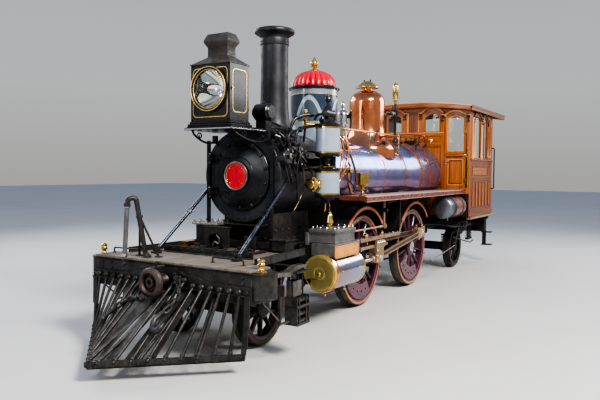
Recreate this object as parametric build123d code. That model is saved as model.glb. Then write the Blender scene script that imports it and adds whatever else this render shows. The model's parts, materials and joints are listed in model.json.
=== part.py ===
from build123d import *
import math
import os

os.makedirs("parts", exist_ok=True)

# Small narrow-gauge steam locomotive, 2-4-2, without its tender.
# All sizes are millimetres. The drawing frame has +X forward, +Y to the
# engine's left, +Z up, X = 0 at the front driving axle and Z = 0 at the rail
# top. SHIFT_X and SHIFT_Z move it to the stored frame: the middle of the
# overall length, and the bottom of the wheel flanges.

# ---- driving dimensions --------------------------------------------------
SHIFT_X, SHIFT_Z = 818.5, 28.0
FLANGE = 28.0                      # flange depth below the tread
DRIVER_R, POINTER_R = 622.0, 380.0  # tread radius: drivers, carrying wheels
X_FRONT, X_REAR = 0.0, -1874.0     # driving axles
X_LEAD, X_TRAIL = 2350.0, -4250.0  # carrying axles
WHEEL_IN, WHEEL_OUT = 499.0, 632.0  # wheel faces, from the centre line
AXLE_R, SMALL_AXLE_R = 80.0, 50.0
RUN = 0.4                          # running clearance of a journal
CRANK = 254.0                      # crank radius, half the stroke
CRANK_LEFT, CRANK_RIGHT = 108.0, 18.0  # crank angles at rest, from +X upward
FRAME_IN, FRAME_OUT = 360.0, 450.0
FRAME_Z0, FRAME_Z1 = 800.0, 900.0
CYL_Y, CYL_Z, CYL_R = 775.0, 642.0, 233.0
CYL_X0, CYL_X1 = 636.0, 1455.0
ROD_LEN = 1766.0                   # main rod, centre to centre
SIDE_ROD_Y = (655.0, 693.0)
MAIN_ROD_Y = (752.5, 797.5)
BOILER_Z = 1785.0
SMOKE_R, BARREL_R, WRAP_R = 530.0, 500.0, 575.0
SMOKE_X0, SMOKE_X1 = 750.0, 1927.0
BOARD_Z0, BOARD_Z1, BOARD_Y, BOARD_X1 = 1490.0, 1530.0, 1000.0, 625.0
CAB_X, CAB_BACK, CAB_Y, CAB_WALL = -3500.0, -5100.0, 1100.0, 45.0
CAB_Z0, FLOOR_Z0, FLOOR_Z1 = 1030.0, 1060.0, 1100.0
ROOF_X0, ROOF_X1, ROOF_Y = -3350.0, -5790.0, 1170.0
ROOF_EDGE, ROOF_RISE, ROOF_T = 3060.0, 95.0, 35.0
BEAM_X0, BEAM_X1, BEAM_Y = 2850.0, 3160.0, 1050.0
PILOT_TIP, PILOT_Y = 4153.0, 995.0

nodes = {}


# ---- helpers ---------------------------------------------------------------
def box(x0, x1, y0, y1, z0, z1):
    return Pos((x0 + x1) / 2, (y0 + y1) / 2, (z0 + z1) / 2) * Box(abs(x1 - x0), abs(y1 - y0), abs(z1 - z0))


def cyl_x(x0, x1, y, z, r):
    return Pos((x0 + x1) / 2, y, z) * Rot(0, 90, 0) * Cylinder(r, abs(x1 - x0))


def cyl_y(y0, y1, x, z, r):
    return Pos(x, (y0 + y1) / 2, z) * Rot(90, 0, 0) * Cylinder(r, abs(y1 - y0))


def cyl_z(z0, z1, x, y, r):
    return Pos(x, y, (z0 + z1) / 2) * Cylinder(r, abs(z1 - z0))


def rod(p, q, r):
    a, b = Vector(*p), Vector(*q)
    d = b - a
    return Plane(origin=a, z_dir=d) * Pos(0, 0, d.length / 2) * Cylinder(r, d.length)


def turned(points, x, y):
    """Body of revolution about a vertical axis: points are (radius, z)."""
    face = make_face(Polyline(*[(r, 0, z) for r, z in points], close=True))
    return Pos(x, y, 0) * revolve(face, Axis.Z, 360)


def turned_x(points, y, z, arc=None):
    """Body of revolution about an axis along X: points are (x, radius).

    The outline runs along the axis from the first point to the last. arc
    gives the middle point of one rounded span, keyed by its first point."""
    edges = []
    for i in range(len(points) - 1):
        (xa, ra), (xb, rb) = points[i], points[i + 1]
        if arc and i in arc:
            xm, rm = arc[i]
            edges.append(ThreePointArc((xa, y, z + ra), (xm, y, z + rm), (xb, y, z + rb)))
        else:
            edges.append(Line((xa, y, z + ra), (xb, y, z + rb)))
    (xa, ra), (xb, rb) = points[-1], points[0]
    edges.append(Line((xa, y, z + ra), (xb, y, z + rb)))
    return revolve(make_face(edges), Axis((0, y, z), (1, 0, 0)), 360)


def plate_y(points, y0, y1):
    """Flat plate with an XZ outline, from y0 to y1."""
    face = make_face(Polyline(*[(x, y0, z) for x, z in points], close=True))
    return extrude(face, amount=abs(y1 - y0), dir=(0, 1 if y1 > y0 else -1, 0))


def plate_z(points, z0, z1):
    face = make_face(Polyline(*[(x, y, z0) for x, y in points], close=True))
    return extrude(face, amount=z1 - z0, dir=(0, 0, 1))


def flip(shape):
    return mirror(shape, Plane.XZ)


def fuse(*shapes):
    out = shapes[0]
    for s in shapes[1:]:
        out = out + s
    return out


def both(shape):
    return [shape, flip(shape)]


def put(name, *shapes):
    solids = []
    for s in shapes:
        for t in (s if isinstance(s, (list, tuple)) else [s]):
            solids += list(t.solids())
    nodes[name] = Compound(children=[Location((SHIFT_X, 0, SHIFT_Z)) * s for s in solids])


def crank_at(x, angle):
    a = math.radians(angle)
    return x + CRANK * math.cos(a), DRIVER_R + CRANK * math.sin(a)


def wrist_x(angle):
    px, pz = crank_at(X_REAR, angle)
    return px + math.sqrt(ROD_LEN ** 2 - (pz - CYL_Z) ** 2)


# ---- wheels and axles ------------------------------------------------------
def wheel(x, r, hub_r, spokes, spoke_w, crank=None):
    """Left-hand spoked wheel, its axis along Y at height r."""
    rim_in = r - 88
    body = cyl_y(WHEEL_IN, WHEEL_OUT, x, r, r) + cyl_y(WHEEL_IN, WHEEL_IN + 30, x, r, r + FLANGE)
    body = body - cyl_y(WHEEL_IN - 1, WHEEL_OUT + 1, x, r, rim_in)
    hub = cyl_y(490, 645, x, r, hub_r)
    parts = [body, hub]
    for i in range(spokes):
        a = math.radians(360.0 * (i + 0.5) / spokes)
        mid = (hub_r * 0.8 + rim_in + 8) / 2
        s = Box(rim_in + 8 - hub_r * 0.8, 62, spoke_w)
        parts.append(Pos(x + mid * math.cos(a), 566, r + mid * math.sin(a)) * Rot(0, -math.degrees(a), 0) * s)
    if crank is not None:
        cx, cz = crank_at(x, crank)
        parts.append(cyl_y(500, 648, cx, cz, 92))
        parts.append(cyl_y(640, 703, cx, cz, 38))
        a = math.radians(crank + 180)
        ring = cyl_y(530, 640, x, r, rim_in + 8) - cyl_y(529, 641, x, r, 330)
        far = Pos(x + 420 * math.cos(a), 585, r + 420 * math.sin(a)) * Rot(0, -math.degrees(a), 0) * Box(420, 140, 640)
        parts.append(ring & far)
        mid = Pos((x + cx) / 2, 560, (r + cz) / 2) * Rot(0, -crank, 0) * Box(CRANK, 130, 150)
        parts.append(mid)
    return fuse(*parts)


# name, axle x, radius, axle radius, hub radius, spokes, spoke width, cranked
WHEELS = (("front_driver", X_FRONT, DRIVER_R, AXLE_R, 150.0, 14, 44.0, True),
          ("rear_driver", X_REAR, DRIVER_R, AXLE_R, 150.0, 14, 44.0, True),
          ("leading", X_LEAD, POINTER_R, SMALL_AXLE_R, 100.0, 10, 38.0, False),
          ("trailing", X_TRAIL, POINTER_R, SMALL_AXLE_R, 100.0, 10, 38.0, False))
for name, x, r, ar, hub, n, w, cranked in WHEELS:
    left = wheel(x, r, hub, n, w, CRANK_LEFT if cranked else None)
    right = flip(wheel(x, r, hub, n, w, CRANK_RIGHT if cranked else None))
    put(name + "_wheels", left, right)
    put(name + "_axle", cyl_y(-490, 490, x, r, ar))

# ---- rods ------------------------------------------------------------------
for side, angle, s in (("left", CRANK_LEFT, 1), ("right", CRANK_RIGHT, -1)):
    y0, y1 = SIDE_ROD_Y
    fx, fz = crank_at(X_FRONT, angle)
    rx, rz = crank_at(X_REAR, angle)
    bar = box(rx, fx, y0 + 6, y1 - 6, fz - 42, fz + 42)
    eyes = [cyl_y(y0, y1, cx, fz, 78) for cx in (fx, rx)]
    part = fuse(bar, *eyes)
    part = part - cyl_y(y0 - 1, y1 + 1, fx, fz, 38 + RUN) - cyl_y(y0 - 1, y1 + 1, rx, rz, 44)
    put("side_rod_" + side, part if s > 0 else flip(part))

    wx = wrist_x(angle)
    y0, y1 = MAIN_ROD_Y
    tilt = math.degrees(math.atan2(CYL_Z - rz, wx - rx))
    mid = Pos((wx + rx) / 2, (y0 + y1) / 2, (CYL_Z + rz) / 2) * Rot(0, -tilt, 0)
    shank = mid * Box(ROD_LEN, y1 - y0 - 10, 92)
    big = Pos(rx, (y0 + y1) / 2, rz) * Rot(0, -tilt, 0) * Box(200, y1 - y0, 165)
    small = cyl_y(y0, y1, wx, CYL_Z, 52)
    part = fuse(shank, big, small, cyl_y(712, y0 + 1, rx, rz, 46))
    part = part - cyl_y(y0 - 1, y1 + 1, wx, CYL_Z, 28 + RUN)
    put("main_rod_" + side, part if s > 0 else flip(part))

    plates = [box(wx - 120, wx + 150, a, b, 582, 895) for a, b in ((715, 740), (810, 835))]
    slipper = box(wx - 120, wx + 150, 740, 810, 840, 895)
    nose = box(wx + 72, wx + 150, 740, 810, 582, 702)
    pin = cyl_y(735, 845, wx, CYL_Z, 28)
    piston_rod = cyl_x(wx + 100, wx + 1050, CYL_Y, CYL_Z, 28)
    part = fuse(*plates, slipper, nose, pin, piston_rod)
    put("crosshead_" + side, part if s > 0 else flip(part))


# ---- frames ----------------------------------------------------------------
def frame_side():
    rail = box(-5200, 2850, FRAME_IN, FRAME_OUT, FRAME_Z0, FRAME_Z1)
    parts = [rail]
    for x in (X_FRONT, X_REAR):
        parts.append(box(x - 185, x + 185, FRAME_IN, FRAME_OUT, 400, FRAME_Z0 + 5))
    out = fuse(*parts)
    for x in (X_FRONT, X_REAR):
        out = out - cyl_y(FRAME_IN - 1, FRAME_OUT + 1, x, DRIVER_R, AXLE_R + RUN)
    return out


side = frame_side()
put("frame_left", side)
put("frame_right", flip(side))

# cross members between the frames: x from, x to, z from, z to
CROSS = ((2480.0, 2850.0, 700.0, 900.0), (1800.0, 2300.0, 820.0, 860.0), (-1050.0, -900.0, 560.0, 880.0),
         (-3850.0, -3650.0, 820.0, 900.0), (-5200.0, -5050.0, 620.0, 900.0))
members = [box(x0, x1, -FRAME_IN, FRAME_IN, z0, z1) for x0, x1, z0, z1 in CROSS]
PIVOT_R = 35.0
members[1] = members[1] - cyl_z(800, 880, 1950, 0, PIVOT_R + RUN)
members[3] = members[3] - cyl_z(800, 910, -3750, 0, PIVOT_R + RUN)
# cab bearers across the top of both frames
for x in (-3620.0, -5080.0):
    members.append(box(x - 60, x + 60, -1040, 1040, FRAME_Z1, FLOOR_Z0))
put("frame_cross", *members)


# ---- carrying trucks -------------------------------------------------------
def truck(x_axle, x_pivot):
    d = 1 if x_axle > x_pivot else -1
    bars = [box(x_axle - 190, x_axle + 190, y - 35, y + 35, 300, 460) for y in (-430, 430)]
    ends = [box(x_axle + s * 130, x_axle + s * 190, -400, 400, 320, 440) for s in (-1, 1)]
    arm = box(x_pivot - d * 60, x_axle - d * 140, -90, 90, 330, 430)
    post = cyl_z(400, 812, x_pivot, 0, 60) + cyl_z(800, 850, x_pivot, 0, PIVOT_R)
    out = fuse(*bars, *ends, arm, post)
    return out - cyl_y(-500, 500, x_axle, POINTER_R, SMALL_AXLE_R + RUN)


put("leading_truck", truck(X_LEAD, 1950.0))
put("trailing_truck", truck(X_TRAIL, -3750.0))

# ---- front end -------------------------------------------------------------
beam = box(BEAM_X0, BEAM_X1, -BEAM_Y, BEAM_Y, 600, 900)
for s in (-1, 1):
    beam = beam + cyl_z(650, 900, (BEAM_X0 + BEAM_X1) / 2, s * BEAM_Y, (BEAM_X1 - BEAM_X0) / 2 - 1)
deck = plate_z(((1800, -794), (2850, -880), (2850, 880), (1800, 794)), 905, 930)
deck = deck + box(BEAM_X0 - 1, BEAM_X1 + 12, -1040, 1040, 905, 930)
for s in (-1, 1):
    deck = deck + plate_z(((1800, s * 794), (2850, s * 880), (2850, s * 852), (1800, s * 766)), 905, 985)
put("front_beam", beam)
put("front_deck", deck)
packers = [box(1860, 2840, s * FRAME_IN, s * FRAME_OUT, 900, 905) for s in (-1, 1)]

# pilot: round bars from a top plate down to a V of iron, with wide plates
# behind the middle bars and flat straps at the ends
TOP_X, BASE_Z, ROOT_X, BAR_R = 3196.0, 137.0, 3237.0, 16.0
BAR_STEP, BARS = 110.0, 9
# half outline of the top plate: y, z
TOP_PLATE = ((1050, 690), (1050, 772), (540, 775), (430, 812), (250, 826), (160, 872), (110, 880))
outline = [(y, z) for y, z in TOP_PLATE] + [(-y, z) for y, z in reversed(TOP_PLATE)]
face = make_face(Polyline(*[(BEAM_X1 + 2, y, z) for y, z in outline], close=True))
pilot = [extrude(face, amount=24, dir=(1, 0, 0)), box(BEAM_X1, BEAM_X1 + 5, -1030, 1030, 692, 770),
         box(BEAM_X1 + 26, BEAM_X1 + 52, -1050, 1050, 690, 700)]


def v_x(y):
    """Outer edge of the V at a distance y from the centre line."""
    return PILOT_TIP + (ROOT_X - PILOT_TIP) * abs(y) / PILOT_Y


for s in (-1, 1):
    pilot.append(plate_z(((PILOT_TIP, 0), (PILOT_TIP - 75, 0), (ROOT_X - 40, s * (PILOT_Y - 70)), (ROOT_X - 40, s * PILOT_Y),
                          (ROOT_X, s * PILOT_Y)), BASE_Z - 32, BASE_Z + 35))
    for i in range(BARS):
        y = BAR_STEP * (i + 0.5)
        top = (TOP_X, s * y, 775 if i < 3 else 731) if i else (3312, s * y, 530)
        low = (v_x(y * 0.972) - 22, s * y * 0.972, BASE_Z)
        pilot += [rod(top, low, BAR_R), cyl_x(top[0] - 16, top[0] + 26, s * y, top[2], 26)]
    for y in (112.0, 226.0, 336.0):
        pilot.append(plate_y(((3178, 670), (3192, 670), (v_x(y) - 40, 140), (v_x(y) - 56, 140)), s * (y - 36), s * (y + 36)))
    pilot.append(plate_y(((3186, 700), (3204, 700), (3206, 400), (3234, 160), (3216, 110), (3190, 400)), s * 982, s * 1036))
    pilot.append(rod((BEAM_X1 + 20, s * 620, 700), (3500, s * 655, BASE_Z), 17))
pilot.append(box(BEAM_X1, BEAM_X1 + 150, -80, 80, 470, 680))
put("pilot", fuse(*pilot))

COUPLER_Y, COUPLER_Z = -10.0, 745.0
head = cyl_x(3345, 3425, COUPLER_Y, COUPLER_Z, 150) + cyl_x(BEAM_X1 + 26, 3350, COUPLER_Y, COUPLER_Z, 58) \
    + cyl_x(3420, 3452, COUPLER_Y, COUPLER_Z, 34)
head = head - box(3370, 3460, COUPLER_Y - 24, COUPLER_Y + 24, COUPLER_Z + 30, COUPLER_Z + 160)
head = head - box(BEAM_X1 + 20, BEAM_X1 + 53, -200, 200, 660, 700.3)
put("front_coupler", head)

# air pipe on the beam: standpipe, bend and hose down to its coupling
path = FilletPolyline((3050, -404, 930), (3150, -430, 1560), (3230, -480, 1560), (3250, -515, 860), radius=(45, 45))
pipe = sweep(Plane(origin=path @ 0, z_dir=path % 0) * Circle(26), path=path)
stay = rod((3050, -560, 930), (3235, -500, 1300), 14)
put("air_pipe", (pipe + cyl_z(930, 960, 3050, -404, 55)) - box(3000, 3100, -500, -300, 900, 930))
brace = rod((2740, 560, 915), (1640, 516, 1815), 21) - cyl_x(SMOKE_X0, SMOKE_X1, 0, BOILER_Z, SMOKE_R) \
    - cyl_x(SMOKE_X1 - 55, SMOKE_X1 + 5, 0, BOILER_Z, SMOKE_R + 10.5) - box(2600, 2900, 400, 700, 880, 930)
put("smokebox_braces", both(brace + box(2690, 2790, 520, 600, 930, 952)))
step = box(2480, 2560, 1085, 1105, 470, 905) + box(2430, 2610, 1000, 1190, 850, 880) \
    + box(2400, 2640, 1060, 1215, 500, 525) + box(2400, 2640, 1060, 1215, 325, 350) + box(2480, 2560, 1085, 1105, 325, 480)
put("front_steps", both(step + box(2480, 2560, 880, 1100, 880, 905)))

# ---- smokebox, saddle and cylinders ---------------------------------------
smoke = cyl_x(SMOKE_X0, SMOKE_X1, 0, BOILER_Z, SMOKE_R) + cyl_x(SMOKE_X1 - 50, SMOKE_X1, 0, BOILER_Z, SMOKE_R + 10)
smoke = smoke - cyl_x(SMOKE_X0 + 15, SMOKE_X1 - 16, 0, BOILER_Z, SMOKE_R - 16) - cyl_x(SMOKE_X1 - 20, SMOKE_X1 + 1, 0, BOILER_Z, 380)
STACK_X = 1257.0
smoke = smoke - cyl_z(BOILER_Z, 2400, STACK_X, 0, 150)
# domed door with its hinge lugs and pin on the engine's right
HINGE_X, HINGE_Y, DOOR_R = 1985.0, -428.0, 402.0
door = turned_x(((1933, 0), (1933, DOOR_R), (1953, DOOR_R), (1953, DOOR_R - 12), (2018, 60), (2028, 50), (2028, 0)),
                0, BOILER_Z, {3: (2000, 240)})
for z in (1585.0, 1985.0):
    door = door + box(1953, 1975, HINGE_Y + 20, -150, z - 22, z + 22) + cyl_z(z - 30, z + 30, HINGE_X, HINGE_Y, 20) \
        + box(1965, 1990, HINGE_Y, HINGE_Y + 60, z - 22, z + 22)
put("smokebox_door", door)
hinges = []
for z in (1585.0, 1985.0):
    for dz in (-52, 32):
        hinges.append(box(SMOKE_X1, HINGE_X + 12, HINGE_Y - 22, HINGE_Y + 12, z + dz, z + dz + 20))
put("smokebox", fuse(smoke, *hinges))
put("number_plate", cyl_x(2028, 2050, 0, BOILER_Z, 169))

saddle = box(860, 1780, -FRAME_IN, FRAME_IN, 640, 960) + box(900, 1740, -300, 300, 950, 1500)
saddle = saddle - cyl_x(SMOKE_X0 - 10, SMOKE_X1 + 10, 0, BOILER_Z, SMOKE_R)
put("cylinder_saddle", saddle, *packers)


def cylinder():
    body = cyl_x(650, 1400, CYL_Y, CYL_Z, CYL_R) + cyl_x(CYL_X0, 655, CYL_Y, CYL_Z, CYL_R - 14) \
        + cyl_x(1395, CYL_X1, CYL_Y, CYL_Z, CYL_R - 14)
    neck = box(740, 1380, FRAME_OUT, 640, 480, 960)
    chest = box(870, 1380, 560, 950, 840, 1130) + box(850, 1400, 590, 965, 1130, 1165)
    gland = cyl_x(560, 640, CYL_Y, CYL_Z, 62) + box(380, 660, 745, 805, 900, 950) + box(380, 470, 745, 805, 795, 835) \
        + box(470, 500, 745, 805, 795, 950) + box(470, 660, 745, 805, 800, 950) + box(640, 700, 735, 815, 800, 950)
    out = fuse(body, neck, chest, gland)
    return out - cyl_x(500, 1250, CYL_Y, CYL_Z, 28 + RUN)


cyl = cylinder()
put("cylinders", both(cyl))

bars = [box(-960, 380, 745, 805, 900, 950), box(-500, 380, 745, 805, 795, 835)]
yoke = plate_y(((-985, 1000), (-940, 1000), (-940, 1488), (-985, 1488)), FRAME_OUT, 800) \
    + box(-985, -940, FRAME_IN, FRAME_OUT, FRAME_Z1, 1488) + box(-985, -940, 745, 805, 950, 1010)
valve = cyl_x(-390, 870, CYL_Y, 1070, 15) + box(-450, -390, 745, 805, 1035, BOARD_Z0)

# ---- boiler ----------------------------------------------------------------
# x, radius along the boiler shell
SHELL = ((SMOKE_X0, BARREL_R), (-2000.0, BARREL_R), (-2400.0, WRAP_R), (CAB_X + 0.5, WRAP_R))
pts = [(x, 0, BOILER_Z + r) for x, r in SHELL]
face = make_face(Polyline((SHELL[0][0], 0, BOILER_Z), *pts, (SHELL[-1][0], 0, BOILER_Z), close=True))
shell = revolve(face, Axis((0, 0, BOILER_Z), (1, 0, 0)), 360)
put("slide_bars", both((bars[0] + yoke) - cyl_x(-1100, 0, 0, BOILER_Z, BARREL_R)), both(bars[1]), both(valve))
boiler = shell + box(-3450, -2580, -340, 340, 700, BOILER_Z)
# the firebox and ash pan hang between the frames
pan = plate_y(((-3420, 705), (-2600, 705), (-2700, 440), (-3300, 440)), -320, 320)
put("boiler", boiler + pan)


def saddle_cut(shape, r=BARREL_R):
    return shape - cyl_x(-3600, SMOKE_X1, 0, BOILER_Z, r)


stack = turned(((150, 2200), (330, 2200), (300, 2330), (215, 2400), (182, 2520), (170, 2700), (170, 3500), (205, 3520),
                (250, 3545), (250, 3585), (238, 3598), (150, 3598)), STACK_X, 0)
put("chimney", saddle_cut(stack, SMOKE_R))
SAND_X, DOME_X, VALVE_X, WHISTLE_X = 270.0, -1442.0, -600.0, -2620.0
sand = turned(((0, 2000), (415, 2000), (415, 2225), (395, 2290), (345, 2380), (324, 2500), (324, 2965), (0, 2965)), SAND_X, 0)
cap = turned(((0, 2965), (354, 2965), (354, 2995), (320, 3010), (300, 3120), (220, 3210), (90, 3250), (40, 3290), (60, 3330),
              (30, 3390), (12, 3420), (0, 3420)), SAND_X, 0)
put("sand_dome", saddle_cut(sand) + cap)
dome = turned(((0, 2000), (470, 2000), (470, 2215), (430, 2290), (330, 2390), (288, 2520), (288, 2975), (263, 3057),
               (205, 3115), (130, 3145), (82, 3155), (82, 3188), (186, 3195), (186, 3212), (150, 3245), (95, 3290), (50, 3313),
               (0, 3313)), DOME_X, 0)
put("steam_dome", saddle_cut(dome))
valve = turned(((0, 2200), (90, 2200), (90, 2330), (62, 2360), (62, 2540), (80, 2560), (84, 2580), (84, 2700), (74, 2735),
                (46, 2765), (32, 2785), (32, 2850), (22, 2880), (0, 2905)), VALVE_X, 0)
put("safety_valve", saddle_cut(valve))
whistle = turned(((0, 2250), (55, 2250), (55, 2440), (24, 2460), (24, 2800), (40, 2815), (40, 2930), (22, 2945), (22, 3105),
                  (52, 3120), (52, 3400), (20, 3440), (0, 3440)), WHISTLE_X, 0)
put("whistle", whistle - shell)

# ---- headlight -------------------------------------------------------------
shelf = box(1850, 2560, -335, 335, 2285, 2325)
shelf = shelf + box(1850, 1927, -335, 335, 2240, 2290)
for s in (-1, 1):
    shelf = shelf + plate_y(((1927.5, 2290), (1927.5, 2160), (1975, 2160), (2480, 2270), (2480, 2290)), s * 290 - 12, s * 290 + 12)
shelf = shelf - cyl_x(1800, SMOKE_X1, 0, BOILER_Z, SMOKE_R + 10.3)
put("headlight_shelf", shelf)
LAMP_X0, LAMP_X1, LAMP_Y, LAMP_Z = 2160.0, 2500.0, 270.0, 2720.0
LENS_R, NECK_X = 205.0, 2302.0


def stepped(sections):
    """Column of ruled blocks: each section is (half x, half y, z) about the neck's line."""
    out = None
    for (xa, ya, za), (xb, yb, zb) in zip(sections, sections[1:]):
        lower = Plane(origin=(NECK_X, 0, za)) * Rectangle(2 * xa, 2 * ya)
        upper = Plane(origin=(NECK_X, 0, zb)) * Rectangle(2 * xb, 2 * yb)
        part = loft([lower, upper], ruled=True)
        out = part if out is None else out + part
    return out


lamp = box(LAMP_X0, LAMP_X1, -LAMP_Y, LAMP_Y, 2375, 2990) + box(LAMP_X0 - 28, LAMP_X1 + 28, -298, 298, 2325, 2376)
lamp = lamp + box(LAMP_X0 - 8, LAMP_X1 + 8, -278, 278, 2988, 3000)
# hipped roof, then the neck and its flared cap
lamp = lamp + stepped(((160.0, 270.0, 2999.0), (74.0, 140.0, 3090.0), (71.0, 136.0, 3190.0), (107.0, 167.0, 3248.0),
                       (107.0, 167.0, 3268.0), (72.0, 139.0, 3340.0)))
lamp = lamp + cyl_x(LAMP_X1 - 1, LAMP_X1 + 44, 0, LAMP_Z, 243)
lamp = lamp - cyl_x(2290, LAMP_X1 + 45, 0, LAMP_Z, LENS_R)
put("headlight_case", lamp)
put("headlight_lens", cyl_x(2512, 2524, 0, LAMP_Z, LENS_R))

# ---- handrails -------------------------------------------------------------
rails = []
for s in (-1, 1):
    parts = [cyl_x(CAB_X + 0.5, 20, s * 350, 2440, 14)]
    for x in (0.0, -820.0, -1950.0, -2750.0):
        parts.append(cyl_z(2050, 2440, x, s * 350, 13))
    r = fuse(*parts) - shell
    rails += list(r.solids())
put("handrails", *rails)

# ---- running boards and splashers -----------------------------------------
board = box(CAB_X + 0.5, BOARD_X1, 590, BOARD_Y, BOARD_Z0, BOARD_Z1) + box(CAB_X + 0.5, BOARD_X1, BOARD_Y - 25, BOARD_Y, 1455, BOARD_Z1)
for x in (500.0, -900.0, -1950.0, -2900.0):
    board = board + box(x - 25, x + 25, 380, 600, 1470, BOARD_Z0 + 10)
board = board - shell
put("running_boards", both(board))
arches = []
for x in (X_FRONT, X_REAR):
    ring = cyl_y(480, 700, x, DRIVER_R, 743) - cyl_y(479, 701, x, DRIVER_R, 702)
    ring = ring & box(x - 800, x + 800, 470, 710, DRIVER_R + 470, 1500)
    arches.append(ring + box(x - 30, x + 30, 560, 660, DRIVER_R + 735, BOARD_Z0))
put("splashers", *[both(a) for a in arches])

# ---- pump, lubricator and tanks -------------------------------------------
PX, PY = 1310.0, 800.0
pump = turned(((0, 1530), (150, 1530), (150, 1885), (70, 1892), (70, 2008), (150, 2016), (150, 2402), (95, 2412), (95, 2640),
               (110, 2650), (110, 2700), (60, 2765), (0, 2765)), PX, PY)
pump = pump + (box(1250, 1370, 400, 745, 1895, 2005) - cyl_x(SMOKE_X0 - 1, SMOKE_X1 + 1, 0, BOILER_Z, SMOKE_R))
put("air_compressor", pump)
lub = turned(((0, BOARD_Z1), (50, BOARD_Z1), (50, 1545), (18, 1550), (18, 1640), (62, 1660), (62, 1760), (30, 1785), (30, 1830),
              (0, 1830)), 565, 900)
put("lubricator", lub)
TANK_Y, TANK_Z, TANK_R = 900.0, 1230.0, 190.0
tank = turned_x(((-3440, 0), (-3440, 60), (-3395, TANK_R), (-2595, TANK_R), (-2550, 60), (-2550, 0)), TANK_Y, TANK_Z,
                {1: (-3428, 135), 3: (-2562, 135)})
for x in (-2800.0, -3220.0):
    tank = tank + (box(x - 30, x + 30, TANK_Y - 120, TANK_Y + 70, TANK_Z, BOARD_Z0))
put("air_tanks", both(tank))


# ---- cab -------------------------------------------------------------------
rr = (ROOF_Y ** 2 + ROOF_RISE ** 2) / (2 * ROOF_RISE)
roof_c = ROOF_EDGE + ROOF_RISE - rr
outer = cyl_x(ROOF_X1, ROOF_X0, 0, roof_c, rr)
inner = cyl_x(ROOF_X1 - 1, ROOF_X0 + 1, 0, roof_c, rr - ROOF_T)
slab = (outer - inner) & box(ROOF_X1, ROOF_X0, -ROOF_Y, ROOF_Y, 2900, 3300)
under = cyl_x(ROOF_X1 - 10, ROOF_X0 + 10, 0, roof_c, rr - ROOF_T)
for s in (-1, 1):
    slab = slab + box(ROOF_X1, ROOF_X0, s * (ROOF_Y - 30), s * ROOF_Y, 2965, 3040)
for x0, x1 in ((ROOF_X0 - 30, ROOF_X0), (ROOF_X1, ROOF_X1 + 30)):
    band = (cyl_x(x0, x1, 0, roof_c, rr - 5) - cyl_x(x0 - 1, x1 + 1, 0, roof_c, rr - 100)) \
        & box(x0, x1, -ROOF_Y, ROOF_Y, 2900, 3300)
    slab = slab + band
put("cab_roof", slab)


def arch_x(y0, y1, z0, z1, rise, x0, x1):
    """Opening through a wall square to X: straight sides, arched head."""
    w = abs(y1 - y0)
    r = (w * w / 4 + rise * rise) / (2 * rise)
    head = cyl_x(x0, x1, (y0 + y1) / 2, z1 - r, r) & box(x0, x1, y0, y1, z1 - rise, z1)
    return box(x0, x1, y0, y1, z0, z1 - rise) + head


def arch_y(xa, xb, z0, z1, rise, y0, y1):
    w = abs(xb - xa)
    r = (w * w / 4 + rise * rise) / (2 * rise)
    head = cyl_y(y0, y1, (xa + xb) / 2, z1 - r, r) & box(xa, xb, y0, y1, z1 - rise, z1)
    return box(xa, xb, y0, y1, z0, z1 - rise) + head


WALL_X0 = CAB_X - CAB_WALL
front = box(WALL_X0, CAB_X, -CAB_Y, CAB_Y, CAB_Z0, 3200) & (under + box(WALL_X0, CAB_X, -CAB_Y, CAB_Y, CAB_Z0, 2900))
# door opening: y from, y to, z from, z to; small windows the same way
DOOR = (620.0, 1035.0, 1540.0, 2940.0)
PANE = (220.0, 535.0, 2590.0, 2960.0)
for s in (-1, 1):
    front = front - arch_x(s * DOOR[0], s * DOOR[1], DOOR[2], DOOR[3], 70, WALL_X0 - 1, CAB_X + 1)
    front = front - arch_x(s * PANE[0], s * PANE[1], PANE[2], PANE[3], 75, WALL_X0 - 1, CAB_X + 1)
put("cab_front", front)
pane = arch_x(PANE[0], PANE[1], PANE[2], PANE[3], 75, CAB_X - 28, CAB_X - 22)
put("cab_glass", both(pane))

# side wall openings: x from, x to, z from, z to
SIDE_WIN = ((-4240.0, -3760.0, 2090.0, 2930.0), (-4720.0, -4330.0, 2090.0, 2930.0))
wall = box(CAB_BACK, WALL_X0, CAB_Y - CAB_WALL, CAB_Y, CAB_Z0, 3200) & (under + box(CAB_BACK, WALL_X0, 0, CAB_Y, CAB_Z0, 2900))
for xa, xb, z0, z1 in SIDE_WIN:
    wall = wall - arch_y(xa, xb, z0, z1, 80, CAB_Y - CAB_WALL - 1, CAB_Y + 1)
put("cab_side_left", wall)
put("cab_side_right", flip(wall))
IN_Y = CAB_Y - CAB_WALL
put("cab_floor", box(-5350, WALL_X0, -IN_Y, IN_Y, FLOOR_Z0, FLOOR_Z1))

DOOR_HX, DOOR_HY = -3490.0, 1040.0
leaf_x0, leaf_x1 = WALL_X0 + 2, CAB_X - 3
leaf = arch_x(DOOR[0] + 5, DOOR[1] - 5, DOOR[2] + 3, DOOR[3] - 5, 68, leaf_x0, leaf_x1)
leaf = leaf - arch_x(DOOR[0] + 55, DOOR[1] - 50, 2230, DOOR[3] - 50, 55, leaf_x0 - 1, leaf_x1 + 1)
glass = arch_x(DOOR[0] + 55, DOOR[1] - 50, 2230, DOOR[3] - 50, 55, -3528, -3522)
for z in (1700.0, 2150.0, 2600.0):
    leaf = leaf + cyl_z(z - 40, z + 40, DOOR_HX, DOOR_HY, 9) + box(leaf_x1 - 5, DOOR_HX, DOOR_HY - 60, DOOR_HY - 6, z - 40, z + 40) \
        + box(DOOR_HX - 6, DOOR_HX + 3, DOOR_HY - 60, DOOR_HY, z - 40, z + 40)
put("cab_door_left", leaf)
put("cab_door_right", flip(leaf))
put("door_glass_left", glass)
put("door_glass_right", flip(glass))

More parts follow.
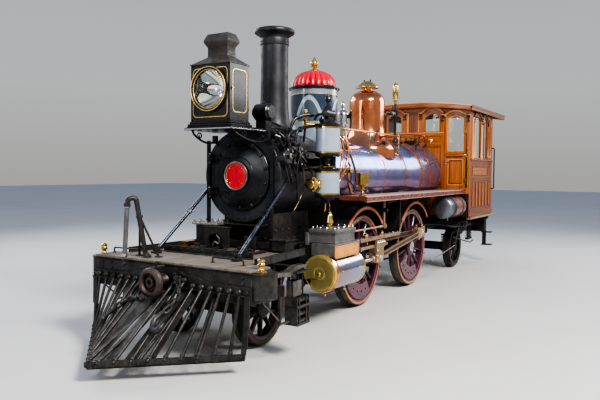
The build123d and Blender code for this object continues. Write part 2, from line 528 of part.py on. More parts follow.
back = cyl_x(-3950, WALL_X0, 0, BOILER_Z, 560) + box(-3950, WALL_X0, -420, 420, FLOOR_Z1, BOILER_Z)
back = back + box(-3980, -3945, -190, 190, 1420, 1700) + cyl_x(-4120, -3945, 0, 2180, 30) \
    + box(-4130, -4100, -20, 330, 2160, 2200)
put("backhead", back)

rear = box(-5350, -5200, -950, 950, 620, 900)
rear = rear + box(-5560, -5350, -170, 170, 740, 800) - cyl_z(700, 850, -5470, 0, 26)
put("rear_beam", rear)

for name, comp in nodes.items():
    export_step(comp, "parts/" + name + ".step")
bb = Compound(children=[c for c in nodes.values()]).bounding_box()
print(len(nodes), "nodes", "X %.1f %.1f Y %.1f %.1f Z %.1f %.1f" % (bb.min.X, bb.max.X, bb.min.Y, bb.max.Y, bb.min.Z, bb.max.Z))
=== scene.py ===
import bpy
import bmesh
import json
import math
import random
from mathutils import Matrix, Vector
from mathutils.geometry import tessellate_polygon


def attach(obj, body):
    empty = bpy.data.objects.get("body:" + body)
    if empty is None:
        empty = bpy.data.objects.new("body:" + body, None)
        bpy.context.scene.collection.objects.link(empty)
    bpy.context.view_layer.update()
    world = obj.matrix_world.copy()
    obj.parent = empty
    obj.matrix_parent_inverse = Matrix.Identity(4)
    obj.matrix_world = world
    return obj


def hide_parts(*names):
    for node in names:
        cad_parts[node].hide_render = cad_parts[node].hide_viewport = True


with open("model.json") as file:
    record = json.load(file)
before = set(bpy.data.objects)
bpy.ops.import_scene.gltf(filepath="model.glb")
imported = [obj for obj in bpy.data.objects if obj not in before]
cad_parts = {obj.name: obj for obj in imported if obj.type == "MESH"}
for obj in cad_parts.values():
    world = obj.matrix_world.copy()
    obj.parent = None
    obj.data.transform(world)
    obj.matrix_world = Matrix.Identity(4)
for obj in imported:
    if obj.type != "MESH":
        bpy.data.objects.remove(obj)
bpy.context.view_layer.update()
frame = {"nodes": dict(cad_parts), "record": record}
NODES = frame["nodes"]

# ---------------------------------------------------------------------------
# Frame of the drawing: metres, +X forward, +Y to the engine's left, +Z up,
# X = 0 at the front driving axle and Z = 0 at the rail top. Everything is
# written in it and shifted once, as the model's own frame is.
# ---------------------------------------------------------------------------
SX, SZ = 0.8185, 0.028


def D(x, y, z):
    return Vector((x + SX, y, z + SZ))


# ---- camera, at the photograph's view --------------------------------------
cam_data = bpy.data.cameras.new("camera")
cam = bpy.data.objects.new("camera", cam_data)
bpy.context.scene.collection.objects.link(cam)
bpy.context.scene.camera = cam
CAM_AT = D(7.6687, 4.3099, 1.8404)
YAW, PITCH, ROLL = math.radians(211.45), math.radians(-2.67), math.radians(0.44)
fwd = Vector((math.cos(YAW) * math.cos(PITCH), math.sin(YAW) * math.cos(PITCH), math.sin(PITCH)))
right0 = fwd.cross(Vector((0, 0, 1))).normalized()
up0 = right0.cross(fwd)
right = right0 * math.cos(ROLL) + up0 * math.sin(ROLL)
up = up0 * math.cos(ROLL) - right0 * math.sin(ROLL)
cam.matrix_world = Matrix(((right.x, up.x, -fwd.x, CAM_AT.x), (right.y, up.y, -fwd.y, CAM_AT.y),
                           (right.z, up.z, -fwd.z, CAM_AT.z), (0, 0, 0, 1)))
cam_data.sensor_width = 36.0
cam_data.lens = 36.0 * 613.12 / 600.0
cam_data.clip_end = 200.0


# ---------------------------------------------------------------------------
# Mesh making
# ---------------------------------------------------------------------------
def basis(axis):
    """Two unit vectors square to axis."""
    a = Vector(axis).normalized()
    ref = Vector((0, 0, 1)) if abs(a.z) < 0.9 else Vector((1, 0, 0))
    u = ref.cross(a).normalized()
    return a, u, a.cross(u)


class Piece:
    def __init__(self, name):
        self.name, self.v, self.f, self.fm, self.mats = name, [], [], [], []

    def slot(self, mat):
        if mat not in self.mats:
            self.mats.append(mat)
        return self.mats.index(mat)

    def add(self, verts, faces, mat):
        base, m = len(self.v), self.slot(mat)
        self.v += [tuple(p) for p in verts]
        self.f += [tuple(base + i for i in f) for f in faces]
        self.fm += [m] * len(faces)

    # -- solids ---------------------------------------------------------------
    def box(self, x0, x1, y0, y1, z0, z1, mat, c=0.004, xf=None):
        """Box with chamfered edges."""
        lo, hi = (min(x0, x1), min(y0, y1), min(z0, z1)), (max(x0, x1), max(y0, y1), max(z0, z1))
        c = min(c, 0.45 * min(hi[i] - lo[i] for i in range(3)))
        verts, index = [], {}
        for sx in (0, 1):
            for sy in (0, 1):
                for sz in (0, 1):
                    s = (sx, sy, sz)
                    for full in range(3):
                        p = []
                        for i in range(3):
                            e = hi[i] if s[i] else lo[i]
                            p.append(e if i == full else e + (-c if s[i] else c))
                        index[s, full] = len(verts)
                        verts.append(Vector(p))
        faces = []
        for a in range(3):
            b, d = (a + 1) % 3, (a + 2) % 3
            for sa in (0, 1):
                quad = []
                for sb, sd in ((0, 0), (1, 0), (1, 1), (0, 1)):
                    s = [0, 0, 0]
                    s[a], s[b], s[d] = sa, sb, sd
                    quad.append(index[tuple(s), a])
                faces.append(quad)
            for sa in (0, 1):
                for sb in (0, 1):
                    s0, s1 = [0, 0, 0], [0, 0, 0]
                    s0[a], s0[b], s0[d] = sa, sb, 0
                    s1[a], s1[b], s1[d] = sa, sb, 1
                    faces.append([index[tuple(s0), a], index[tuple(s1), a], index[tuple(s1), b], index[tuple(s0), b]])
        for sx in (0, 1):
            for sy in (0, 1):
                for sz in (0, 1):
                    faces.append([index[(sx, sy, sz), k] for k in range(3)])
        if xf is not None:
            verts = [xf @ p for p in verts]
        self.add(verts, faces, mat)

    def lathe(self, prof, at, axis, mat, seg=32, start=0.0, close=False):
        """Body of revolution. prof is (radius, height) along axis from at."""
        a, u, w = basis(axis)
        at = Vector(at)
        verts, faces, rings = [], [], []
        for r, h in prof:
            if r < 1e-6:
                rings.append([len(verts)])
                verts.append(at + a * h)
            else:
                ring = []
                for i in range(seg):
                    t = start + 2 * math.pi * i / seg
                    ring.append(len(verts))
                    verts.append(at + a * h + (u * math.cos(t) + w * math.sin(t)) * r)
                rings.append(ring)
        pairs = list(zip(rings, rings[1:])) + ([(rings[-1], rings[0])] if close else [])
        for p, q in pairs:
            if len(p) == 1 and len(q) == 1:
                continue
            for i in range(seg):
                j = (i + 1) % seg
                if len(p) == 1:
                    faces.append([p[0], q[i], q[j]])
                elif len(q) == 1:
                    faces.append([p[i], p[j], q[0]])
                else:
                    faces.append([p[i], p[j], q[j], q[i]])
        self.add(verts, faces, mat)

    def cyl(self, p, q, r, mat, seg=24, c=0.003):
        p, q = Vector(p), Vector(q)
        d = (q - p).length
        c = min(c, 0.4 * r, 0.4 * d)
        self.lathe([(0, 0), (r - c, 0), (r, c), (r, d - c), (r - c, d), (0, d)], p, q - p, mat, seg)

    def tube(self, pts, r, mat, seg=12, closed=False, caps=True):
        """Round bar along points; r is one radius or one for each point."""
        pts = [Vector(p) for p in pts]
        n = len(pts)
        rr = [r] * n if isinstance(r, (int, float)) else list(r)
        tang = []
        for i in range(n):
            if closed:
                t = pts[(i + 1) % n] - pts[i - 1]
            else:
                t = pts[min(i + 1, n - 1)] - pts[max(i - 1, 0)]
            tang.append(t.normalized())
        _, u, _ = basis(tang[0])
        verts, faces = [], []
        for i in range(n):
            u = (u - tang[i] * u.dot(tang[i])).normalized()
            w = tang[i].cross(u)
            for k in range(seg):
                a = 2 * math.pi * k / seg
                verts.append(pts[i] + (u * math.cos(a) + w * math.sin(a)) * rr[i])
        for i in range(n if closed else n - 1):
            for k in range(seg):
                a, b = i * seg + k, i * seg + (k + 1) % seg
                c2, d2 = ((i + 1) % n) * seg + (k + 1) % seg, ((i + 1) % n) * seg + k
                faces.append([a, b, c2, d2])
        if not closed and caps:
            faces.append(list(range(seg))[::-1])
            faces.append([(n - 1) * seg + k for k in range(seg)])
        self.add(verts, faces, mat)

    def prism(self, outline, plane, a, b, mat, xf=None):
        """Straight-sided plate. plane is the pair of axes of the outline."""
        k = {"yz": (1, 2, 0), "xz": (0, 2, 1), "xy": (0, 1, 2)}[plane]
        verts = []
        for t in (a, b):
            for p in outline:
                q = [0, 0, 0]
                q[k[0]], q[k[1]], q[k[2]] = p[0], p[1], t
                verts.append(Vector(q))
        n = len(outline)
        faces = [list(range(n)), list(range(n, 2 * n))[::-1]]
        faces += [[i, (i + 1) % n, n + (i + 1) % n, n + i] for i in range(n)]
        if xf is not None:
            verts = [xf @ p for p in verts]
        self.add(verts, faces, mat)

    def frame_prism(self, outer, inner, plane, a, b, mat):
        """Plate with one hole: outer and inner loops have the same count."""
        k = {"yz": (1, 2, 0), "xz": (0, 2, 1), "xy": (0, 1, 2)}[plane]
        n, verts = len(outer), []
        for t in (a, b):
            for loop in (outer, inner):
                for p in loop:
                    q = [0, 0, 0]
                    q[k[0]], q[k[1]], q[k[2]] = p[0], p[1], t
                    verts.append(Vector(q))
        faces = []
        for i in range(n):
            j = (i + 1) % n
            faces.append([i, j, n + j, n + i])
            faces.append([2 * n + i, 3 * n + i, 3 * n + j, 2 * n + j])
            faces.append([i, 2 * n + i, 2 * n + j, j])
            faces.append([n + i, n + j, 3 * n + j, 3 * n + i])
        self.add(verts, faces, mat)

    def stack(self, sections, mat):
        """Body through level rectangles: (x0, x1, y0, y1, z) from bottom to top."""
        verts, faces = [], []
        for x0, x1, y0, y1, z in sections:
            verts += [(x0, y0, z), (x1, y0, z), (x1, y1, z), (x0, y1, z)]
        for i in range(len(sections) - 1):
            for k in range(4):
                a, b = i * 4 + k, i * 4 + (k + 1) % 4
                faces.append([a, b, b + 4, a + 4])
        n = len(sections) * 4
        faces += [[3, 2, 1, 0], [n - 4, n - 3, n - 2, n - 1]]
        self.add(verts, faces, mat)

    def fluted(self, prof, at, mat, count, depth, seg=8):
        """Vertical turned cap whose sides swell out between count grooves.
        prof is (radius, height, share of the groove's depth)."""
        n, verts, faces = count * seg, [], []
        for r, z, k in prof:
            for i in range(n):
                t = 2 * math.pi * i / n
                g = abs(math.sin(t * count / 2)) ** 0.6
                rr = r * (1 - depth * k * (1 - g))
                verts.append((at[0] + rr * math.cos(t), at[1] + rr * math.sin(t), z))
        for j in range(len(prof) - 1):
            for i in range(n):
                a, b = j * n + i, j * n + (i + 1) % n
                faces.append([a, b, b + n, a + n])
        faces.append(list(range(n))[::-1])
        faces.append([(len(prof) - 1) * n + i for i in range(n)])
        self.add(verts, faces, mat)

    def ring(self, at, axis, r, t, mat, seg=48, side=8):
        """Round ring of wire: r to its middle, t the wire's radius."""
        prof = [(r + t * math.cos(2 * math.pi * i / side), t * math.sin(2 * math.pi * i / side)) for i in range(side)]
        self.lathe(prof, at, axis, mat, seg, close=True)

    def band(self, at, axis, r0, r1, h0, h1, mat, seg=64, c=0.002):
        """Flat hoop between two radii, from h0 to h1 along the axis."""
        c = min(c, 0.4 * (r1 - r0), 0.4 * abs(h1 - h0))
        self.lathe([(r0, h0), (r1 - c, h0), (r1, h0 + c), (r1, h1 - c), (r1 - c, h1), (r0, h1)], at, axis, mat, seg, close=True)

    def join(self, t, side=1):
        """Takes over another piece's mesh, mirrored for the engine's right."""
        base = len(self.v)
        self.v += [(x, y * side, z) for x, y, z in t.v]
        self.f += [tuple(base + i for i in f) for f in t.f]
        self.fm += [self.slot(t.mats[m]) for m in t.fm]

    def plate(self, outer, holes, plane, a, b, mat):
        """Plate with openings: outer loop and holes in one plane, from a to b."""
        k = {"yz": (1, 2, 0), "xz": (0, 2, 1), "xy": (0, 1, 2)}[plane]
        loops = [list(outer)] + [list(q) for q in holes]
        tris = tessellate_polygon([[Vector((u, v, 0)) for u, v in q] for q in loops])
        flat = [q for loop in loops for q in loop]
        n, verts = len(flat), []
        for t in (a, b):
            for u, v in flat:
                q = [0, 0, 0]
                q[k[0]], q[k[1]], q[k[2]] = u, v, t
                verts.append(Vector(q))
        faces = [list(t) for t in tris] + [[n + i for i in t][::-1] for t in tris]
        start = 0
        for loop in loops:
            m = len(loop)
            faces += [[start + i, start + (i + 1) % m, n + start + (i + 1) % m, n + start + i] for i in range(m)]
            start += m
        self.add(verts, faces, mat)

    def bolt(self, at, n, r, h, mat, sides=6):
        """Bolt head or nut on a washer."""
        self.lathe([(0, 0), (r * 1.35, 0), (r * 1.35, h * 0.18), (r, h * 0.2), (r, h * 0.85), (r * 0.82, h), (0, h)],
                   at, n, mat, sides)

    def rivet(self, at, n, r, mat, seg=8):
        self.lathe([(r, 0), (r * 0.85, r * 0.42), (r * 0.45, r * 0.7), (0, r * 0.78)], at, n, mat, seg)

    def ball(self, at, r, mat, seg=20):
        prof = [(r * math.sin(math.pi * i / 10), -r * math.cos(math.pi * i / 10)) for i in range(11)]
        prof[0], prof[-1] = (0, -r), (0, r)
        self.lathe(prof, at, (0, 0, 1), mat, seg)

    # -- result ---------------------------------------------------------------
    def make(self, body, replaces=(), angle=34.0, bevel=None, flip_y=False):
        mesh = bpy.data.meshes.new(self.name)
        s = -1.0 if flip_y else 1.0
        mesh.from_pydata([(x + SX, y * s, z + SZ) for x, y, z in self.v], [], self.f)
        for m in self.mats:
            mesh.materials.append(m)
        mesh.polygons.foreach_set("material_index", self.fm)
        bm = bmesh.new()
        bm.from_mesh(mesh)
        bmesh.ops.recalc_face_normals(bm, faces=bm.faces)
        bm.to_mesh(mesh)
        bm.free()
        mesh.polygons.foreach_set("use_smooth", [True] * len(mesh.polygons))
        mesh.set_sharp_from_angle(angle=math.radians(angle))
        mesh.update()
        o = bpy.data.objects.new(self.name, mesh)
        bpy.context.scene.collection.objects.link(o)
        if bevel:
            mod = o.modifiers.new("edges", "BEVEL")
            mod.width, mod.segments, mod.limit_method, mod.angle_limit = bevel, 2, "ANGLE", math.radians(40)
            mod.harden_normals = False
        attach(o, body)
        if replaces:
            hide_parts(*replaces)
        return o


def spin(p, at, axis, deg):
    return Matrix.Translation(at) @ Matrix.Rotation(math.radians(deg), 4, axis) @ Matrix.Translation(-Vector(at)) @ Vector(p)


def curve_pts(ctrl, n=8, closed=False):
    """Smooth line through control points (Catmull-Rom)."""
    c = [Vector(p) for p in ctrl]
    m, out = len(c), []
    for i in range(m if closed else m - 1):
        p1, p2 = c[i], c[(i + 1) % m]
        p0 = c[i - 1] if (closed or i > 0) else p1 * 2 - p2
        p3 = c[(i + 2) % m] if (closed or i + 2 < m) else p2 * 2 - p1
        for k in range(n):
            t = k / n
            out.append(0.5 * ((2 * p1) + (p2 - p0) * t + (2 * p0 - 5 * p1 + 4 * p2 - p3) * t * t
                              + (3 * p1 - p0 - 3 * p2 + p3) * t ** 3))
    if not closed:
        out.append(c[-1])
    return out


def bent(pts, r, n=5):
    """Straight runs with rounded corners of radius about r."""
    p = [Vector(q) for q in pts]
    out = [p[0]]
    for i in range(1, len(p) - 1):
        a, b = (p[i - 1] - p[i]), (p[i + 1] - p[i])
        k = min(r, a.length * 0.45, b.length * 0.45)
        s, e = p[i] + a.normalized() * k, p[i] + b.normalized() * k
        for j in range(n + 1):
            t = j / n
            out.append(s * (1 - t) ** 2 + p[i] * 2 * t * (1 - t) + e * t * t)
    out.append(p[-1])
    return out


def link(p, c, along, side, length, width, r, mat):
    """One chain link: a rounded loop about c."""
    along, side = Vector(along).normalized(), Vector(side).normalized()
    pts, hl, hw = [], length / 2 - width / 2, width / 2 - r
    for k in range(20):
        t = 2 * math.pi * k / 20
        pts.append(Vector(c) + along * (math.cos(t) * hw + (hl if math.cos(t) > 0 else -hl)) + side * (math.sin(t) * hw))
    p.tube(pts, r, mat, 8, closed=True)


def arc2(cx, cy, r, a0, a1, n):
    return [(cx + r * math.cos(math.radians(a0 + (a1 - a0) * i / n)), cy + r * math.sin(math.radians(a0 + (a1 - a0) * i / n)))
            for i in range(n + 1)]


def round_rect(u0, u1, v0, v1, r, n=6):
    """Rounded rectangle, anticlockwise, 4 * (n + 1) points."""
    out = []
    for cu, cv, a in ((u1 - r, v0 + r, -90), (u1 - r, v1 - r, 0), (u0 + r, v1 - r, 90), (u0 + r, v0 + r, 180)):
        out += arc2(cu, cv, r, a, a + 90, n)
    return out


def arched(u0, u1, v0, v1, rise, n=12):
    """Opening with an arched head, anticlockwise from the lower left."""
    w, cu = u1 - u0, (u0 + u1) / 2
    r = (w * w / 4 + rise * rise) / (2 * rise)
    a = math.degrees(math.asin(min(1.0, w / 2 / r)))
    return [(u0, v0), (u1, v0)] + arc2(cu, v1 - r, r, 90 - a, 90 + a, n)


def line_frame(p, loop, width, plane, a, b, mat):
    """Thin raised line that follows a closed loop, width inside of it."""
    n = len(loop)
    inner = []
    for i in range(n):
        q, w0, w1 = Vector(loop[i]), Vector(loop[i - 1]), Vector(loop[(i + 1) % n])
        e0, e1 = (q - w0), (w1 - q)
        e0 = e0.normalized() if e0.length > 1e-9 else e1.normalized()
        e1 = e1.normalized() if e1.length > 1e-9 else e0
        n0, n1 = Vector((-e0.y, e0.x)), Vector((-e1.y, e1.x))
        m = (n0 + n1)
        m = m.normalized() if m.length > 1e-6 else n0
        k = width / max(0.35, m.dot(n0))
        inner.append(tuple(q + m * k))
    p.frame_prism(loop, inner, plane, a, b, mat)


# ---------------------------------------------------------------------------
# Materials. Texture coordinates are the object's own, so a finish stays with
# its piece. All patterns are procedural.
# ---------------------------------------------------------------------------
class Mat:
    """A Principled shader with helpers for noise, ramps and bump."""

    def __init__(self, name, rough=0.4, metal=0.0, **kw):
        self.m = bpy.data.materials.new(name)
        self.m.use_nodes = True
        self.t = self.m.node_tree
        self.n, self.l = self.t.nodes, self.t.links
        self.p = self.n["Principled BSDF"] if "Principled BSDF" in self.n else self.n.new("ShaderNodeBsdfPrincipled")
        self.p.inputs["Roughness"].default_value = rough
        self.p.inputs["Metallic"].default_value = metal
        for k, v in kw.items():
            self.p.inputs[k.replace("_", " ")].default_value = v
        self.co = self.n.new("ShaderNodeTexCoord").outputs["Object"]

    def mapped(self, scale):
        k = self.n.new("ShaderNodeMapping")
        k.inputs["Scale"].default_value = scale
        self.l.new(self.co, k.inputs["Vector"])
        return k.outputs["Vector"]

    def noise(self, scale, detail=4.0, rough=0.55, stretch=None, dist=0.0):
        k = self.n.new("ShaderNodeTexNoise")
        k.inputs["Scale"].default_value = scale
        k.inputs["Detail"].default_value = detail
        k.inputs["Roughness"].default_value = rough
        k.inputs["Distortion"].default_value = dist
        self.l.new(self.mapped(stretch) if stretch else self.co, k.inputs["Vector"])
        return k.outputs["Fac"]

    def ramp(self, fac, stops):
        k = self.n.new("ShaderNodeValToRGB")
        e = k.color_ramp.elements
        while len(e) < len(stops):
            e.new(0.5)
        for el, (pos, col) in zip(e, stops):
            el.position = pos
            el.color = (*col, 1.0) if len(col) == 3 else col
        self.l.new(fac, k.inputs["Fac"])
        return k.outputs["Color"]

    def span(self, fac, a, b, lo, hi):
        k = self.n.new("ShaderNodeMapRange")
        for key, v in (("From Min", a), ("From Max", b), ("To Min", lo), ("To Max", hi)):
            k.inputs[key].default_value = v
        self.l.new(fac, k.inputs["Value"])
        return k.outputs["Result"]

    def mix(self, fac, a, b, mode="MIX"):
        k = self.n.new("ShaderNodeMix")
        k.data_type, k.blend_type = "RGBA", mode
        for sock, v in ((k.inputs[0], fac), (k.inputs[6], a), (k.inputs[7], b)):
            if isinstance(v, (int, float)):
                sock.default_value = v
            elif isinstance(v, tuple):
                sock.default_value = (*v, 1.0) if len(v) == 3 else v
            else:
                self.l.new(v, sock)
        return k.outputs[2]

    def math(self, op, a, b=0.0):
        k = self.n.new("ShaderNodeMath")
        k.operation = op
        k.use_clamp = op in ("MULTIPLY", "ADD", "SUBTRACT")
        for sock, v in zip(k.inputs, (a, b)):
            if isinstance(v, (int, float)):
                sock.default_value = v
            else:
                self.l.new(v, sock)
        return k.outputs[0]

    def up(self):
        """How far the surface faces upward, from 0 to 1."""
        g = self.n.new("ShaderNodeNewGeometry")
        s = self.n.new("ShaderNodeSeparateXYZ")
        self.l.new(g.outputs["Normal"], s.inputs[0])
        return self.span(s.outputs["Z"], 0.25, 1.0, 0.0, 1.0)

    def height(self, z0, z1):
        s = self.n.new("ShaderNodeSeparateXYZ")
        self.l.new(self.co, s.inputs[0])
        return self.span(s.outputs["Z"], z0, z1, 0.0, 1.0)

    def color(self, out):
        self.l.new(out, self.p.inputs["Base Color"])
        return self

    def rough(self, out):
        self.l.new(out, self.p.inputs["Roughness"])
        return self

    def bump(self, fac, strength=0.2, dist=0.002):
        k = self.n.new("ShaderNodeBump")
        k.inputs["Strength"].default_value = strength
        k.inputs["Distance"].default_value = dist
        self.l.new(fac, k.inputs["Height"])
        self.l.new(k.outputs["Normal"], self.p.inputs["Normal"])
        return self


def paint(name, base, alt, rough=(0.25, 0.4), metal=0.0, scale=6.0, dust=None, bump=0.06, fine=90.0, **kw):
    """Painted or plain metal: two close tones, patchy roughness, fine bump."""
    m = Mat(name, metal=metal, **kw)
    n1 = m.noise(scale, 5.0)
    col = m.ramp(n1, ((0.3, alt), (0.62, base)))
    if dust:
        dcol, amount = dust
        n2 = m.noise(scale * 2.3, 6.0, 0.65)
        up_ = m.up()
        fac = m.math("MULTIPLY", m.span(n2, 0.42, 0.68, 0.0, amount), m.math("ADD", up_, 0.35))
        col = m.mix(fac, col, dcol)
    m.color(col)
    m.rough(m.span(m.noise(scale * 3.1, 5.0), 0.3, 0.7, rough[0], rough[1]))
    m.bump(m.noise(fine, 3.0), bump, 0.001)
    return m.m


def metal(name, base, alt, rough=(0.15, 0.35), scale=8.0, bump=0.05, fine=140.0, metallic=1.0, spots=None, **kw):
    m = Mat(name, metal=metallic, **kw)
    n1 = m.noise(scale, 6.0, 0.6)
    col = m.ramp(n1, ((0.32, alt), (0.6, base)))
    if spots:
        scol, amount = spots
        n2 = m.noise(scale * 3.7, 8.0, 0.7)
        col = m.mix(m.span(n2, 0.55, 0.68, 0.0, amount), col, scol)
    m.color(col)
    m.rough(m.span(m.noise(scale * 2.2, 6.0, 0.65), 0.3, 0.7, rough[0], rough[1]))
    m.bump(m.noise(fine, 4.0), bump, 0.0008)
    return m.m


def wood(name, along, dark=(0.16, 0.045, 0.012), mid=(0.43, 0.15, 0.035), light=(0.62, 0.26, 0.07), coat=0.35, rough=0.32):
    """Varnished board with its grain along one axis."""
    m = Mat(name, rough=rough, Coat_Weight=coat, Coat_Roughness=0.12)
    st = {"x": (0.5, 14, 14), "y": (14, 0.5, 14), "z": (14, 14, 0.5)}[along]
    st2 = {"x": (1.4, 60, 60), "y": (60, 1.4, 60), "z": (60, 60, 1.4)}[along]
    grain = m.noise(1.0, 6.0, 0.62, st, 1.6)
    fine = m.noise(1.0, 5.0, 0.6, st2, 0.4)
    col = m.ramp(grain, ((0.28, dark), (0.45, mid), (0.68, light)))
    col = m.mix(m.span(fine, 0.35, 0.7, 0.0, 0.55), col, dark, "MIX")
    broad = m.noise(1.7, 2.0)
    col = m.mix(m.span(broad, 0.3, 0.7, 0.0, 0.35), col, mid)
    m.color(col)
    m.rough(m.span(fine, 0.3, 0.7, rough - 0.08, rough + 0.12))
    m.bump(fine, 0.08, 0.001)
    return m.m


IRON = paint("iron_weathered", (0.040, 0.038, 0.036), (0.017, 0.016, 0.0155), (0.34, 0.58), 0.4, 7.0, ((0.16, 0.14, 0.12), 0.5), 0.25, 60.0)
BLACK = paint("black_paint", (0.014, 0.014, 0.016), (0.007, 0.007, 0.008), (0.22, 0.42), 0.0, 5.0, ((0.08, 0.07, 0.06), 0.3))
GRAPHITE = paint("smokebox_graphite", (0.034, 0.034, 0.039), (0.016, 0.016, 0.019), (0.36, 0.55), 0.45, 4.0, ((0.13, 0.13, 0.14), 0.4), 0.14, 120.0)
STEEL = metal("steel_polished", (0.66, 0.64, 0.60), (0.46, 0.44, 0.41), (0.12, 0.30))
RODSTEEL = metal("rod_steel", (0.56, 0.52, 0.47), (0.34, 0.30, 0.26), (0.20, 0.42), 9.0, spots=((0.20, 0.12, 0.07), 0.5))
BRASS = metal("brass_polished", (0.86, 0.60, 0.22), (0.62, 0.38, 0.11), (0.10, 0.26))
COPPER = metal("copper_polished", (0.85, 0.38, 0.20), (0.60, 0.22, 0.10), (0.12, 0.30))
JACKET = metal("boiler_jacket", (0.30, 0.31, 0.42), (0.20, 0.18, 0.24), (0.10, 0.24), 2.2, 0.03, 60.0, 0.85)
DOMEBLUE = paint("dome_blue", (0.27, 0.33, 0.40), (0.20, 0.25, 0.31), (0.12, 0.24), 0.25, 3.0, Coat_Weight=0.5, Coat_Roughness=0.08)
RED = paint("plate_red", (0.60, 0.010, 0.022), (0.42, 0.006, 0.014), (0.20, 0.32), 0.0, 3.0, Coat_Weight=0.3, Coat_Roughness=0.08)
MAROON = paint("wheel_maroon", (0.085, 0.022, 0.040), (0.045, 0.012, 0.022), (0.18, 0.36), 0.0, 5.0, ((0.16, 0.12, 0.10), 0.25))
RIM = paint("rim_orange", (0.66, 0.20, 0.060), (0.50, 0.13, 0.040), (0.2, 0.4), 0.0, 6.0, ((0.35, 0.20, 0.13), 0.3))
BOARD = paint("board_brown", (0.17, 0.055, 0.035), (0.10, 0.03, 0.02), (0.25, 0.45), 0.0, 5.0, ((0.25, 0.2, 0.17), 0.3))
TANK = paint("tank_grey", (0.42, 0.40, 0.39), (0.28, 0.27, 0.27), (0.16, 0.34), 0.5, 4.0)
PUMP = paint("pump_blue", (0.42, 0.48, 0.52), (0.30, 0.35, 0.40), (0.16, 0.32), 0.2, 6.0)
WOOD_Z = wood("wood_upright", "z")
WOOD_Y = wood("wood_across", "y")
WOOD_X = wood("wood_along", "x")
FLOORWOOD = wood("floor_wood", "x", (0.10, 0.06, 0.035), (0.24, 0.16, 0.10), (0.34, 0.24, 0.16), 0.0, 0.6)


def glass(name, tint, alpha_rough=0.02):
    m = Mat(name, rough=alpha_rough, Transmission_Weight=1.0, IOR=1.45)
    m.color(m.ramp(m.noise(3.0, 2.0), ((0.3, tint), (0.7, tuple(min(1, c * 1.04) for c in tint)))))
    return m.m


GLASS = glass("window_glass", (0.86, 0.92, 0.92))
LAMPGLASS = glass("lamp_glass", (0.95, 0.97, 0.98), 0.01)

FIN = {"weathered_iron": IRON, "black_paint": BLACK, "graphite_black": GRAPHITE, "polished_steel": STEEL, "rod_steel": RODSTEEL,
       "wheel_maroon": MAROON, "boiler_iron": JACKET, "copper_trim": COPPER, "brass_trim": BRASS, "dome_blue": DOMEBLUE,
       "plate_red": RED, "board_brown": BOARD, "splasher_orange": RIM, "cab_wood": WOOD_Z, "roof_wood": WOOD_X,
       "floor_wood": FLOORWOOD, "window_glass": GLASS, "lamp_glass": LAMPGLASS, "tank_grey": TANK, "pump_blue": PUMP}
for entry in frame["record"]["subparts"]:
    node = NODES[entry["node"]]
    node.data.materials.clear()
    node.data.materials.append(FIN[entry["material_slot"]])

# ---------------------------------------------------------------------------
# Front end: pilot, beam, deck, coupler, air pipe, braces, steps
# ---------------------------------------------------------------------------
TIP, ROOT, PY = 4.153, 3.237, 0.995


def v_x(y):
    """Where the pilot's base line stands forward, at a distance y off centre."""
    return TIP + (ROOT - TIP) * abs(y) / PY


SLAT = paint("pilot_slat", (0.062, 0.060, 0.059), (0.030, 0.029, 0.028), (0.34, 0.55), 0.45, 9.0, ((0.18, 0.16, 0.14), 0.5), 0.2, 60.0)
p = Piece("pilot_detail")
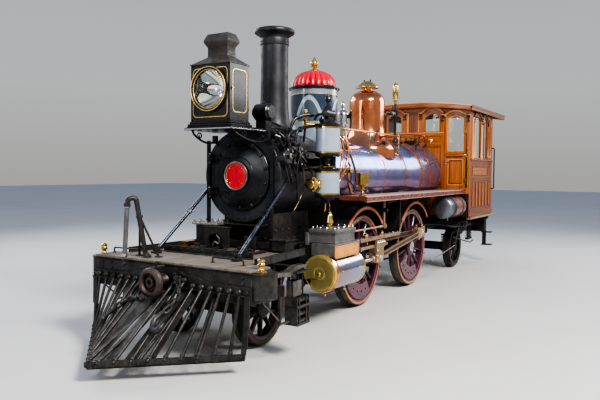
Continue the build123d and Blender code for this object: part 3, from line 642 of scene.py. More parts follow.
# top bar: a plate with a raised middle over the coupler
half = [(1.05, 0.690), (1.05, 0.772), (0.54, 0.775), (0.47, 0.79), (0.43, 0.812), (0.37, 0.820), (0.25, 0.826), (0.20, 0.845), (0.16, 0.872),
        (0.11, 0.880)]
outline = half + [(-y, z) for y, z in reversed(half)]
p.prism(outline, "yz", 3.162, 3.186, IRON)
p.box(3.186, 3.212, -1.05, 1.05, 0.690, 0.700, IRON, 0.002)
ROD_Y = [0.055 + 0.11 * i for i in range(9)]
for s in (-1, 1):
    # base bar: an angle of iron along each side of the V
    a, b = Vector((TIP, 0, 0)), Vector((ROOT, s * PY, 0))
    d = (b - a).normalized()
    n = Vector((-d.y, d.x, 0)) * (1 if s > 0 else -1)
    n = n if n.x < 0 else -n
    for z0, z1, w in ((0.105, 0.172, 0.016), (0.105, 0.121, 0.075)):
        loop = [(a + Vector((0, 0, 0))), b, b + n * w, a + n * w + Vector((-w * 0.45, 0, 0))]
        p.prism([(q.x, q.y) for q in loop], "xy", z0, z1, IRON)
    for i, y in enumerate(ROD_Y):
        top = Vector((3.196, s * y, 0.775 if y < 0.3 else 0.731)) if i else Vector((3.312, s * y, 0.530))
        yb = y * 0.972
        low = Vector((v_x(yb) - 0.005, s * yb, 0.152))
        up_dir = (top - low).normalized()
        p.tube([low - up_dir * 0.004, top], 0.0155, IRON, 12)
        # eye and bolt at the top, collar and nut at the base
        p.ball(top + Vector((0.012, 0, 0.0)), 0.027, IRON, 14)
        p.lathe([(0, 0), (0.019, 0), (0.019, 0.010), (0.012, 0.016), (0, 0.017)], top + Vector((0.034, 0, 0)), (1, 0, 0), IRON, 10)
        p.lathe([(0.0155, 0), (0.024, 0.004), (0.025, 0.020), (0.0155, 0.034)], low + up_dir * 0.020, up_dir, IRON, 12)
        face_n = -n
        if i < 8:
            ym = yb + 0.053
            p.bolt(Vector((v_x(ym), s * ym, 0.138)) + face_n * -0.001, face_n, 0.012, 0.014, IRON)
        p.bolt(Vector((v_x(yb), s * yb, 0.132)), face_n, 0.015, 0.018, IRON)
    # flat end straps, curved in at the foot
    for y0, y1 in ((0.985, 1.045),):
        pts = [(3.200, 0.70), (3.206, 0.40), (3.214, 0.22), (3.228, 0.165), (3.24, 0.11)]
        for (xa, za), (xb, zb) in zip(pts, pts[1:]):
            p.prism([(xa, za), (xa - 0.016, za), (xb - 0.016, zb), (xb, zb)], "xz", s * (y0 - 0.03 * (0.7 - za)), s * (y1 - 0.05 * (0.7 - za)), IRON)
    p.bolt((3.187, s * 1.015, 0.731), (1, 0, 0), 0.018, 0.022, IRON)
    p.bolt((3.236, s * 0.985, 0.145), (1, 0, 0), 0.018, 0.022, IRON)
    # wide plates behind the middle rods
    for y0, y1 in ((0.016, 0.138), (0.170, 0.292), (0.326, 0.404)):
        ym = (y0 + y1) / 2
        xt, zt = 3.190, 0.66
        xb, zb = v_x(ym) - 0.055, 0.150
        dz = Vector((xb - xt, 0, zb - zt)).normalized()
        off = Vector((-dz.z, 0, dz.x)) * -0.010
        q = [Vector((xt, 0, zt)), Vector((xb, 0, zb)), Vector((xb, 0, zb)) + off, Vector((xt, 0, zt)) + off]
        p.prism([(k.x, k.z) for k in q], "xz", s * y0, s * y1, SLAT)
        for t in (0.06, 0.94):
            p.rivet(Vector((xt, s * ym, zt)).lerp(Vector((xb, s * ym, zb)), t), -off.normalized(), 0.010, IRON)
    # stays from the beam to the base
    p.tube([(3.165, s * 0.62, 0.66), (3.50, s * 0.655, 0.135)], 0.017, IRON, 10)
    p.tube([(3.165, s * 0.30, 0.62), (3.86, s * 0.305, 0.135)], 0.017, IRON, 10)
p.box(TIP - 0.10, TIP - 0.004, -0.045, 0.045, 0.112, 0.165, IRON, 0.006)
for y in (-0.02, 0.02):
    p.bolt((TIP - 0.03, y, 0.166), (0, 0, 1), 0.012, 0.012, IRON)
p.box(3.150, 3.30, -0.075, 0.075, 0.47, 0.665, IRON, 0.008)
p.make("chassis", ["pilot"])

# ---- beam, drum ends and knobs ---------------------------------------------
p = Piece("front_beam_detail")
BX0, BX1 = 2.85, 3.16
p.box(BX0, BX1, -1.04, 1.04, 0.605, 0.893, IRON, 0.008)
p.box(BX0 - 0.02, BX1 + 0.010, -1.05, 1.05, 0.893, 0.904, IRON, 0.003)
for s in (-1, 1):
    prof = [(0, 0.650), (0.146, 0.650), (0.151, 0.656), (0.151, 0.664), (0.146, 0.668), (0.146, 0.884), (0.152, 0.888), (0.152, 0.9), (0, 0.9)]
    p.lathe(prof, (3.005, s * 1.05, 0), (0, 0, 1), IRON, 40)
    # turned knob
    kn = [(0, 0.900), (0.058, 0.900), (0.060, 0.906), (0.052, 0.915), (0.034, 0.922), (0.026, 0.932), (0.022, 0.946), (0.025, 0.958), (0.038, 0.966),
          (0.040, 0.974), (0.032, 0.982), (0.027, 0.996), (0.036, 1.008), (0.036, 1.018), (0.024, 1.028), (0.014, 1.034), (0, 1.036)]
    p.lathe(kn, (3.035, s * 1.06, 0), (0, 0, 1), BRASS, 28)
    for z in (0.86, 0.80):
        for y in (0.62, 0.80, 0.94):
            p.bolt((BX1, s * y, z), (1, 0, 0), 0.013, 0.013, IRON)
for y in (-0.99, -0.93, -0.5, -0.3, 0.3, 0.5, 0.93, 0.99):
    p.rivet((BX1 + 0.0, y, 0.845), (1, 0, 0), 0.010, IRON)
p.make("chassis", ["front_beam"])

# ---- deck ------------------------------------------------------------------
DECKW = wood("deck_planks", "x", (0.055, 0.045, 0.036), (0.165, 0.135, 0.108), (0.27, 0.225, 0.185), 0.0, 0.62)
p = Piece("front_deck_detail")
n_pl = 11
for i in range(n_pl):
    t0, t1 = -1 + 2 * i / n_pl, -1 + 2 * (i + 1) / n_pl
    g = 0.0022
    a0, a1 = 0.762 * t0 + g, 0.762 * t1 - g
    b0, b1 = 0.846 * t0 + g, 0.846 * t1 - g
    z1 = 0.927 + (0.0015 if i % 2 else 0.0)
    p.prism([(1.802, a0), (2.85, b0), (2.85, b1), (1.802, a1)], "xy", 0.906, z1, DECKW)
p.box(BX0 - 0.001, BX1 + 0.012, -1.04, 1.04, 0.9045, 0.929, DECKW, 0.004)
for s in (-1, 1):
    q = [(1.80, s * 0.794), (2.85, s * 0.878), (2.85, s * 0.850), (1.80, s * 0.766)]
    p.prism(q, "xy", 0.905, 0.983, IRON)
    p.prism([(1.80, s * 0.80), (2.85, s * 0.884), (2.85, s * 0.846), (1.80, s * 0.762)], "xy", 0.976, 0.985, IRON)
    for i in range(6):
        x = 1.9 + 0.17 * i
        y = 0.794 + (0.878 - 0.794) * (x - 1.8) / 1.05
        p.rivet((x, s * y, 0.945), (0, s, 0), 0.009, IRON)
    # hoop handles on the beam
    y0, y1 = (0.42, 0.80) if s > 0 else (-0.98, -0.60)
    p.tube(bent([(2.96, y0, 0.925), (2.96, y0, 0.985), (2.96, y1, 0.985), (2.96, y1, 0.925)], 0.018), 0.0085, IRON, 10)
    for y in (y0, y1):
        p.lathe([(0, 0), (0.024, 0), (0.022, 0.008), (0.012, 0.012), (0, 0.012)], (2.96, y, 0.928), (0, 0, 1), IRON, 12)
# transverse angle with bolts, hatch bars and small fittings behind it
p.box(2.545, 2.560, -0.62, 0.62, 0.928, 0.998, IRON, 0.002)
p.box(2.545, 2.605, -0.62, 0.62, 0.928, 0.938, IRON, 0.002)
for i in range(12):
    p.bolt((2.560, -0.56 + i * 0.102, 0.972), (1, 0, 0), 0.013, 0.014, IRON)
for y in (-0.40, -0.22, 0.22, 0.40):
    p.box(2.02, 2.545, y - 0.022, y + 0.022, 0.928, 0.952, IRON, 0.003)
    for x in (2.1, 2.25, 2.4, 2.5):
        p.bolt((x, y, 0.952), (0, 0, 1), 0.012, 0.013, IRON)
for y in (-0.30, 0.31):
    p.box(2.30, 2.42, y - 0.06, y + 0.06, 0.928, 0.990, IRON, 0.006)
    p.cyl((2.36, y, 0.99), (2.36, y, 1.02), 0.03, IRON, 16)
p.box(2.20, 2.36, -0.56, -0.44, 0.928, 1.03, BRASS, 0.006)
p.make("chassis", ["front_deck"])

# ---- coupler ---------------------------------------------------------------
CZ0 = 0.745
RUST = paint("iron_rusty", (0.080, 0.056, 0.046), (0.026, 0.020, 0.018), (0.40, 0.65), 0.3, 12.0, ((0.20, 0.14, 0.11), 0.5), 0.45, 80.0)
HOOKM = paint("hook_iron", (0.060, 0.058, 0.057), (0.028, 0.027, 0.026), (0.34, 0.55), 0.5, 12.0, ((0.17, 0.15, 0.14), 0.5), 0.3, 80.0)
p = Piece("front_coupler_detail")
prof = [(0, 0.0), (0.105, 0.0), (0.138, 0.012), (0.152, 0.034), (0.151, 0.052), (0.140, 0.068), (0.122, 0.078), (0.104, 0.080), (0.094, 0.070), (0.088, 0.050), (0.084, 0.028), (0, 0.026)]
p.lathe(prof, (3.330, -0.01, CZ0), (1, 0, 0), RUST, 48)
p.lathe([(0.075, 0), (0.058, 0.03), (0.052, 0.15)], (3.20, -0.01, CZ0), (1, 0, 0), IRON, 24)
p.cyl((3.195, -0.01, CZ0), (3.35, -0.01, CZ0), 0.055, IRON, 24)
# boss in the recess with its round hole, the pin behind it and the lugs above and below
p.lathe([(0.020, 0), (0.046, 0), (0.052, 0.006), (0.052, 0.030), (0.046, 0.036), (0.030, 0.037), (0.024, 0.032), (0.020, 0.012)], (3.356, -0.018, CZ0 + 0.006), (1, 0, 0), RUST, 28, close=True)
for a_ in (35, 155, 275):
    u = math.radians(a_)
    p.bolt((3.356, -0.01 + 0.070 * math.cos(u), CZ0 + 0.070 * math.sin(u)), (1, 0, 0), 0.010, 0.014, RUST)
p.box(3.200, 3.372, -0.036, 0.016, CZ0 + 0.126, CZ0 + 0.156, IRON, 0.005)
p.cyl((3.300, -0.01, CZ0 + 0.120), (3.300, -0.01, CZ0 + 0.190), 0.0155, IRON, 16, 0.003)
p.lathe([(0, 0), (0.030, 0), (0.032, 0.008), (0.020, 0.018), (0, 0.021)], (3.300, -0.01, CZ0 + 0.186), (0, 0, 1), IRON, 16)
# loop handle and chain with its hook
p.tube(curve_pts([(3.21, 0.12, 0.80), (3.27, 0.20, 0.845), (3.30, 0.25, 0.82), (3.27, 0.245, 0.73), (3.24, 0.20, 0.70)], 6), 0.009, IRON, 8)


def run_chain(pts, w, r, up):
    """Links along a path, every second one turned."""
    for i, (a, b) in enumerate(zip(pts, pts[1:])):
        a, b = Vector(a), Vector(b)
        d = b - a
        s1 = d.cross(Vector(up)).normalized()
        s2 = d.cross(s1).normalized()
        link(p, (a + b) / 2, d, s1 if i % 2 else s2, d.length + 2.7 * r, w, r, IRON)


run_chain([(3.214, 0.165, 0.805), (3.262, 0.232, 0.770), (3.312, 0.300, 0.730), (3.360, 0.336, 0.672), (3.414, 0.348, 0.620), (3.470, 0.340, 0.572), (3.524, 0.316, 0.532)], 0.066, 0.0130, (1, 0.4, 0))
run_chain([(3.208, 0.225, 0.800), (3.250, 0.262, 0.742), (3.305, 0.262, 0.690), (3.362, 0.262, 0.640), (3.420, 0.268, 0.592)], 0.060, 0.0115, (1, 0.4, 0))
hook = curve_pts([(3.526, 0.312, 0.536), (3.560, 0.286, 0.506), (3.610, 0.268, 0.462), (3.652, 0.292, 0.412), (3.674, 0.336, 0.388), (3.664, 0.374, 0.408),
                  (3.628, 0.386, 0.440), (3.596, 0.370, 0.462)], 6)
p.tube(hook, [0.018 + 0.013 * math.sin(math.pi * i / (len(hook) - 1)) for i in range(len(hook))], HOOKM, 14)
# second chain, lying over the rods on the other side
run_chain([(3.505, -0.020, 0.606), (3.486, -0.085, 0.610), (3.470, -0.150, 0.606), (3.486, -0.210, 0.580), (3.512, -0.262, 0.545), (3.546, -0.308, 0.508)], 0.062, 0.0125, (0, 0, 1))
p.tube([(3.540, -0.300, 0.515), (3.640, -0.372, 0.410)], 0.019, IRON, 12)
p.ball((3.648, -0.378, 0.402), 0.031, IRON, 14)
p.make("chassis", ["front_coupler"])

# ---------------------------------------------------------------------------
# Air pipe, braces, steps
# ---------------------------------------------------------------------------
HOSE = paint("hose_grey", (0.10, 0.10, 0.105), (0.06, 0.06, 0.063), (0.45, 0.65), 0.0, 12.0, bump=0.3, fine=50.0)
BLADE = metal("brace_steel", (0.155, 0.17, 0.21), (0.075, 0.082, 0.105), (0.20, 0.38), 5.0, spots=((0.05, 0.045, 0.045), 0.5))
PLATERIM = metal("plate_rim_worn", (0.34, 0.32, 0.29), (0.18, 0.165, 0.15), (0.26, 0.45), 14.0)
p = Piece("air_pipe_detail")
path = bent([(3.05, -0.404, 0.93), (3.15, -0.43, 1.50), (3.158, -0.434, 1.545), (3.185, -0.455, 1.556), (3.222, -0.475, 1.545), (3.232, -0.481, 1.50)], 0.04, 5)
p.tube(path, 0.0255, IRON, 16)
p.lathe([(0, 0), (0.058, 0), (0.058, 0.012), (0.042, 0.018), (0.036, 0.040), (0.026, 0.046)], (3.05, -0.404, 0.93), (0.15, -0.04, 1), IRON, 20)
for k in range(4):
    a = math.radians(45 + 90 * k)
    p.bolt((3.05 + 0.045 * math.cos(a), -0.404 + 0.045 * math.sin(a), 0.940), (0, 0, 1), 0.008, 0.010, IRON)
p.lathe([(0.026, 0), (0.034, 0.004), (0.034, 0.036), (0.026, 0.040)], (3.233, -0.4815, 1.505), (0.02, -0.035, -1), IRON, 12)
hose = curve_pts([(3.234, -0.482, 1.468), (3.238, -0.492, 1.30), (3.243, -0.503, 1.08), (3.248, -0.512, 0.93)], 8)
p.tube(hose, 0.0235, HOSE, 16)
for k in (0.02, 0.95):
    q = hose[int(k * (len(hose) - 1))]
    p.cyl(q + Vector((0, 0, 0.016)), q - Vector((0, 0, 0.016)), 0.0275, STEEL, 16, 0.002)
p.lathe([(0.020, 0), (0.026, 0.006), (0.026, 0.030), (0.018, 0.036), (0.018, 0.050), (0, 0.052)], (3.248, -0.512, 0.925), (0, 0, -1), IRON, 14)
p.ball((3.249, -0.512, 0.878), 0.0245, IRON, 14)
for foot in ((2.97, -0.30), (2.99, -0.56)):
    p.tube([(foot[0], foot[1], 0.93), (3.118, -0.424, 1.36)], 0.0115, IRON, 10)
    p.box(foot[0] - 0.03, foot[0] + 0.03, foot[1] - 0.03, foot[1] + 0.03, 0.928, 0.940, IRON, 0.002)
p.band((3.118, -0.424, 1.345), (0.15, -0.04, 1), 0.024, 0.034, 0, 0.030, IRON, 20)
p.make("chassis", ["air_pipe"])

p = Piece("smokebox_braces_detail")
for s in (-1, 1):
    a, b = Vector((2.740, s * 0.560, 0.955)), Vector((1.66, s * 0.516, 1.805))
    d = (b - a).normalized()
    p.tube([a + d * 0.03, b], 0.0205, BLADE, 16)
    p.lathe([(0.0205, 0), (0.028, 0.004), (0.028, 0.05), (0.0205, 0.054)], a.lerp(b, 0.46), d, BLADE, 6)
    p.box(2.69, 2.79, s * 0.52, s * 0.60, 0.930, 0.950, IRON, 0.004)
    for dy in (-0.030, 0.022):
        p.box(2.715, 2.765, s * 0.56 + dy - 0.005, s * 0.56 + dy + 0.013, 0.945, 1.005, IRON, 0.003)
    p.cyl((2.742, s * 0.560 - 0.045, 0.977), (2.742, s * 0.560 + 0.045, 0.977), 0.010, IRON, 10)
    for dx in (-0.035, 0.035):
        p.bolt((2.74 + dx, s * 0.535, 0.950), (0, 0, 1), 0.010, 0.012, IRON)
p.make("chassis", ["smokebox_braces"])

STEPGREY = metal("step_iron", (0.120, 0.112, 0.104), (0.045, 0.042, 0.040), (0.30, 0.50), 11.0, 0.08, 80.0, 0.7, ((0.07, 0.055, 0.045), 0.6))
# lighter copy of the step iron: painted highlight, with rust spots
STEPLIT = metal("step_iron_painted_highlight", (0.165, 0.153, 0.138), (0.070, 0.064, 0.057), (0.32, 0.52), 9.0, 0.08, 70.0, 0.6, ((0.13, 0.10, 0.075), 0.5))
p = Piece("front_steps_detail")
for s in (-1, 1):
    p.prism([(2.43, 0.852), (2.61, 0.852), (2.61, 0.862), (2.43, 0.862)], "xz", s * 1.0, s * 1.19, BLACK)
    p.box(2.48, 2.56, s * 0.885, s * 1.09, 0.881, 0.903, BLACK, 0.003)
    p.box(2.484, 2.556, s * 1.087, s * 1.103, 0.34, 0.902, BLACK, 0.003)
    # upper tread: toothed plate in a shallow tray
    p.box(2.40, 2.64, s * 1.062, s * 1.213, 0.846, 0.858, BLACK, 0.002)
    for z, w in ((0.505, 0.24), (0.329, 0.24)):
        x0, x1 = 2.52 - w / 2, 2.52 + w / 2
        p.box(x0, x1, s * 1.062, s * 1.214, z, z + 0.010, BLACK, 0.002)
        for y in (1.064, 1.208):
            p.box(x0, x1, s * y, s * (y + 0.005), z - 0.004, z + 0.019, BLACK, 0.0015)
    # toothed bars between two end plates
    for x in (2.408, 2.626):
        p.box(x, x + 0.008, s * 1.064, s * 1.212, 0.330, 0.612, STEPGREY, 0.002)
    for z in (0.352, 0.420, 0.488, 0.556):
        for y in (1.084, 1.138, 1.192):
            p.box(2.412, 2.630, s * (y - 0.007), s * (y + 0.007), z, z + 0.022, STEPGREY, 0.002)
            for k in range(8):
                x = 2.428 + k * 0.0262
                p.prism([(x - 0.010, z + 0.021), (x + 0.010, z + 0.021), (x, z + 0.042)], "xz", s * (y - 0.009), s * (y + 0.009), STEPGREY)
    for x in (2.455, 2.585):
        p.cyl((x, s * 1.204, 0.340), (x, s * 1.204, 0.604), 0.008, STEPGREY, 10)
    for z in (0.42, 0.62, 0.76):
        p.bolt((2.52, s * 1.103, z), (0, s, 0), 0.010, 0.010, IRON)
    p.tube(bent([(2.50, s * 1.095, 0.50), (2.40, s * 1.13, 0.60), (2.405, s * 1.12, 0.85)], 0.04), 0.008, BLACK, 8)
    # the joggled bar, hanger plate, foot bar, stay and riser tray are in the lighter step iron: painted highlight
    # joggled bar from the beam's end over the steps
    p.prism([(3.000, 0.885), (2.840, 0.880), (2.770, 0.870), (2.710, 0.868), (2.655, 0.884), (2.600, 0.906), (2.540, 0.914), (2.460, 0.912), (2.390, 0.905),
             (2.390, 0.884), (2.470, 0.880), (2.540, 0.872), (2.600, 0.856), (2.655, 0.834), (2.710, 0.822), (2.770, 0.828), (2.840, 0.840), (3.000, 0.845)],
            "xz", s * 1.085, s * 1.165, STEPLIT)
    for x, z in ((2.90, 0.8825), (2.80, 0.8745), (2.50, 0.9130), (2.43, 0.9085)):
        p.bolt((x, s * 1.125, z), (0, 0, 1), 0.012, 0.012, IRON)
    # front hanger with its plate, foot bar and stay
    p.box(2.791, 2.809, s * 1.094, s * 1.130, 0.360, 0.850, STEPGREY, 0.003)
    p.box(2.786, 2.814, s * 1.088, s * 1.180, 0.646, 0.756, STEPLIT, 0.004)
    for y in (1.103, 1.165):
        p.bolt((2.814, s * y, 0.735), (1, 0, 0), 0.008, 0.008, IRON)
        p.bolt((2.814, s * y, 0.667), (1, 0, 0), 0.008, 0.008, IRON)
    p.box(2.400, 2.812, s * 1.096, s * 1.128, 0.360, 0.376, STEPLIT, 0.003)
    p.tube([(3.070, s * 1.100, 0.680), (3.050, s * 1.100, 0.612), (2.803, s * 1.112, 0.405)], 0.0085, STEPLIT, 8)
    # riser tray over the lower steps
    for x0, x1, y0, y1, z0, z1 in ((2.613, 2.621, 1.070, 1.118, 0.606, 0.766), (2.610, 2.618, 1.116, 1.152, 0.606, 0.758), (2.462, 2.616, 1.145, 1.152, 0.606, 0.762),
                                   (2.462, 2.616, 1.070, 1.077, 0.606, 0.762), (2.462, 2.470, 1.072, 1.150, 0.606, 0.762), (2.464, 2.618, 1.072, 1.150, 0.700, 0.707)):
        p.box(x0, x1, s * y0, s * y1, z0, z1, STEPLIT, 0.002)
p.make("chassis", ["front_steps"])

# ---------------------------------------------------------------------------
# Smokebox, its door, and the blank plate
# ---------------------------------------------------------------------------
BZ = 1.785
SMOKEFRONT = paint("smokebox_front", (0.016, 0.016, 0.018), (0.008, 0.008, 0.009), (0.20, 0.36), 0.35, 3.0, ((0.07, 0.07, 0.075), 0.25), 0.08, 90.0)
p = Piece("smokebox_detail")
p.lathe([(0.514, 1.872), (0.514, 0.760)] + [(0.47, 0.752), (0.530, 0.752), (0.530, 1.8765), (0.540, 1.880), (0.540, 1.922), (0.536, 1.927), (0.395, 1.927), (0.380, 1.915),
        (0.380, 1.908), (0.514, 1.906)], (0, 0, BZ), (1, 0, 0), GRAPHITE, 112, close=True)
for k in range(36):
    a = 2 * math.pi * (k + 0.5) / 36
    p.bolt((1.927, 0.505 * math.cos(a), BZ + 0.505 * math.sin(a)), (1, 0, 0), 0.0085, 0.009, SMOKEFRONT)
for x in (0.785, 1.835):
    for k in range(56):
        a = 2 * math.pi * k / 56
        n = Vector((0, math.cos(a), math.sin(a)))
        p.rivet(Vector((x, 0, BZ)) + n * 0.5295, n, 0.0105, GRAPHITE, 7)
for k in range(26):
    for s in (-1, 1):
        a = math.radians(270 + s * 22)
        n = Vector((0, math.cos(a), math.sin(a)))
        p.rivet(Vector((0.82 + k * 0.04, 0, BZ)) + n * 0.5295, n, 0.010, GRAPHITE, 7)
# door seat ring and hinge lugs with the pin
p.band((1.9268, 0, BZ), (1, 0, 0), 0.384, 0.418, 0.0, 0.0042, SMOKEFRONT, 96, 0.001)
for z in (1.585, 1.985):
    for dz in (-0.052, 0.032):
        q = [(1.927, -0.450), (1.985, -0.450), (1.994, -0.444), (1.999, -0.432), (1.997, -0.420), (1.985, -0.414), (1.927, -0.414)]
        p.prism(q, "xy", z + dz, z + dz + 0.020, SMOKEFRONT)
    p.cyl((1.985, -0.428, z - 0.056), (1.985, -0.428, z - 0.031), 0.013, STEEL, 12)
    p.cyl((1.985, -0.428, z + 0.031), (1.985, -0.428, z + 0.062), 0.013, STEEL, 12)
p.make("chassis", ["smokebox"])

PALEPLATE = metal("bolted_plate", (0.36, 0.34, 0.31), (0.18, 0.165, 0.15), (0.30, 0.5), 12.0, 0.12, 80.0, 0.7, ((0.12, 0.09, 0.07), 0.6))
p = Piece("smokebox_apron")
# plate that closes the front below the barrel, with its ledge and small fittings
pts = [(-0.34, 0.945), (0.34, 0.945), (0.34, 1.30)] + [(0.540 * math.cos(math.radians(a)), BZ + 0.540 * math.sin(math.radians(a))) for a in range(-50, -131, -5)] + [(-0.34, 1.30)]
p.prism(pts, "yz", 1.80, 1.815, SMOKEFRONT)
p.box(1.80, 1.93, -0.36, 0.30, 1.205, 1.222, IRON, 0.003)
for y in (-0.31, -0.16, 0.0, 0.16, 0.26):
    p.bolt((1.815, y, 1.06), (1, 0, 0), 0.012, 0.012, IRON)
p.box(1.815, 1.90, -0.34, -0.22, 0.94, 1.16, IRON, 0.006)
p.box(1.90, 2.05, -0.315, -0.245, 0.97, 1.01, IRON, 0.004)
p.cyl((1.96, -0.28, 1.01), (1.96, -0.28, 1.13), 0.022, IRON, 14)
p.box(1.815, 1.93, 0.03, 0.20, 0.94, 1.08, IRON, 0.006)
p.tube(bent([(1.93, 0.12, 1.02), (2.05, 0.12, 1.02), (2.08, 0.16, 0.96), (2.09, 0.30, 0.945)], 0.05), 0.014, IRON, 10)
# posts that carry the lamp shelf, either side of the door
for y0, y1 in ((-0.500, -0.456), (0.412, 0.455)):
    p.box(1.928, 1.962, y0, y1, 0.945, 2.200, SMOKEFRONT, 0.006)
    for k in range(9):
        p.bolt((1.962, (y0 + y1) / 2, 1.02 + 0.135 * k), (1, 0, 0), 0.0085, 0.010, SMOKEFRONT)
    p.box(1.928, 1.985, y0 - 0.02, y1 + 0.02, 0.940, 0.962, SMOKEFRONT, 0.004)
# right side: block with a bolted top plate, and an arched bracket in front of it
p.box(1.82, 2.02, -0.620, -0.290, 0.945, 1.196, IRON, 0.008)
p.box(1.79, 2.06, -0.650, -0.265, 1.196, 1.224, PALEPLATE, 0.005)
for y in (-0.625, -0.535, -0.445, -0.355, -0.290):
    for x in (1.815, 1.925, 2.035):
        p.lathe([(0, 0), (0.018, 0), (0.018, 0.014), (0.010, 0.020), (0.009, 0.030), (0, 0.032)], (x, y, 1.224), (0, 0, 1), PALEPLATE, 8)
arch = [(-0.425, 0.945), (-0.425, 1.160), (-0.405, 1.180), (-0.095, 1.180), (-0.075, 1.160), (-0.075, 0.945), (-0.135, 0.945), (-0.140, 1.040), (-0.175, 1.092), (-0.250, 1.112), (-0.325, 1.092),
        (-0.360, 1.040), (-0.365, 0.945)]
p.prism(arch, "yz", 2.055, 2.105, IRON)
p.box(2.020, 2.110, -0.430, -0.070, 1.176, 1.190, IRON, 0.003)
p.tube(curve_pts([(2.08, -0.31, 0.96), (2.09, -0.27, 1.01), (2.08, -0.22, 0.99), (2.085, -0.20, 1.05), (2.08, -0.25, 1.09)], 6), 0.011, PALEPLATE, 8)
p.box(1.94, 2.055, -0.420, -0.395, 0.945, 1.170, IRON, 0.004)
# left side: plain stay and low block
p.box(1.82, 2.00, 0.470, 0.660, 0.945, 1.060, IRON, 0.008)
p.box(1.80, 2.02, 0.450, 0.680, 1.060, 1.078, IRON, 0.004)
for y in (0.49, 0.565, 0.64):
    for x in (1.83, 1.99):
        p.bolt((x, y, 1.078), (0, 0, 1), 0.012, 0.016, IRON)
p.box(1.818, 1.90, -0.290, 0.470, 0.945, 1.020, IRON, 0.006)
p.make("chassis")

p = Piece("smokebox_door_detail")
dome = [(0, 1.934), (0.398, 1.934), (0.402, 1.939), (0.402, 1.948), (0.398, 1.953), (0.388, 1.954), (0.372, 1.957), (0.352, 1.966)]
dome += [(0.352 - 0.28 * t, 1.966 + 0.050 * math.sin(t * math.pi / 2)) for t in (0.12, 0.25, 0.38, 0.5, 0.62, 0.75, 0.88, 1.0)]
dome += [(0.060, 2.0175), (0.050, 2.021), (0.050, 2.0275), (0, 2.0278)]
p.lathe(dome, (0, 0, BZ), (1, 0, 0), SMOKEFRONT, 112)
p.ring((1.9995, 0, BZ), (1, 0, 0), 0.215, 0.006, SMOKEFRONT, 80, 6)
for z in (1.585, 1.985):
    # long hinge straps
    pts = [(-0.428, z - 0.022), (-0.16, z - 0.020), (-0.135, z - 0.012), (-0.130, z), (-0.135, z + 0.012), (-0.16, z + 0.020), (-0.428, z + 0.022)]
    top = [Vector((1.988 if y < -0.40 else 1.985, y, zz)) for y, zz in pts]
    p.prism([(-0.428, z - 0.022), (-0.385, z - 0.022), (-0.385, z + 0.022), (-0.428, z + 0.022)], "yz", 1.966, 1.990, SMOKEFRONT)
    prev = None
    for k in range(10):
        y0, y1 = -0.395 + 0.026 * k, -0.395 + 0.026 * (k + 1)
        def skin(y):
            r = math.hypot(y, z - BZ)
            for (ra, xa), (rb, xb) in zip(dome[5:], dome[6:]):
                if rb <= r <= ra:
                    return xa + (xb - xa) * (ra - r) / max(1e-6, ra - rb)
            return 1.954
        a, b = skin(y0), skin(y1)
        p.prism([(a - 0.004, y0), (a + 0.009, y0), (b + 0.009, y1), (b - 0.004, y1)], "xy", z - 0.021 + 0.0006 * k, z + 0.021 - 0.0006 * k, SMOKEFRONT)
    for y in (-0.34, -0.27, -0.19):
        p.bolt((skin(y) + 0.009, y, z), (1, 0, 0), 0.009, 0.009, SMOKEFRONT)
    p.cyl((1.985, -0.428, z - 0.0295), (1.985, -0.428, z + 0.0295), 0.0195, SMOKEFRONT, 18)
for k in range(14):
    a = 2 * math.pi * (k + 0.5) / 14
    if abs(math.degrees(a) - 180) < 32:
        continue
    c, s_ = math.cos(a), math.sin(a)
    rot = Matrix.Translation((0, 0, BZ)) @ Matrix.Rotation(a - math.pi / 2, 4, "X")
    p.box(1.953, 1.966, -0.016, 0.016, 0.345, 0.400, SMOKEFRONT, 0.004, rot)
    p.bolt((1.966, 0.372 * c, BZ + 0.372 * s_), (1, 0, 0), 0.011, 0.013, SMOKEFRONT)
p.make("smokebox_door", ["smokebox_door"])

p = Piece("number_plate_detail")
p.lathe([(0, 2.0285), (0.163, 2.0285), (0.1685, 2.032), (0.1685, 2.044), (0.166, 2.0485), (0.158, 2.0495), (0.152, 2.047), (0.151, 2.0432)], (0, 0, BZ), (1, 0, 0), PLATERIM, 96)
p.lathe([(0.1515, 2.0425), (0.149, 2.0428), (0.10, 2.0445), (0.05, 2.0455), (0, 2.0458)], (0, 0, BZ), (1, 0, 0), RED, 96)
p.ring((2.0436, 0, BZ), (1, 0, 0), 0.136, 0.0022, BRASS, 80, 6)
for k in range(4):
    a = math.radians(45 + 90 * k)
    p.rivet((2.0438, 0.120 * math.cos(a), BZ + 0.120 * math.sin(a)), (1, 0, 0), 0.007, STEEL)
p.make("smokebox_door", ["number_plate"])

# ---------------------------------------------------------------------------
# Headlight on its shelf
# ---------------------------------------------------------------------------
GOLD = metal("gold_line", (0.83, 0.60, 0.20), (0.66, 0.43, 0.12), (0.22, 0.36), 10.0, metallic=0.75)
MIRROR = metal("reflector", (0.93, 0.93, 0.90), (0.84, 0.84, 0.80), (0.03, 0.07), 4.0, 0.01)
LAMPBLACK = paint("lamp_black", (0.014, 0.014, 0.015), (0.007, 0.007, 0.008), (0.22, 0.34), 0.1, 3.0, ((0.07, 0.06, 0.05), 0.25), 0.03, Coat_Weight=0.22, Coat_Roughness=0.10)
LAMPTOP = paint("lamp_roof", (0.060, 0.056, 0.050), (0.030, 0.028, 0.026), (0.35, 0.55), 0.3, 9.0, ((0.16, 0.14, 0.12), 0.5), 0.15)
LZ, LX0, LX1, LY = 2.72, 2.16, 2.50, 0.27
p = Piece("headlight_detail")
p.box(2.132, 2.528, -0.298, 0.298, 2.3255, 2.350, LAMPBLACK, 0.005)
p.box(2.146, 2.514, -0.284, 0.284, 2.350, 2.378, LAMPBLACK, 0.008)
for s in (-1, 1):
    p.box(LX0, LX1, s * 0.258, s * LY, 2.378, 2.990, LAMPBLACK, 0.003)
p.box(LX0, LX0 + 0.012, -0.26, 0.26, 2.378, 2.990, LAMPBLACK, 0.003)
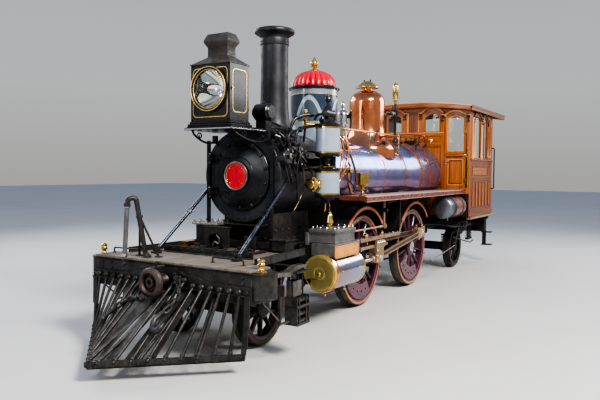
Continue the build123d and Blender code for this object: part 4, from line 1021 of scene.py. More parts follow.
p.box(LX0 + 0.01, LX1 - 0.01, -0.26, 0.26, 2.378, 2.390, LAMPBLACK, 0.002)
p.box(LX0 + 0.01, LX1 - 0.01, -0.26, 0.26, 2.978, 2.990, LAMPBLACK, 0.002)
N = 48
sq = []
for k in range(N):
    a = 2 * math.pi * (k + 0.5) / N
    c, s_ = math.cos(a), math.sin(a)
    t = min(0.268 / max(1e-6, abs(c)), ((0.268 if s_ > 0 else 0.340)) / max(1e-6, abs(s_)))
    sq.append((c * t, LZ + s_ * t))
cir = [(0.205 * math.cos(2 * math.pi * (k + 0.5) / N), LZ + 0.205 * math.sin(2 * math.pi * (k + 0.5) / N)) for k in range(N)]
p.frame_prism(sq, cir, "yz", 2.484, 2.4995, LAMPBLACK)
# bezel, glass seat, reflector and burner
p.lathe([(0.205, 2.498), (0.243, 2.498), (0.2435, 2.530), (0.238, 2.5425), (0.226, 2.544), (0.222, 2.540), (0.2215, 2.532), (0.209, 2.530), (0.205, 2.526)],
        (0, 0, LZ), (1, 0, 0), LAMPBLACK, 96, close=True)
p.ring((2.5395, 0, LZ), (1, 0, 0), 0.2345, 0.0062, GOLD, 96, 8)
p.ring((2.530, 0, LZ), (1, 0, 0), 0.209, 0.0042, GOLD, 96, 8)
refl = [(0.200 * t, 2.290 + 0.205 * t * t) for t in (0.12, 0.2, 0.3, 0.4, 0.5, 0.6, 0.7, 0.8, 0.9, 1.0)]
back = [(r + 0.003, x - 0.004) for r, x in reversed(refl)]
p.lathe([(0.022, 2.293)] + refl + [(0.2045, 2.495)] + back + [(0.022, 2.288)], (0, 0, LZ), (1, 0, 0), MIRROR, 96, close=True)
p.lathe([(0, 2.26), (0.026, 2.26), (0.026, 2.32), (0.017, 2.328), (0.017, 2.345), (0.024, 2.36), (0.027, 2.378), (0.022, 2.398), (0.010, 2.408), (0, 2.410)],
        (0, 0, LZ), (1, 0, 0), LAMPGLASS, 24)
# gold lines
line_frame(p, round_rect(-0.240, 0.240, 2.418, 2.950, 0.055), 0.0085, "yz", 2.4993, 2.5012, GOLD)
for s in (-1, 1):
    line_frame(p, round_rect(2.200, 2.452, 2.470, 2.935, 0.055), 0.0085, "xz", s * 0.2693, s * 0.2712, GOLD)
    line_frame(p, round_rect(2.222, 2.430, 2.492, 2.913, 0.045), 0.004, "xz", s * 0.2693, s * 0.2708, LAMPTOP)
    p.cyl((2.458, s * 0.268, 2.723), (2.458, s * 0.286, 2.723), 0.011, BRASS, 14)
    p.box(2.449, 2.467, s * 0.270, s * 0.277, 2.700, 2.746, BRASS, 0.002)
    for z in (2.52, 2.89):
        p.cyl((2.158, s * 0.262, z - 0.02), (2.158, s * 0.262, z + 0.02), 0.008, BRASS, 10)
# hipped roof, neck and flared cap
p.stack([(2.152, 2.508, -0.278, 0.278, 2.988), (2.152, 2.508, -0.278, 0.278, 2.998), (2.165, 2.495, -0.262, 0.262, 3.006), (2.222, 2.384, -0.150, 0.150, 3.080),
         (2.228, 2.376, -0.140, 0.140, 3.092)], LAMPTOP)
p.stack([(2.230, 2.372, -0.136, 0.136, 3.088), (2.230, 2.372, -0.136, 0.136, 3.188), (2.226, 2.378, -0.141, 0.141, 3.200), (2.196, 2.408, -0.166, 0.166, 3.246),
         (2.194, 2.410, -0.168, 0.168, 3.262), (2.196, 2.408, -0.166, 0.166, 3.270), (2.228, 2.376, -0.142, 0.142, 3.334), (2.232, 2.372, -0.138, 0.138, 3.340)], LAMPTOP)
for s in (-1, 1):
    for x in (2.26, 2.30, 2.34):
        p.cyl((x, s * 0.135, 3.135), (x, s * 0.1385, 3.135), 0.010, LAMPBLACK, 12)
p.make("chassis", ["headlight_case"])

p = Piece("headlight_glass")
front = [(0.204 * t, 2.5135 + 0.012 * (1 - t * t)) for t in (0.0, 0.2, 0.4, 0.6, 0.8, 0.9, 1.0)]
p.lathe(front + [(r, x - 0.004) for r, x in reversed(front)], (0, 0, LZ), (1, 0, 0), LAMPGLASS, 64)
p.make("chassis", ["headlight_lens"])

p = Piece("headlight_shelf_detail")
p.box(1.925, 2.530, -0.310, 0.310, 2.306, 2.3245, LAMPBLACK, 0.006)
p.prism(round_rect(1.925, 2.562, -0.335, 0.335, 0.03), "xy", 2.284, 2.3065, LAMPBLACK)
for s in (-1, 1):
    p.tube([(1.93, s * 0.331, 2.295), (2.555, s * 0.331, 2.295)], 0.0085, STEEL, 8)
    # scrolled bracket
    br = curve_pts([(2.46, s * 0.285, 2.285), (2.40, s * 0.30, 2.235), (2.22, s * 0.335, 2.175), (2.05, s * 0.36, 2.165), (1.955, s * 0.375, 2.20)], 6)
    p.tube(br, 0.0125, SMOKEFRONT, 8)
    sc = [Vector((2.30 + 0.045 * math.cos(t) * (1 - t / 9), s * 0.315, 2.235 + 0.040 * math.sin(t) * (1 - t / 9))) for t in [k * 0.5 for k in range(15)]]
    p.tube(sc, 0.008, SMOKEFRONT, 8)
    p.box(1.93, 1.975, s * 0.345, s * 0.405, 2.160, 2.255, SMOKEFRONT, 0.005)
p.tube([(2.556, -0.33, 2.295), (2.556, 0.33, 2.295)], 0.0085, STEEL, 8)
# stays to the top of the barrel
for s in (-1, 1):
    p.prism([(1.80, 2.300), (1.93, 2.300), (1.93, 2.284), (1.80, 2.262)], "xz", s * 0.06, s * 0.10, LAMPBLACK)
p.make("chassis", ["headlight_shelf"])

# ---------------------------------------------------------------------------
# Chimney, domes, valve, whistle
# ---------------------------------------------------------------------------
p = Piece("chimney_detail")
prof = [(0.150, 2.24), (0.330, 2.20), (0.328, 2.225), (0.312, 2.29), (0.285, 2.335), (0.250, 2.365), (0.222, 2.392), (0.204, 2.43), (0.191, 2.49), (0.181, 2.58), (0.1745, 2.70),
        (0.1715, 2.84), (0.1710, 3.395), (0.1785, 3.400), (0.1800, 3.408), (0.1800, 3.470), (0.1785, 3.478), (0.1730, 3.484), (0.178, 3.500), (0.198, 3.518), (0.232, 3.536),
        (0.248, 3.548), (0.2500, 3.556), (0.2500, 3.574), (0.246, 3.584), (0.238, 3.590), (0.226, 3.5965), (0.160, 3.5975), (0.152, 3.590), (0.150, 3.57)]
p.lathe(prof, (1.257, 0, 0), (0, 0, 1), GRAPHITE, 96, close=True)
for k in range(22):
    a = 2 * math.pi * k / 22
    n = Vector((math.cos(a), math.sin(a), 0))
    p.rivet(Vector((1.257, 0, 3.44)) + n * 0.1798, n, 0.008, GRAPHITE, 7)
for k in range(18):
    p.rivet((1.257 - 0.1212, -0.1208, 2.75 + 0.035 * k), (-0.7, -0.7, 0), 0.007, GRAPHITE, 7)
p.make("chassis", ["chimney"])

ARCHBLUE = paint("dome_pale", (0.40, 0.46, 0.52), (0.33, 0.39, 0.45), (0.14, 0.24), 0.2, 3.0, Coat_Weight=0.4, Coat_Roughness=0.08)
DARKBLUE = paint("dome_dark", (0.040, 0.070, 0.115), (0.024, 0.042, 0.072), (0.12, 0.22), 0.2, 3.0, Coat_Weight=0.5, Coat_Roughness=0.06)
SLATE = paint("dome_slate", (0.085, 0.125, 0.160), (0.060, 0.090, 0.120), (0.16, 0.28), 0.2, 3.0, Coat_Weight=0.4, Coat_Roughness=0.08)
p = Piece("sand_dome_detail")
SDX = 0.27
at = (SDX, 0, 0)
p.lathe([(0, 2.02), (0.30, 2.02), (0.415, 2.10), (0.415, 2.215), (0.410, 2.245), (0.396, 2.285), (0.372, 2.330), (0.350, 2.372), (0.337, 2.420), (0.329, 2.480), (0.3245, 2.540),
         (0.324, 2.60), (0.324, 2.960), (0, 2.962)], at, (0, 0, 1), DOMEBLUE, 96)
for z, r, h in ((2.488, 0.3282, 0.013), (2.880, 0.3245, 0.013)):
    p.band((SDX, 0, z), (0, 0, 1), r - 0.006, r + 0.0035, 0, h, GOLD, 96, 0.001)
p.band((SDX, 0, 2.235), (0, 0, 1), 0.405, 0.4150, -0.03, -0.018, GOLD, 96, 0.001)


def on_dome(t, z, dr):
    r = 0.3243 + max(0.0, 2.54 - z) * 0.075 + dr
    return Vector((SDX + r * math.cos(t), r * math.sin(t), z))


def arch_loop(w, top, low):
    """Parabolic arch as (angle offset, height), closed along its foot."""
    up_ = [(w * (1 - i / 12), top - (top - low) * abs(1 - i / 12) ** 2) for i in range(25)]
    return up_ + [(-w * (1 - i / 6), low) for i in range(1, 12)]


# dark field between the two gold lines, then the pale arches and their dark inner panels
p.lathe([(0.318, 2.503), (0.3276, 2.503), (0.3252, 2.540), (0.3248, 2.600), (0.3248, 2.879), (0.318, 2.879)], at, (0, 0, 1), DARKBLUE, 96, close=True)
p.band((SDX, 0, 2.556), (0, 0, 1), 0.318, 0.3256, 0, 0.006, GOLD, 96, 0.0005)
for k in range(4):
    t0 = math.radians(18 + 90 * k)
    la = [(t0 + u, z) for u, z in arch_loop(math.radians(39), 2.862, 2.506)]
    lb = [(t0 + u, z) for u, z in arch_loop(math.radians(30), 2.800, 2.512)]
    n_ = len(la)
    vs = [on_dome(t, z, dr) for dr in (-0.001, 0.0024) for loop_ in (la, lb) for t, z in loop_]
    fs = []
    for i in range(n_):
        j = (i + 1) % n_
        fs += [[i, j, n_ + j, n_ + i], [2 * n_ + i, 3 * n_ + i, 3 * n_ + j, 2 * n_ + j], [i, 2 * n_ + i, 2 * n_ + j, j], [n_ + i, n_ + j, 3 * n_ + j, 3 * n_ + i]]
    p.add(vs, fs, ARCHBLUE)
    # inner panel as strips that follow the curve
    m_ = 20
    us = [-1.0 + 2.0 * i / m_ for i in range(m_ + 1)]
    vs = [on_dome(t0 + math.radians(30) * u, z, dr) for dr in (-0.0012, 0.0016) for u in us for z in (2.511, 2.512 + 0.288 * (1 - u * u) + 0.0005)]
    fs, q_ = [], 2 * (m_ + 1)
    for i in range(m_):
        a0 = 2 * i
        fs += [[a0, a0 + 2, a0 + 3, a0 + 1], [q_ + a0, q_ + a0 + 1, q_ + a0 + 3, q_ + a0 + 2], [a0, q_ + a0, q_ + a0 + 2, a0 + 2], [a0 + 1, a0 + 3, q_ + a0 + 3, q_ + a0 + 1]]
    fs += [[0, 1, q_ + 1, q_], [q_ - 2, 2 * q_ - 2, 2 * q_ - 1, q_ - 1]]
    p.add(vs, fs, SLATE)
# black rim under the cap
p.lathe([(0.30, 2.952), (0.338, 2.956), (0.351, 2.966), (0.3535, 2.978), (0.3520, 2.990), (0.344, 2.998), (0.318, 3.004), (0.300, 3.006)], at, (0, 0, 1), LAMPBLACK, 96, close=True)
cap = []
for i in range(17):
    t = math.pi / 2 * i / 16
    cap.append((max(0.055, 0.318 * math.cos(t) ** 0.85), 3.000 + 0.235 * math.sin(t) ** 1.05, min(1.0, math.cos(t) * 1.5)))
p.fluted([(0.312, 2.996, 0.8)] + cap, at, RED, 22, 0.085, 8)
p.lathe([(0, 3.222), (0.070, 3.226), (0.074, 3.234), (0.060, 3.244), (0.034, 3.252), (0.026, 3.262), (0.030, 3.272), (0.044, 3.280), (0.046, 3.290), (0.036, 3.298), (0.050, 3.312),
         (0.056, 3.326), (0.055, 3.345), (0.046, 3.362), (0.030, 3.376), (0.022, 3.386), (0.026, 3.394), (0.022, 3.404), (0.012, 3.414), (0, 3.4175)], at, (0, 0, 1), BRASS, 40)
p.make("chassis", ["sand_dome"])

COPPERD = metal("dome_copper", (0.86, 0.36, 0.19), (0.66, 0.22, 0.10), (0.10, 0.24), 3.0, 0.02, 30.0, spots=((0.48, 0.20, 0.13), 0.25))
p = Piece("steam_dome_detail")
at = (-1.442, 0, 0)
p.lathe([(0, 2.03), (0.30, 2.03), (0.470, 2.06), (0.470, 2.200), (0.466, 2.222), (0.450, 2.254), (0.425, 2.288), (0.392, 2.320), (0.358, 2.352), (0.330, 2.388), (0.311, 2.430),
         (0.298, 2.480), (0.290, 2.540), (0.288, 2.60), (0.288, 2.965), (0.2865, 2.985), (0.278, 3.010), (0.262, 3.050), (0.238, 3.081), (0.204, 3.109), (0.165, 3.129), (0.128, 3.142),
         (0.095, 3.150), (0.0815, 3.154), (0.0790, 3.162), (0.0810, 3.186), (0, 3.187)], at, (0, 0, 1), COPPERD, 96)
p.lathe([(0, 3.184), (0.082, 3.186), (0.182, 3.1935), (0.1855, 3.198), (0.1855, 3.208), (0.181, 3.2125), (0.150, 3.238), (0.120, 3.262), (0.095, 3.284), (0.088, 3.290), (0.070, 3.298),
         (0.050, 3.306), (0.030, 3.3105), (0, 3.312)], at, (0, 0, 1), BRASS, 72)
for y in (-0.055, 0.055):
    p.box(at[0] - 0.004, at[0] + 0.004, y - 0.012, y + 0.012, 3.292, 3.332, BLACK, 0.002)
p.make("chassis", ["steam_dome"])

p = Piece("safety_valve_detail")
at = (-0.60, 0, 0)
p.lathe([(0, 2.22), (0.088, 2.22), (0.088, 2.296), (0.080, 2.306), (0.070, 2.326), (0.064, 2.352), (0.0605, 2.40), (0.0605, 2.530), (0.066, 2.545), (0.078, 2.558), (0.0835, 2.580), (0.0835, 2.600),
         (0.0805, 2.604), (0.0805, 2.612), (0.0835, 2.616), (0.0835, 2.696), (0.0800, 2.716), (0.0730, 2.734), (0.060, 2.750), (0.046, 2.764), (0.034, 2.776), (0.030, 2.786), (0.0315, 2.800),
         (0.0315, 2.848), (0.027, 2.866), (0.0215, 2.879), (0.014, 2.892), (0.006, 2.901), (0, 2.904)], at, (0, 0, 1), STEEL, 48)
for k in range(6):
    a = 2 * math.pi * k / 6
    p.bolt((at[0] + 0.073 * math.cos(a), 0.073 * math.sin(a), 2.302), (0, 0, 1), 0.009, 0.013, STEEL)
p.band((at[0], 0, 2.806), (0, 0, 1), 0.028, 0.0335, 0, 0.012, BRASS, 36, 0.001)
p.band((at[0], 0, 2.690), (0, 0, 1), 0.076, 0.0850, 0, 0.010, BLACK, 48, 0.001)
# lever, its pivot bracket and a spring balance beside the pot
p.box(at[0] - 0.016, at[0] + 0.016, 0.078, 0.128, 2.640, 2.700, BLACK, 0.004)
p.box(at[0] - 0.010, at[0] + 0.010, 0.102, 0.150, 2.690, 2.716, BLACK, 0.003)
p.cyl((at[0], 0.136, 2.560), (at[0], 0.136, 2.745), 0.0125, BLACK, 14, 0.002)
for k in range(4):
    p.lathe([(0.0125, -0.007), (0.021, -0.005), (0.021, 0.005), (0.0125, 0.007)], (at[0], 0.136, 2.600 + 0.042 * k), (0, 0, 1), BLACK, 16)
p.ball((at[0], 0.136, 2.752), 0.017, BRASS, 14)
p.tube(bent([(at[0], 0.05, 2.48), (at[0], 0.115, 2.48), (at[0], 0.136, 2.52), (at[0], 0.136, 2.565)], 0.02), 0.010, BLACK, 10)
p.make("chassis", ["safety_valve"])

p = Piece("whistle_detail")
at = (-2.620, 0, 0)
p.lathe([(0, 2.30), (0.054, 2.30), (0.054, 2.405), (0.050, 2.420), (0.030, 2.440), (0.0235, 2.462), (0.0235, 2.790), (0.030, 2.800), (0.0395, 2.816), (0.0395, 2.925), (0.032, 2.936),
         (0.0215, 2.946), (0.0215, 3.060), (0, 3.061)], at, (0, 0, 1), BLACK, 40)
p.lathe([(0, 3.058), (0.022, 3.060), (0.0235, 3.085), (0.028, 3.098), (0.044, 3.108), (0.0475, 3.116), (0.0475, 3.122), (0.022, 3.126), (0.022, 3.142), (0.048, 3.146), (0.0515, 3.152), (0.0515, 3.372),
         (0.049, 3.390), (0.036, 3.406), (0.018, 3.418), (0.012, 3.426), (0.013, 3.434), (0, 3.4385)], at, (0, 0, 1), BRASS, 40)
# its valve, carried forward on a level pipe
p.cyl((-2.640, 0.0, 2.870), (-2.300, 0.0, 2.870), 0.026, BLACK, 24, 0.004)
p.lathe([(0, -2.560), (0.030, -2.560), (0.043, -2.552), (0.043, -2.452), (0.030, -2.444), (0, -2.444)], (0, 0, 2.870), (1, 0, 0), STEEL, 28)
p.lathe([(0, -2.405), (0.038, -2.405), (0.038, -2.385), (0.026, -2.380), (0, -2.380)], (0, 0, 2.870), (1, 0, 0), BLACK, 6)
p.tube(bent([(-2.300, 0.0, 2.870), (-2.180, 0.0, 2.870), (-2.180, 0.0, 2.620), (-2.180, 0.0, 2.330)], 0.06), 0.0225, BLACK, 14)
p.cyl((-2.500, -0.030, 2.930), (-2.500, 0.030, 2.930), 0.010, BLACK, 12)
p.box(-2.508, -2.492, -0.006, 0.006, 2.905, 3.010, BLACK, 0.003)
p.tube([(-2.500, 0.0, 3.000), (-3.499, 0.03, 2.840)], 0.0035, STEEL, 6)
p.make("chassis", ["whistle"])

# ---------------------------------------------------------------------------
# Cylinders, valve chests, saddle
# ---------------------------------------------------------------------------
CHEST = paint("chest_iron", (0.20, 0.195, 0.19), (0.11, 0.105, 0.10), (0.28, 0.5), 0.6, 9.0, ((0.34, 0.31, 0.28), 0.6), 0.2, 70.0)
POLISH = metal("cylinder_jacket", (0.42, 0.46, 0.60), (0.34, 0.28, 0.34), (0.10, 0.22), 2.0, 0.02, 40.0, spots=((0.52, 0.30, 0.22), 0.4))
COVER = metal("cover_brass", (0.98, 0.80, 0.30), (0.88, 0.69, 0.23), (0.30, 0.46), 6.0, 0.05, 60.0, spots=((0.72, 0.53, 0.18), 0.3))
PANEL = metal("blank_panel_copper", (0.92, 0.42, 0.09), (0.76, 0.28, 0.05), (0.28, 0.42), 12.0, metallic=0.45)
p = Piece("cylinders_detail")
for s in (-1, 1):
    CY, CZ = s * 0.775, 0.642
    ax = (0.0, CY, CZ)
    p.lathe([(0, 0.690), (0.229, 0.690), (0.229, 1.372), (0, 1.372)], ax, (1, 0, 0), POLISH, 80)
    for x0, x1, r in ((1.345, 1.402, 0.2325), (0.652, 0.712, 0.2325)):
        p.lathe([(0.20, x0), (r - 0.004, x0), (r, x0 + 0.006), (r, x1 - 0.012), (r - 0.010, x1), (0.20, x1)], ax, (1, 0, 0), COPPER if x0 > 1 else BRASS, 80, close=True)
    # front cover with the notch that clears the frame
    R = 0.2185
    a0 = math.degrees(math.atan2(0.560 - CZ, 0.571 - 0.775)) % 360
    a1 = math.degrees(math.atan2(0.456 - CZ, 0.657 - 0.775)) % 360
    loop = arc2(0.775, CZ, R, a1, a0 + 360, 64) + [(0.571, 0.560), (0.657, 0.560)]
    loop = [(s * y, z) for y, z in loop]
    p.prism(loop, "yz", 1.396, 1.440, COVER)
    loop2 = arc2(0.775, CZ, R - 0.008, a1 - 1.5, a0 + 361.5, 64) + [(0.565, 0.568), (0.665, 0.568)]
    p.prism([(s * y, z) for y, z in loop2], "yz", 1.440, 1.446, COVER)
    for k in range(2):
        rr = (0.196, 0.070)[k]
        p.lathe([(rr - 0.004, 1.4455), (rr, 1.4475), (rr + 0.004, 1.4455)], ax, (1, 0, 0), COVER, 64)
    p.lathe([(0.0, 1.4455), (0.030, 1.4455), (0.028, 1.4500), (0.013, 1.4535), (0.011, 1.4470), (0, 1.4465)], (0, s * 0.760, 0.628), (1, 0, 0), COVER, 24)
    p.lathe([(0, 1.4538), (0.0085, 1.4538), (0.0085, 1.4465), (0, 1.4465)], (0, s * 0.760, 0.628), (1, 0, 0), BLACK, 12)
    # back cover, its studs and the gland
    p.lathe([(0, 0.638), (0.205, 0.638), (0.217, 0.645), (0.217, 0.700), (0, 0.700)], ax, (1, 0, 0), CHEST, 72)
    for k in range(14):
        a = 2 * math.pi * k / 14
        p.bolt((0.6385, CY + 0.185 * math.cos(a), CZ + 0.185 * math.sin(a)), (-1, 0, 0), 0.012, 0.018, STEEL)
    p.lathe([(0.029, 0.562), (0.052, 0.562), (0.058, 0.570), (0.060, 0.590), (0.060, 0.645), (0.029, 0.645)], ax, (1, 0, 0), BRASS, 32, close=True)
    for k in (0, 1):
        a = math.pi * k
        p.bolt((0.5635, CY + 0.046 * math.cos(a), CZ + 0.046 * math.sin(a)), (-1, 0, 0), 0.009, 0.014, STEEL)
    # brackets that hold the slide bars
    p.box(0.381, 0.660, s * 0.7455, s * 0.8045, 0.9005, 0.9495, IRON, 0.004)
    p.box(0.381, 0.470, s * 0.7455, s * 0.8045, 0.7955, 0.8345, IRON, 0.004)
    p.box(0.470, 0.700, s * 0.7355, s * 0.8145, 0.8005, 0.9495, IRON, 0.010)
    for x in (0.41, 0.44):
        p.bolt((x, s * 0.775, 0.9495), (0, 0, 1), 0.010, 0.014, STEEL)
    for x, z in ((0.52, 0.90), (0.60, 0.90), (0.56, 0.84)):
        p.bolt((x, s * 0.8145, z), (0, s, 0), 0.011, 0.012, STEEL)
    # casting between barrel and frame
    p.box(0.742, 1.378, s * 0.451, s * 0.640, 0.482, 0.958, IRON, 0.010)
    p.box(0.780, 1.340, s * 0.575, s * 0.770, 0.820, 0.990, CHEST, 0.010)
    p.box(0.742, 1.395, s * 0.640, s * 0.958, 0.842, 0.988, CHEST, 0.006)
    # bevelled plate strip above the jacket and the blank panel
    p.box(0.788, 1.405, s * 0.957, s * 0.9645, 0.832, 0.966, PANEL, 0.002)
    line_frame(p, [(0.792, 0.836), (1.401, 0.836), (1.401, 0.962), (0.792, 0.962)] if s > 0 else [(0.792, 0.836), (1.401, 0.836), (1.401, 0.962), (0.792, 0.962)],
               0.008, "xz", s * 0.964, s * 0.9665, RIM)
    p.box(0.760, 1.400, s * 0.951, s * 0.968, 0.822, 0.831, BRASS, 0.002)
    p.box(1.395, 1.404, s * 0.640, s * 0.958, 0.842, 0.985, CHEST, 0.002)
    # chest, joint line and lid
    p.box(0.872, 1.378, s * 0.562, s * 0.948, 0.985, 1.106, CHEST, 0.004)
    p.box(0.866, 1.384, s * 0.562, s * 0.954, 1.000, 1.012, CHEST, 0.002)
    p.box(0.880, 1.396, s * 0.548, s * 0.600, 0.960, 1.112, CHEST, 0.004)
    p.box(0.852, 1.398, s * 0.592, s * 0.963, 1.118, 1.158, CHEST, 0.008)
    p.box(0.860, 1.390, s * 0.570, s * 0.955, 1.104, 1.120, CHEST, 0.003)
    p.box(0.930, 1.320, s * 0.650, s * 0.900, 1.157, 1.1645, CHEST, 0.003)
    for x in (0.895, 0.995, 1.125, 1.255, 1.355):
        for y in (0.630, 0.925):
            p.lathe([(0.017, 0), (0.017, 0.014), (0.012, 0.020), (0.009, 0.030), (0, 0.032)], (x, s * y, 1.157), (0, 0, 1), STEEL, 10)
    for y in (0.73, 0.82):
        for x in (0.895, 1.355):
            p.lathe([(0.017, 0), (0.017, 0.014), (0.012, 0.020), (0.009, 0.030), (0, 0.032)], (x, s * y, 1.157), (0, 0, 1), STEEL, 10)
    # valve stem gland at the back of the chest
    p.lathe([(0.016, 0.815), (0.036, 0.815), (0.040, 0.822), (0.040, 0.872), (0.016, 0.872)], (0, s * 0.775, 1.07), (1, 0, 0), BRASS, 24, close=True)
    # bell-shaped oil cup on the lid
    p.lathe([(0, 0), (0.040, 0), (0.040, 0.012), (0.024, 0.018), (0.022, 0.040), (0.030, 0.046), (0.050, 0.060), (0.052, 0.072), (0.045, 0.092), (0.039, 0.120), (0.036, 0.150),
             (0.030, 0.166), (0.020, 0.176), (0.024, 0.182), (0.024, 0.190), (0.014, 0.198), (0, 0.200)], (1.198, s * 0.77, 1.1635), (0, 0, 1), BRASS, 32)
    p.lathe([(0, 0), (0.030, 0), (0.036, 0.008), (0.036, 0.028), (0, 0.030)], (1.198, s * 0.77, 1.163), (0, 0, 1), CHEST, 6)
    p.tube(bent([(1.198, s * 0.77, 1.352), (1.190, s * 0.765, 1.42), (1.12, s * 0.72, 1.47), (1.02, s * 0.60, 1.50)], 0.03), 0.0075, COPPER, 8)
    # drain cocks and their rod
    for x in (0.80, 1.30):
        p.lathe([(0, 0), (0.016, 0), (0.016, 0.030), (0.010, 0.034), (0.010, 0.062), (0, 0.064)], (x, CY, 0.412), (0, 0, -1), BRASS, 14)
        p.cyl((x - 0.03, CY, 0.372), (x + 0.03, CY, 0.372), 0.007, BRASS, 8)
    p.tube([(0.70, CY + s * 0.018, 0.385), (1.34, CY + s * 0.018, 0.385)], 0.006, IRON, 8)
    # indicator plugs
    for x in (0.80, 1.28):
        p.bolt((x, s * 1.0035, 0.66), (0, s, 0), 0.014, 0.010, BRASS)
p.make("chassis", ["cylinders"])

p = Piece("cylinder_saddle_detail")
pts = []
r = 0.5325
for k in range(19):
    a = math.radians(-124 + 68 * k / 18)
    pts.append((r * math.cos(a), BZ + r * math.sin(a)))
low = [(0.300, 0.955), (0.355, 0.935), (0.3585, 0.90), (0.3585, 0.642), (-0.3585, 0.642), (-0.3585, 0.90), (-0.355, 0.935), (-0.300, 0.955)]
p.prism([(-0.300, 1.10)] + pts + [(0.300, 1.10)] + low, "yz", 0.902, 1.738, IRON)
p.box(0.862, 1.778, -0.3585, 0.3585, 0.642, 0.958, IRON, 0.012)
for s in (-1, 1):
    for x in (0.96, 1.10, 1.24, 1.38, 1.52, 1.66):
        p.bolt((x, s * 0.3585, 0.72), (0, s, 0), 0.016, 0.001 + 0.0, IRON)
        p.bolt((x, s * 0.300, 1.02), (0, s, 0), 0.016, 0.016, IRON)
        p.bolt((x, s * 0.300, 1.14), (0, s, 0), 0.014, 0.014, IRON)
for y in (-0.24, -0.08, 0.08, 0.24):
    p.bolt((1.778, y, 0.90), (1, 0, 0), 0.016, 0.016, IRON)
p.make("chassis", ["cylinder_saddle"])

# ---------------------------------------------------------------------------
# Air compressor on the left of the smokebox
# ---------------------------------------------------------------------------
PUMPPALE = paint("pump_pale_blue", (0.40, 0.46, 0.54), (0.33, 0.39, 0.47), (0.10, 0.20), 0.25, 3.0, bump=0.02, Coat_Weight=0.45, Coat_Roughness=0.07)
CX, CYP = 1.31, 0.80
at = (CX, CYP, 0)
p = Piece("air_compressor_detail")
for z0, z1, ncl in ((1.53, 1.885, 0), (2.016, 2.402, 1)):
    p.lathe([(0, z0 + 0.040), (0.1440, z0 + 0.040), (0.1440, z1 - 0.040), (0, z1 - 0.040)], at, (0, 0, 1), PUMPPALE, 72)
    p.band((CX, CYP, z0), (0, 0, 1), 0.12, 0.1475, 0.036, 0.058, BRASS, 72)
    p.band((CX, CYP, z1), (0, 0, 1), 0.12, 0.1475, -0.058, -0.036, BRASS, 72)
    p.band((CX, CYP, z0), (0, 0, 1), 0.05, 0.1485, 0.008, 0.036, BLACK, 72, 0.004)
    p.band((CX, CYP, z1), (0, 0, 1), 0.05, 0.1485, -0.036, -0.008, BLACK, 72, 0.004)
    for k in range(10):
        a = 2 * math.pi * (k + 0.5) / 10
        for z, d in ((z1 - 0.008, 1), (z0 + 0.008, -1)):
            p.bolt((CX + 0.125 * math.cos(a), CYP + 0.125 * math.sin(a), z), (0, 0, d), 0.009, 0.012, IRON)
# ribbed middle piece and its brass ring
p.lathe([(0, 1.872), (0.066, 1.872), (0.066, 1.908), (0.052, 1.918), (0.046, 1.935), (0.046, 1.975), (0.055, 1.998), (0.066, 2.004), (0.066, 2.028), (0, 2.030)], at, (0, 0, 1), BLACK, 40)
for k in range(6):
    a = 2 * math.pi * k / 6
    p.box(-0.006, 0.006, 0.045, 0.110, 1.884, 2.018, BLACK, 0.003, Matrix.Translation((CX, CYP, 0)) @ Matrix.Rotation(a, 4, "Z"))
p.band((CX, CYP, 1.884), (0, 0, 1), 0.040, 0.100, 0, 0.026, BRASS, 48, 0.008)
p.cyl((CX, CYP, 1.90), (CX, CYP, 2.02), 0.018, STEEL, 16)
# head: steam chest, cocks and a lifting eye
p.lathe([(0, 2.390), (0.106, 2.390), (0.108, 2.406), (0.098, 2.416), (0.098, 2.444), (0.085, 2.452), (0.060, 2.458), (0.050, 2.480), (0, 2.482)], at, (0, 0, 1), BLACK, 48)
p.cyl((CX - 0.098, CYP + 0.01, 2.52), (CX + 0.098, CYP + 0.01, 2.52), 0.050, BLACK, 32, 0.010)
p.cyl((CX - 0.105, CYP + 0.01, 2.52), (CX + 0.105, CYP + 0.01, 2.52), 0.026, IRON, 20, 0.004)
p.lathe([(0, 2.55), (0.040, 2.55), (0.042, 2.60), (0.030, 2.612), (0.018, 2.62), (0.018, 2.66), (0.034, 2.672), (0.040, 2.69), (0.034, 2.71), (0.016, 2.722), (0.012, 2.745), (0, 2.76)], at,
        (0, 0, 1), BLACK, 32)
p.ring((CX, CYP, 2.69), (0, 1, 0.0), 0.046, 0.008, BLACK, 24, 8)
for k in range(4):
    a = math.radians(35 + 90 * k)
    q = (CX + 0.080 * math.cos(a), CYP + 0.080 * math.sin(a))
    p.lathe([(0, 2.39), (0.017, 2.39), (0.017, 2.42), (0.024, 2.428), (0.024, 2.455), (0.012, 2.465), (0.012, 2.49), (0, 2.492)], (q[0], q[1], 0), (0, 0, 1), BLACK, 12)
p.tube(bent([(CX - 0.02, CYP - 0.05, 2.52), (CX - 0.02, CYP - 0.16, 2.52), (CX - 0.03, CYP - 0.20, 2.46)], 0.03), 0.016, BLACK, 10)
# lower head and drain
p.lathe([(0, 1.545), (0.080, 1.545), (0.078, 1.515), (0.060, 1.505), (0.030, 1.500), (0.022, 1.49), (0.022, 1.46), (0, 1.455)], at, (0, 0, 1), BLACK, 40)
p.tube(bent([(CX + 0.01, CYP - 0.02, 1.47), (CX + 0.01, CYP - 0.02, 1.42), (CX - 0.01, CYP - 0.04, 1.37)], 0.02), 0.009, COPPER, 8)
# side cocks
for z in (2.095, 2.325, 1.60, 1.82):
    p.lathe([(0, 0.13), (0.020, 0.13), (0.020, 0.158), (0.012, 0.164), (0.012, 0.185), (0, 0.187)], (CX, CYP, z), (-0.86, 0.2, 0), COPPER if z in (2.135,) else BLACK, 14)
p.lathe([(0, 0.120), (0.030, 0.120), (0.033, 0.150), (0.033, 0.180), (0.020, 0.190), (0, 0.192)], (CX, CYP, 2.085), (-0.8, 0.58, 0), COPPER, 18)
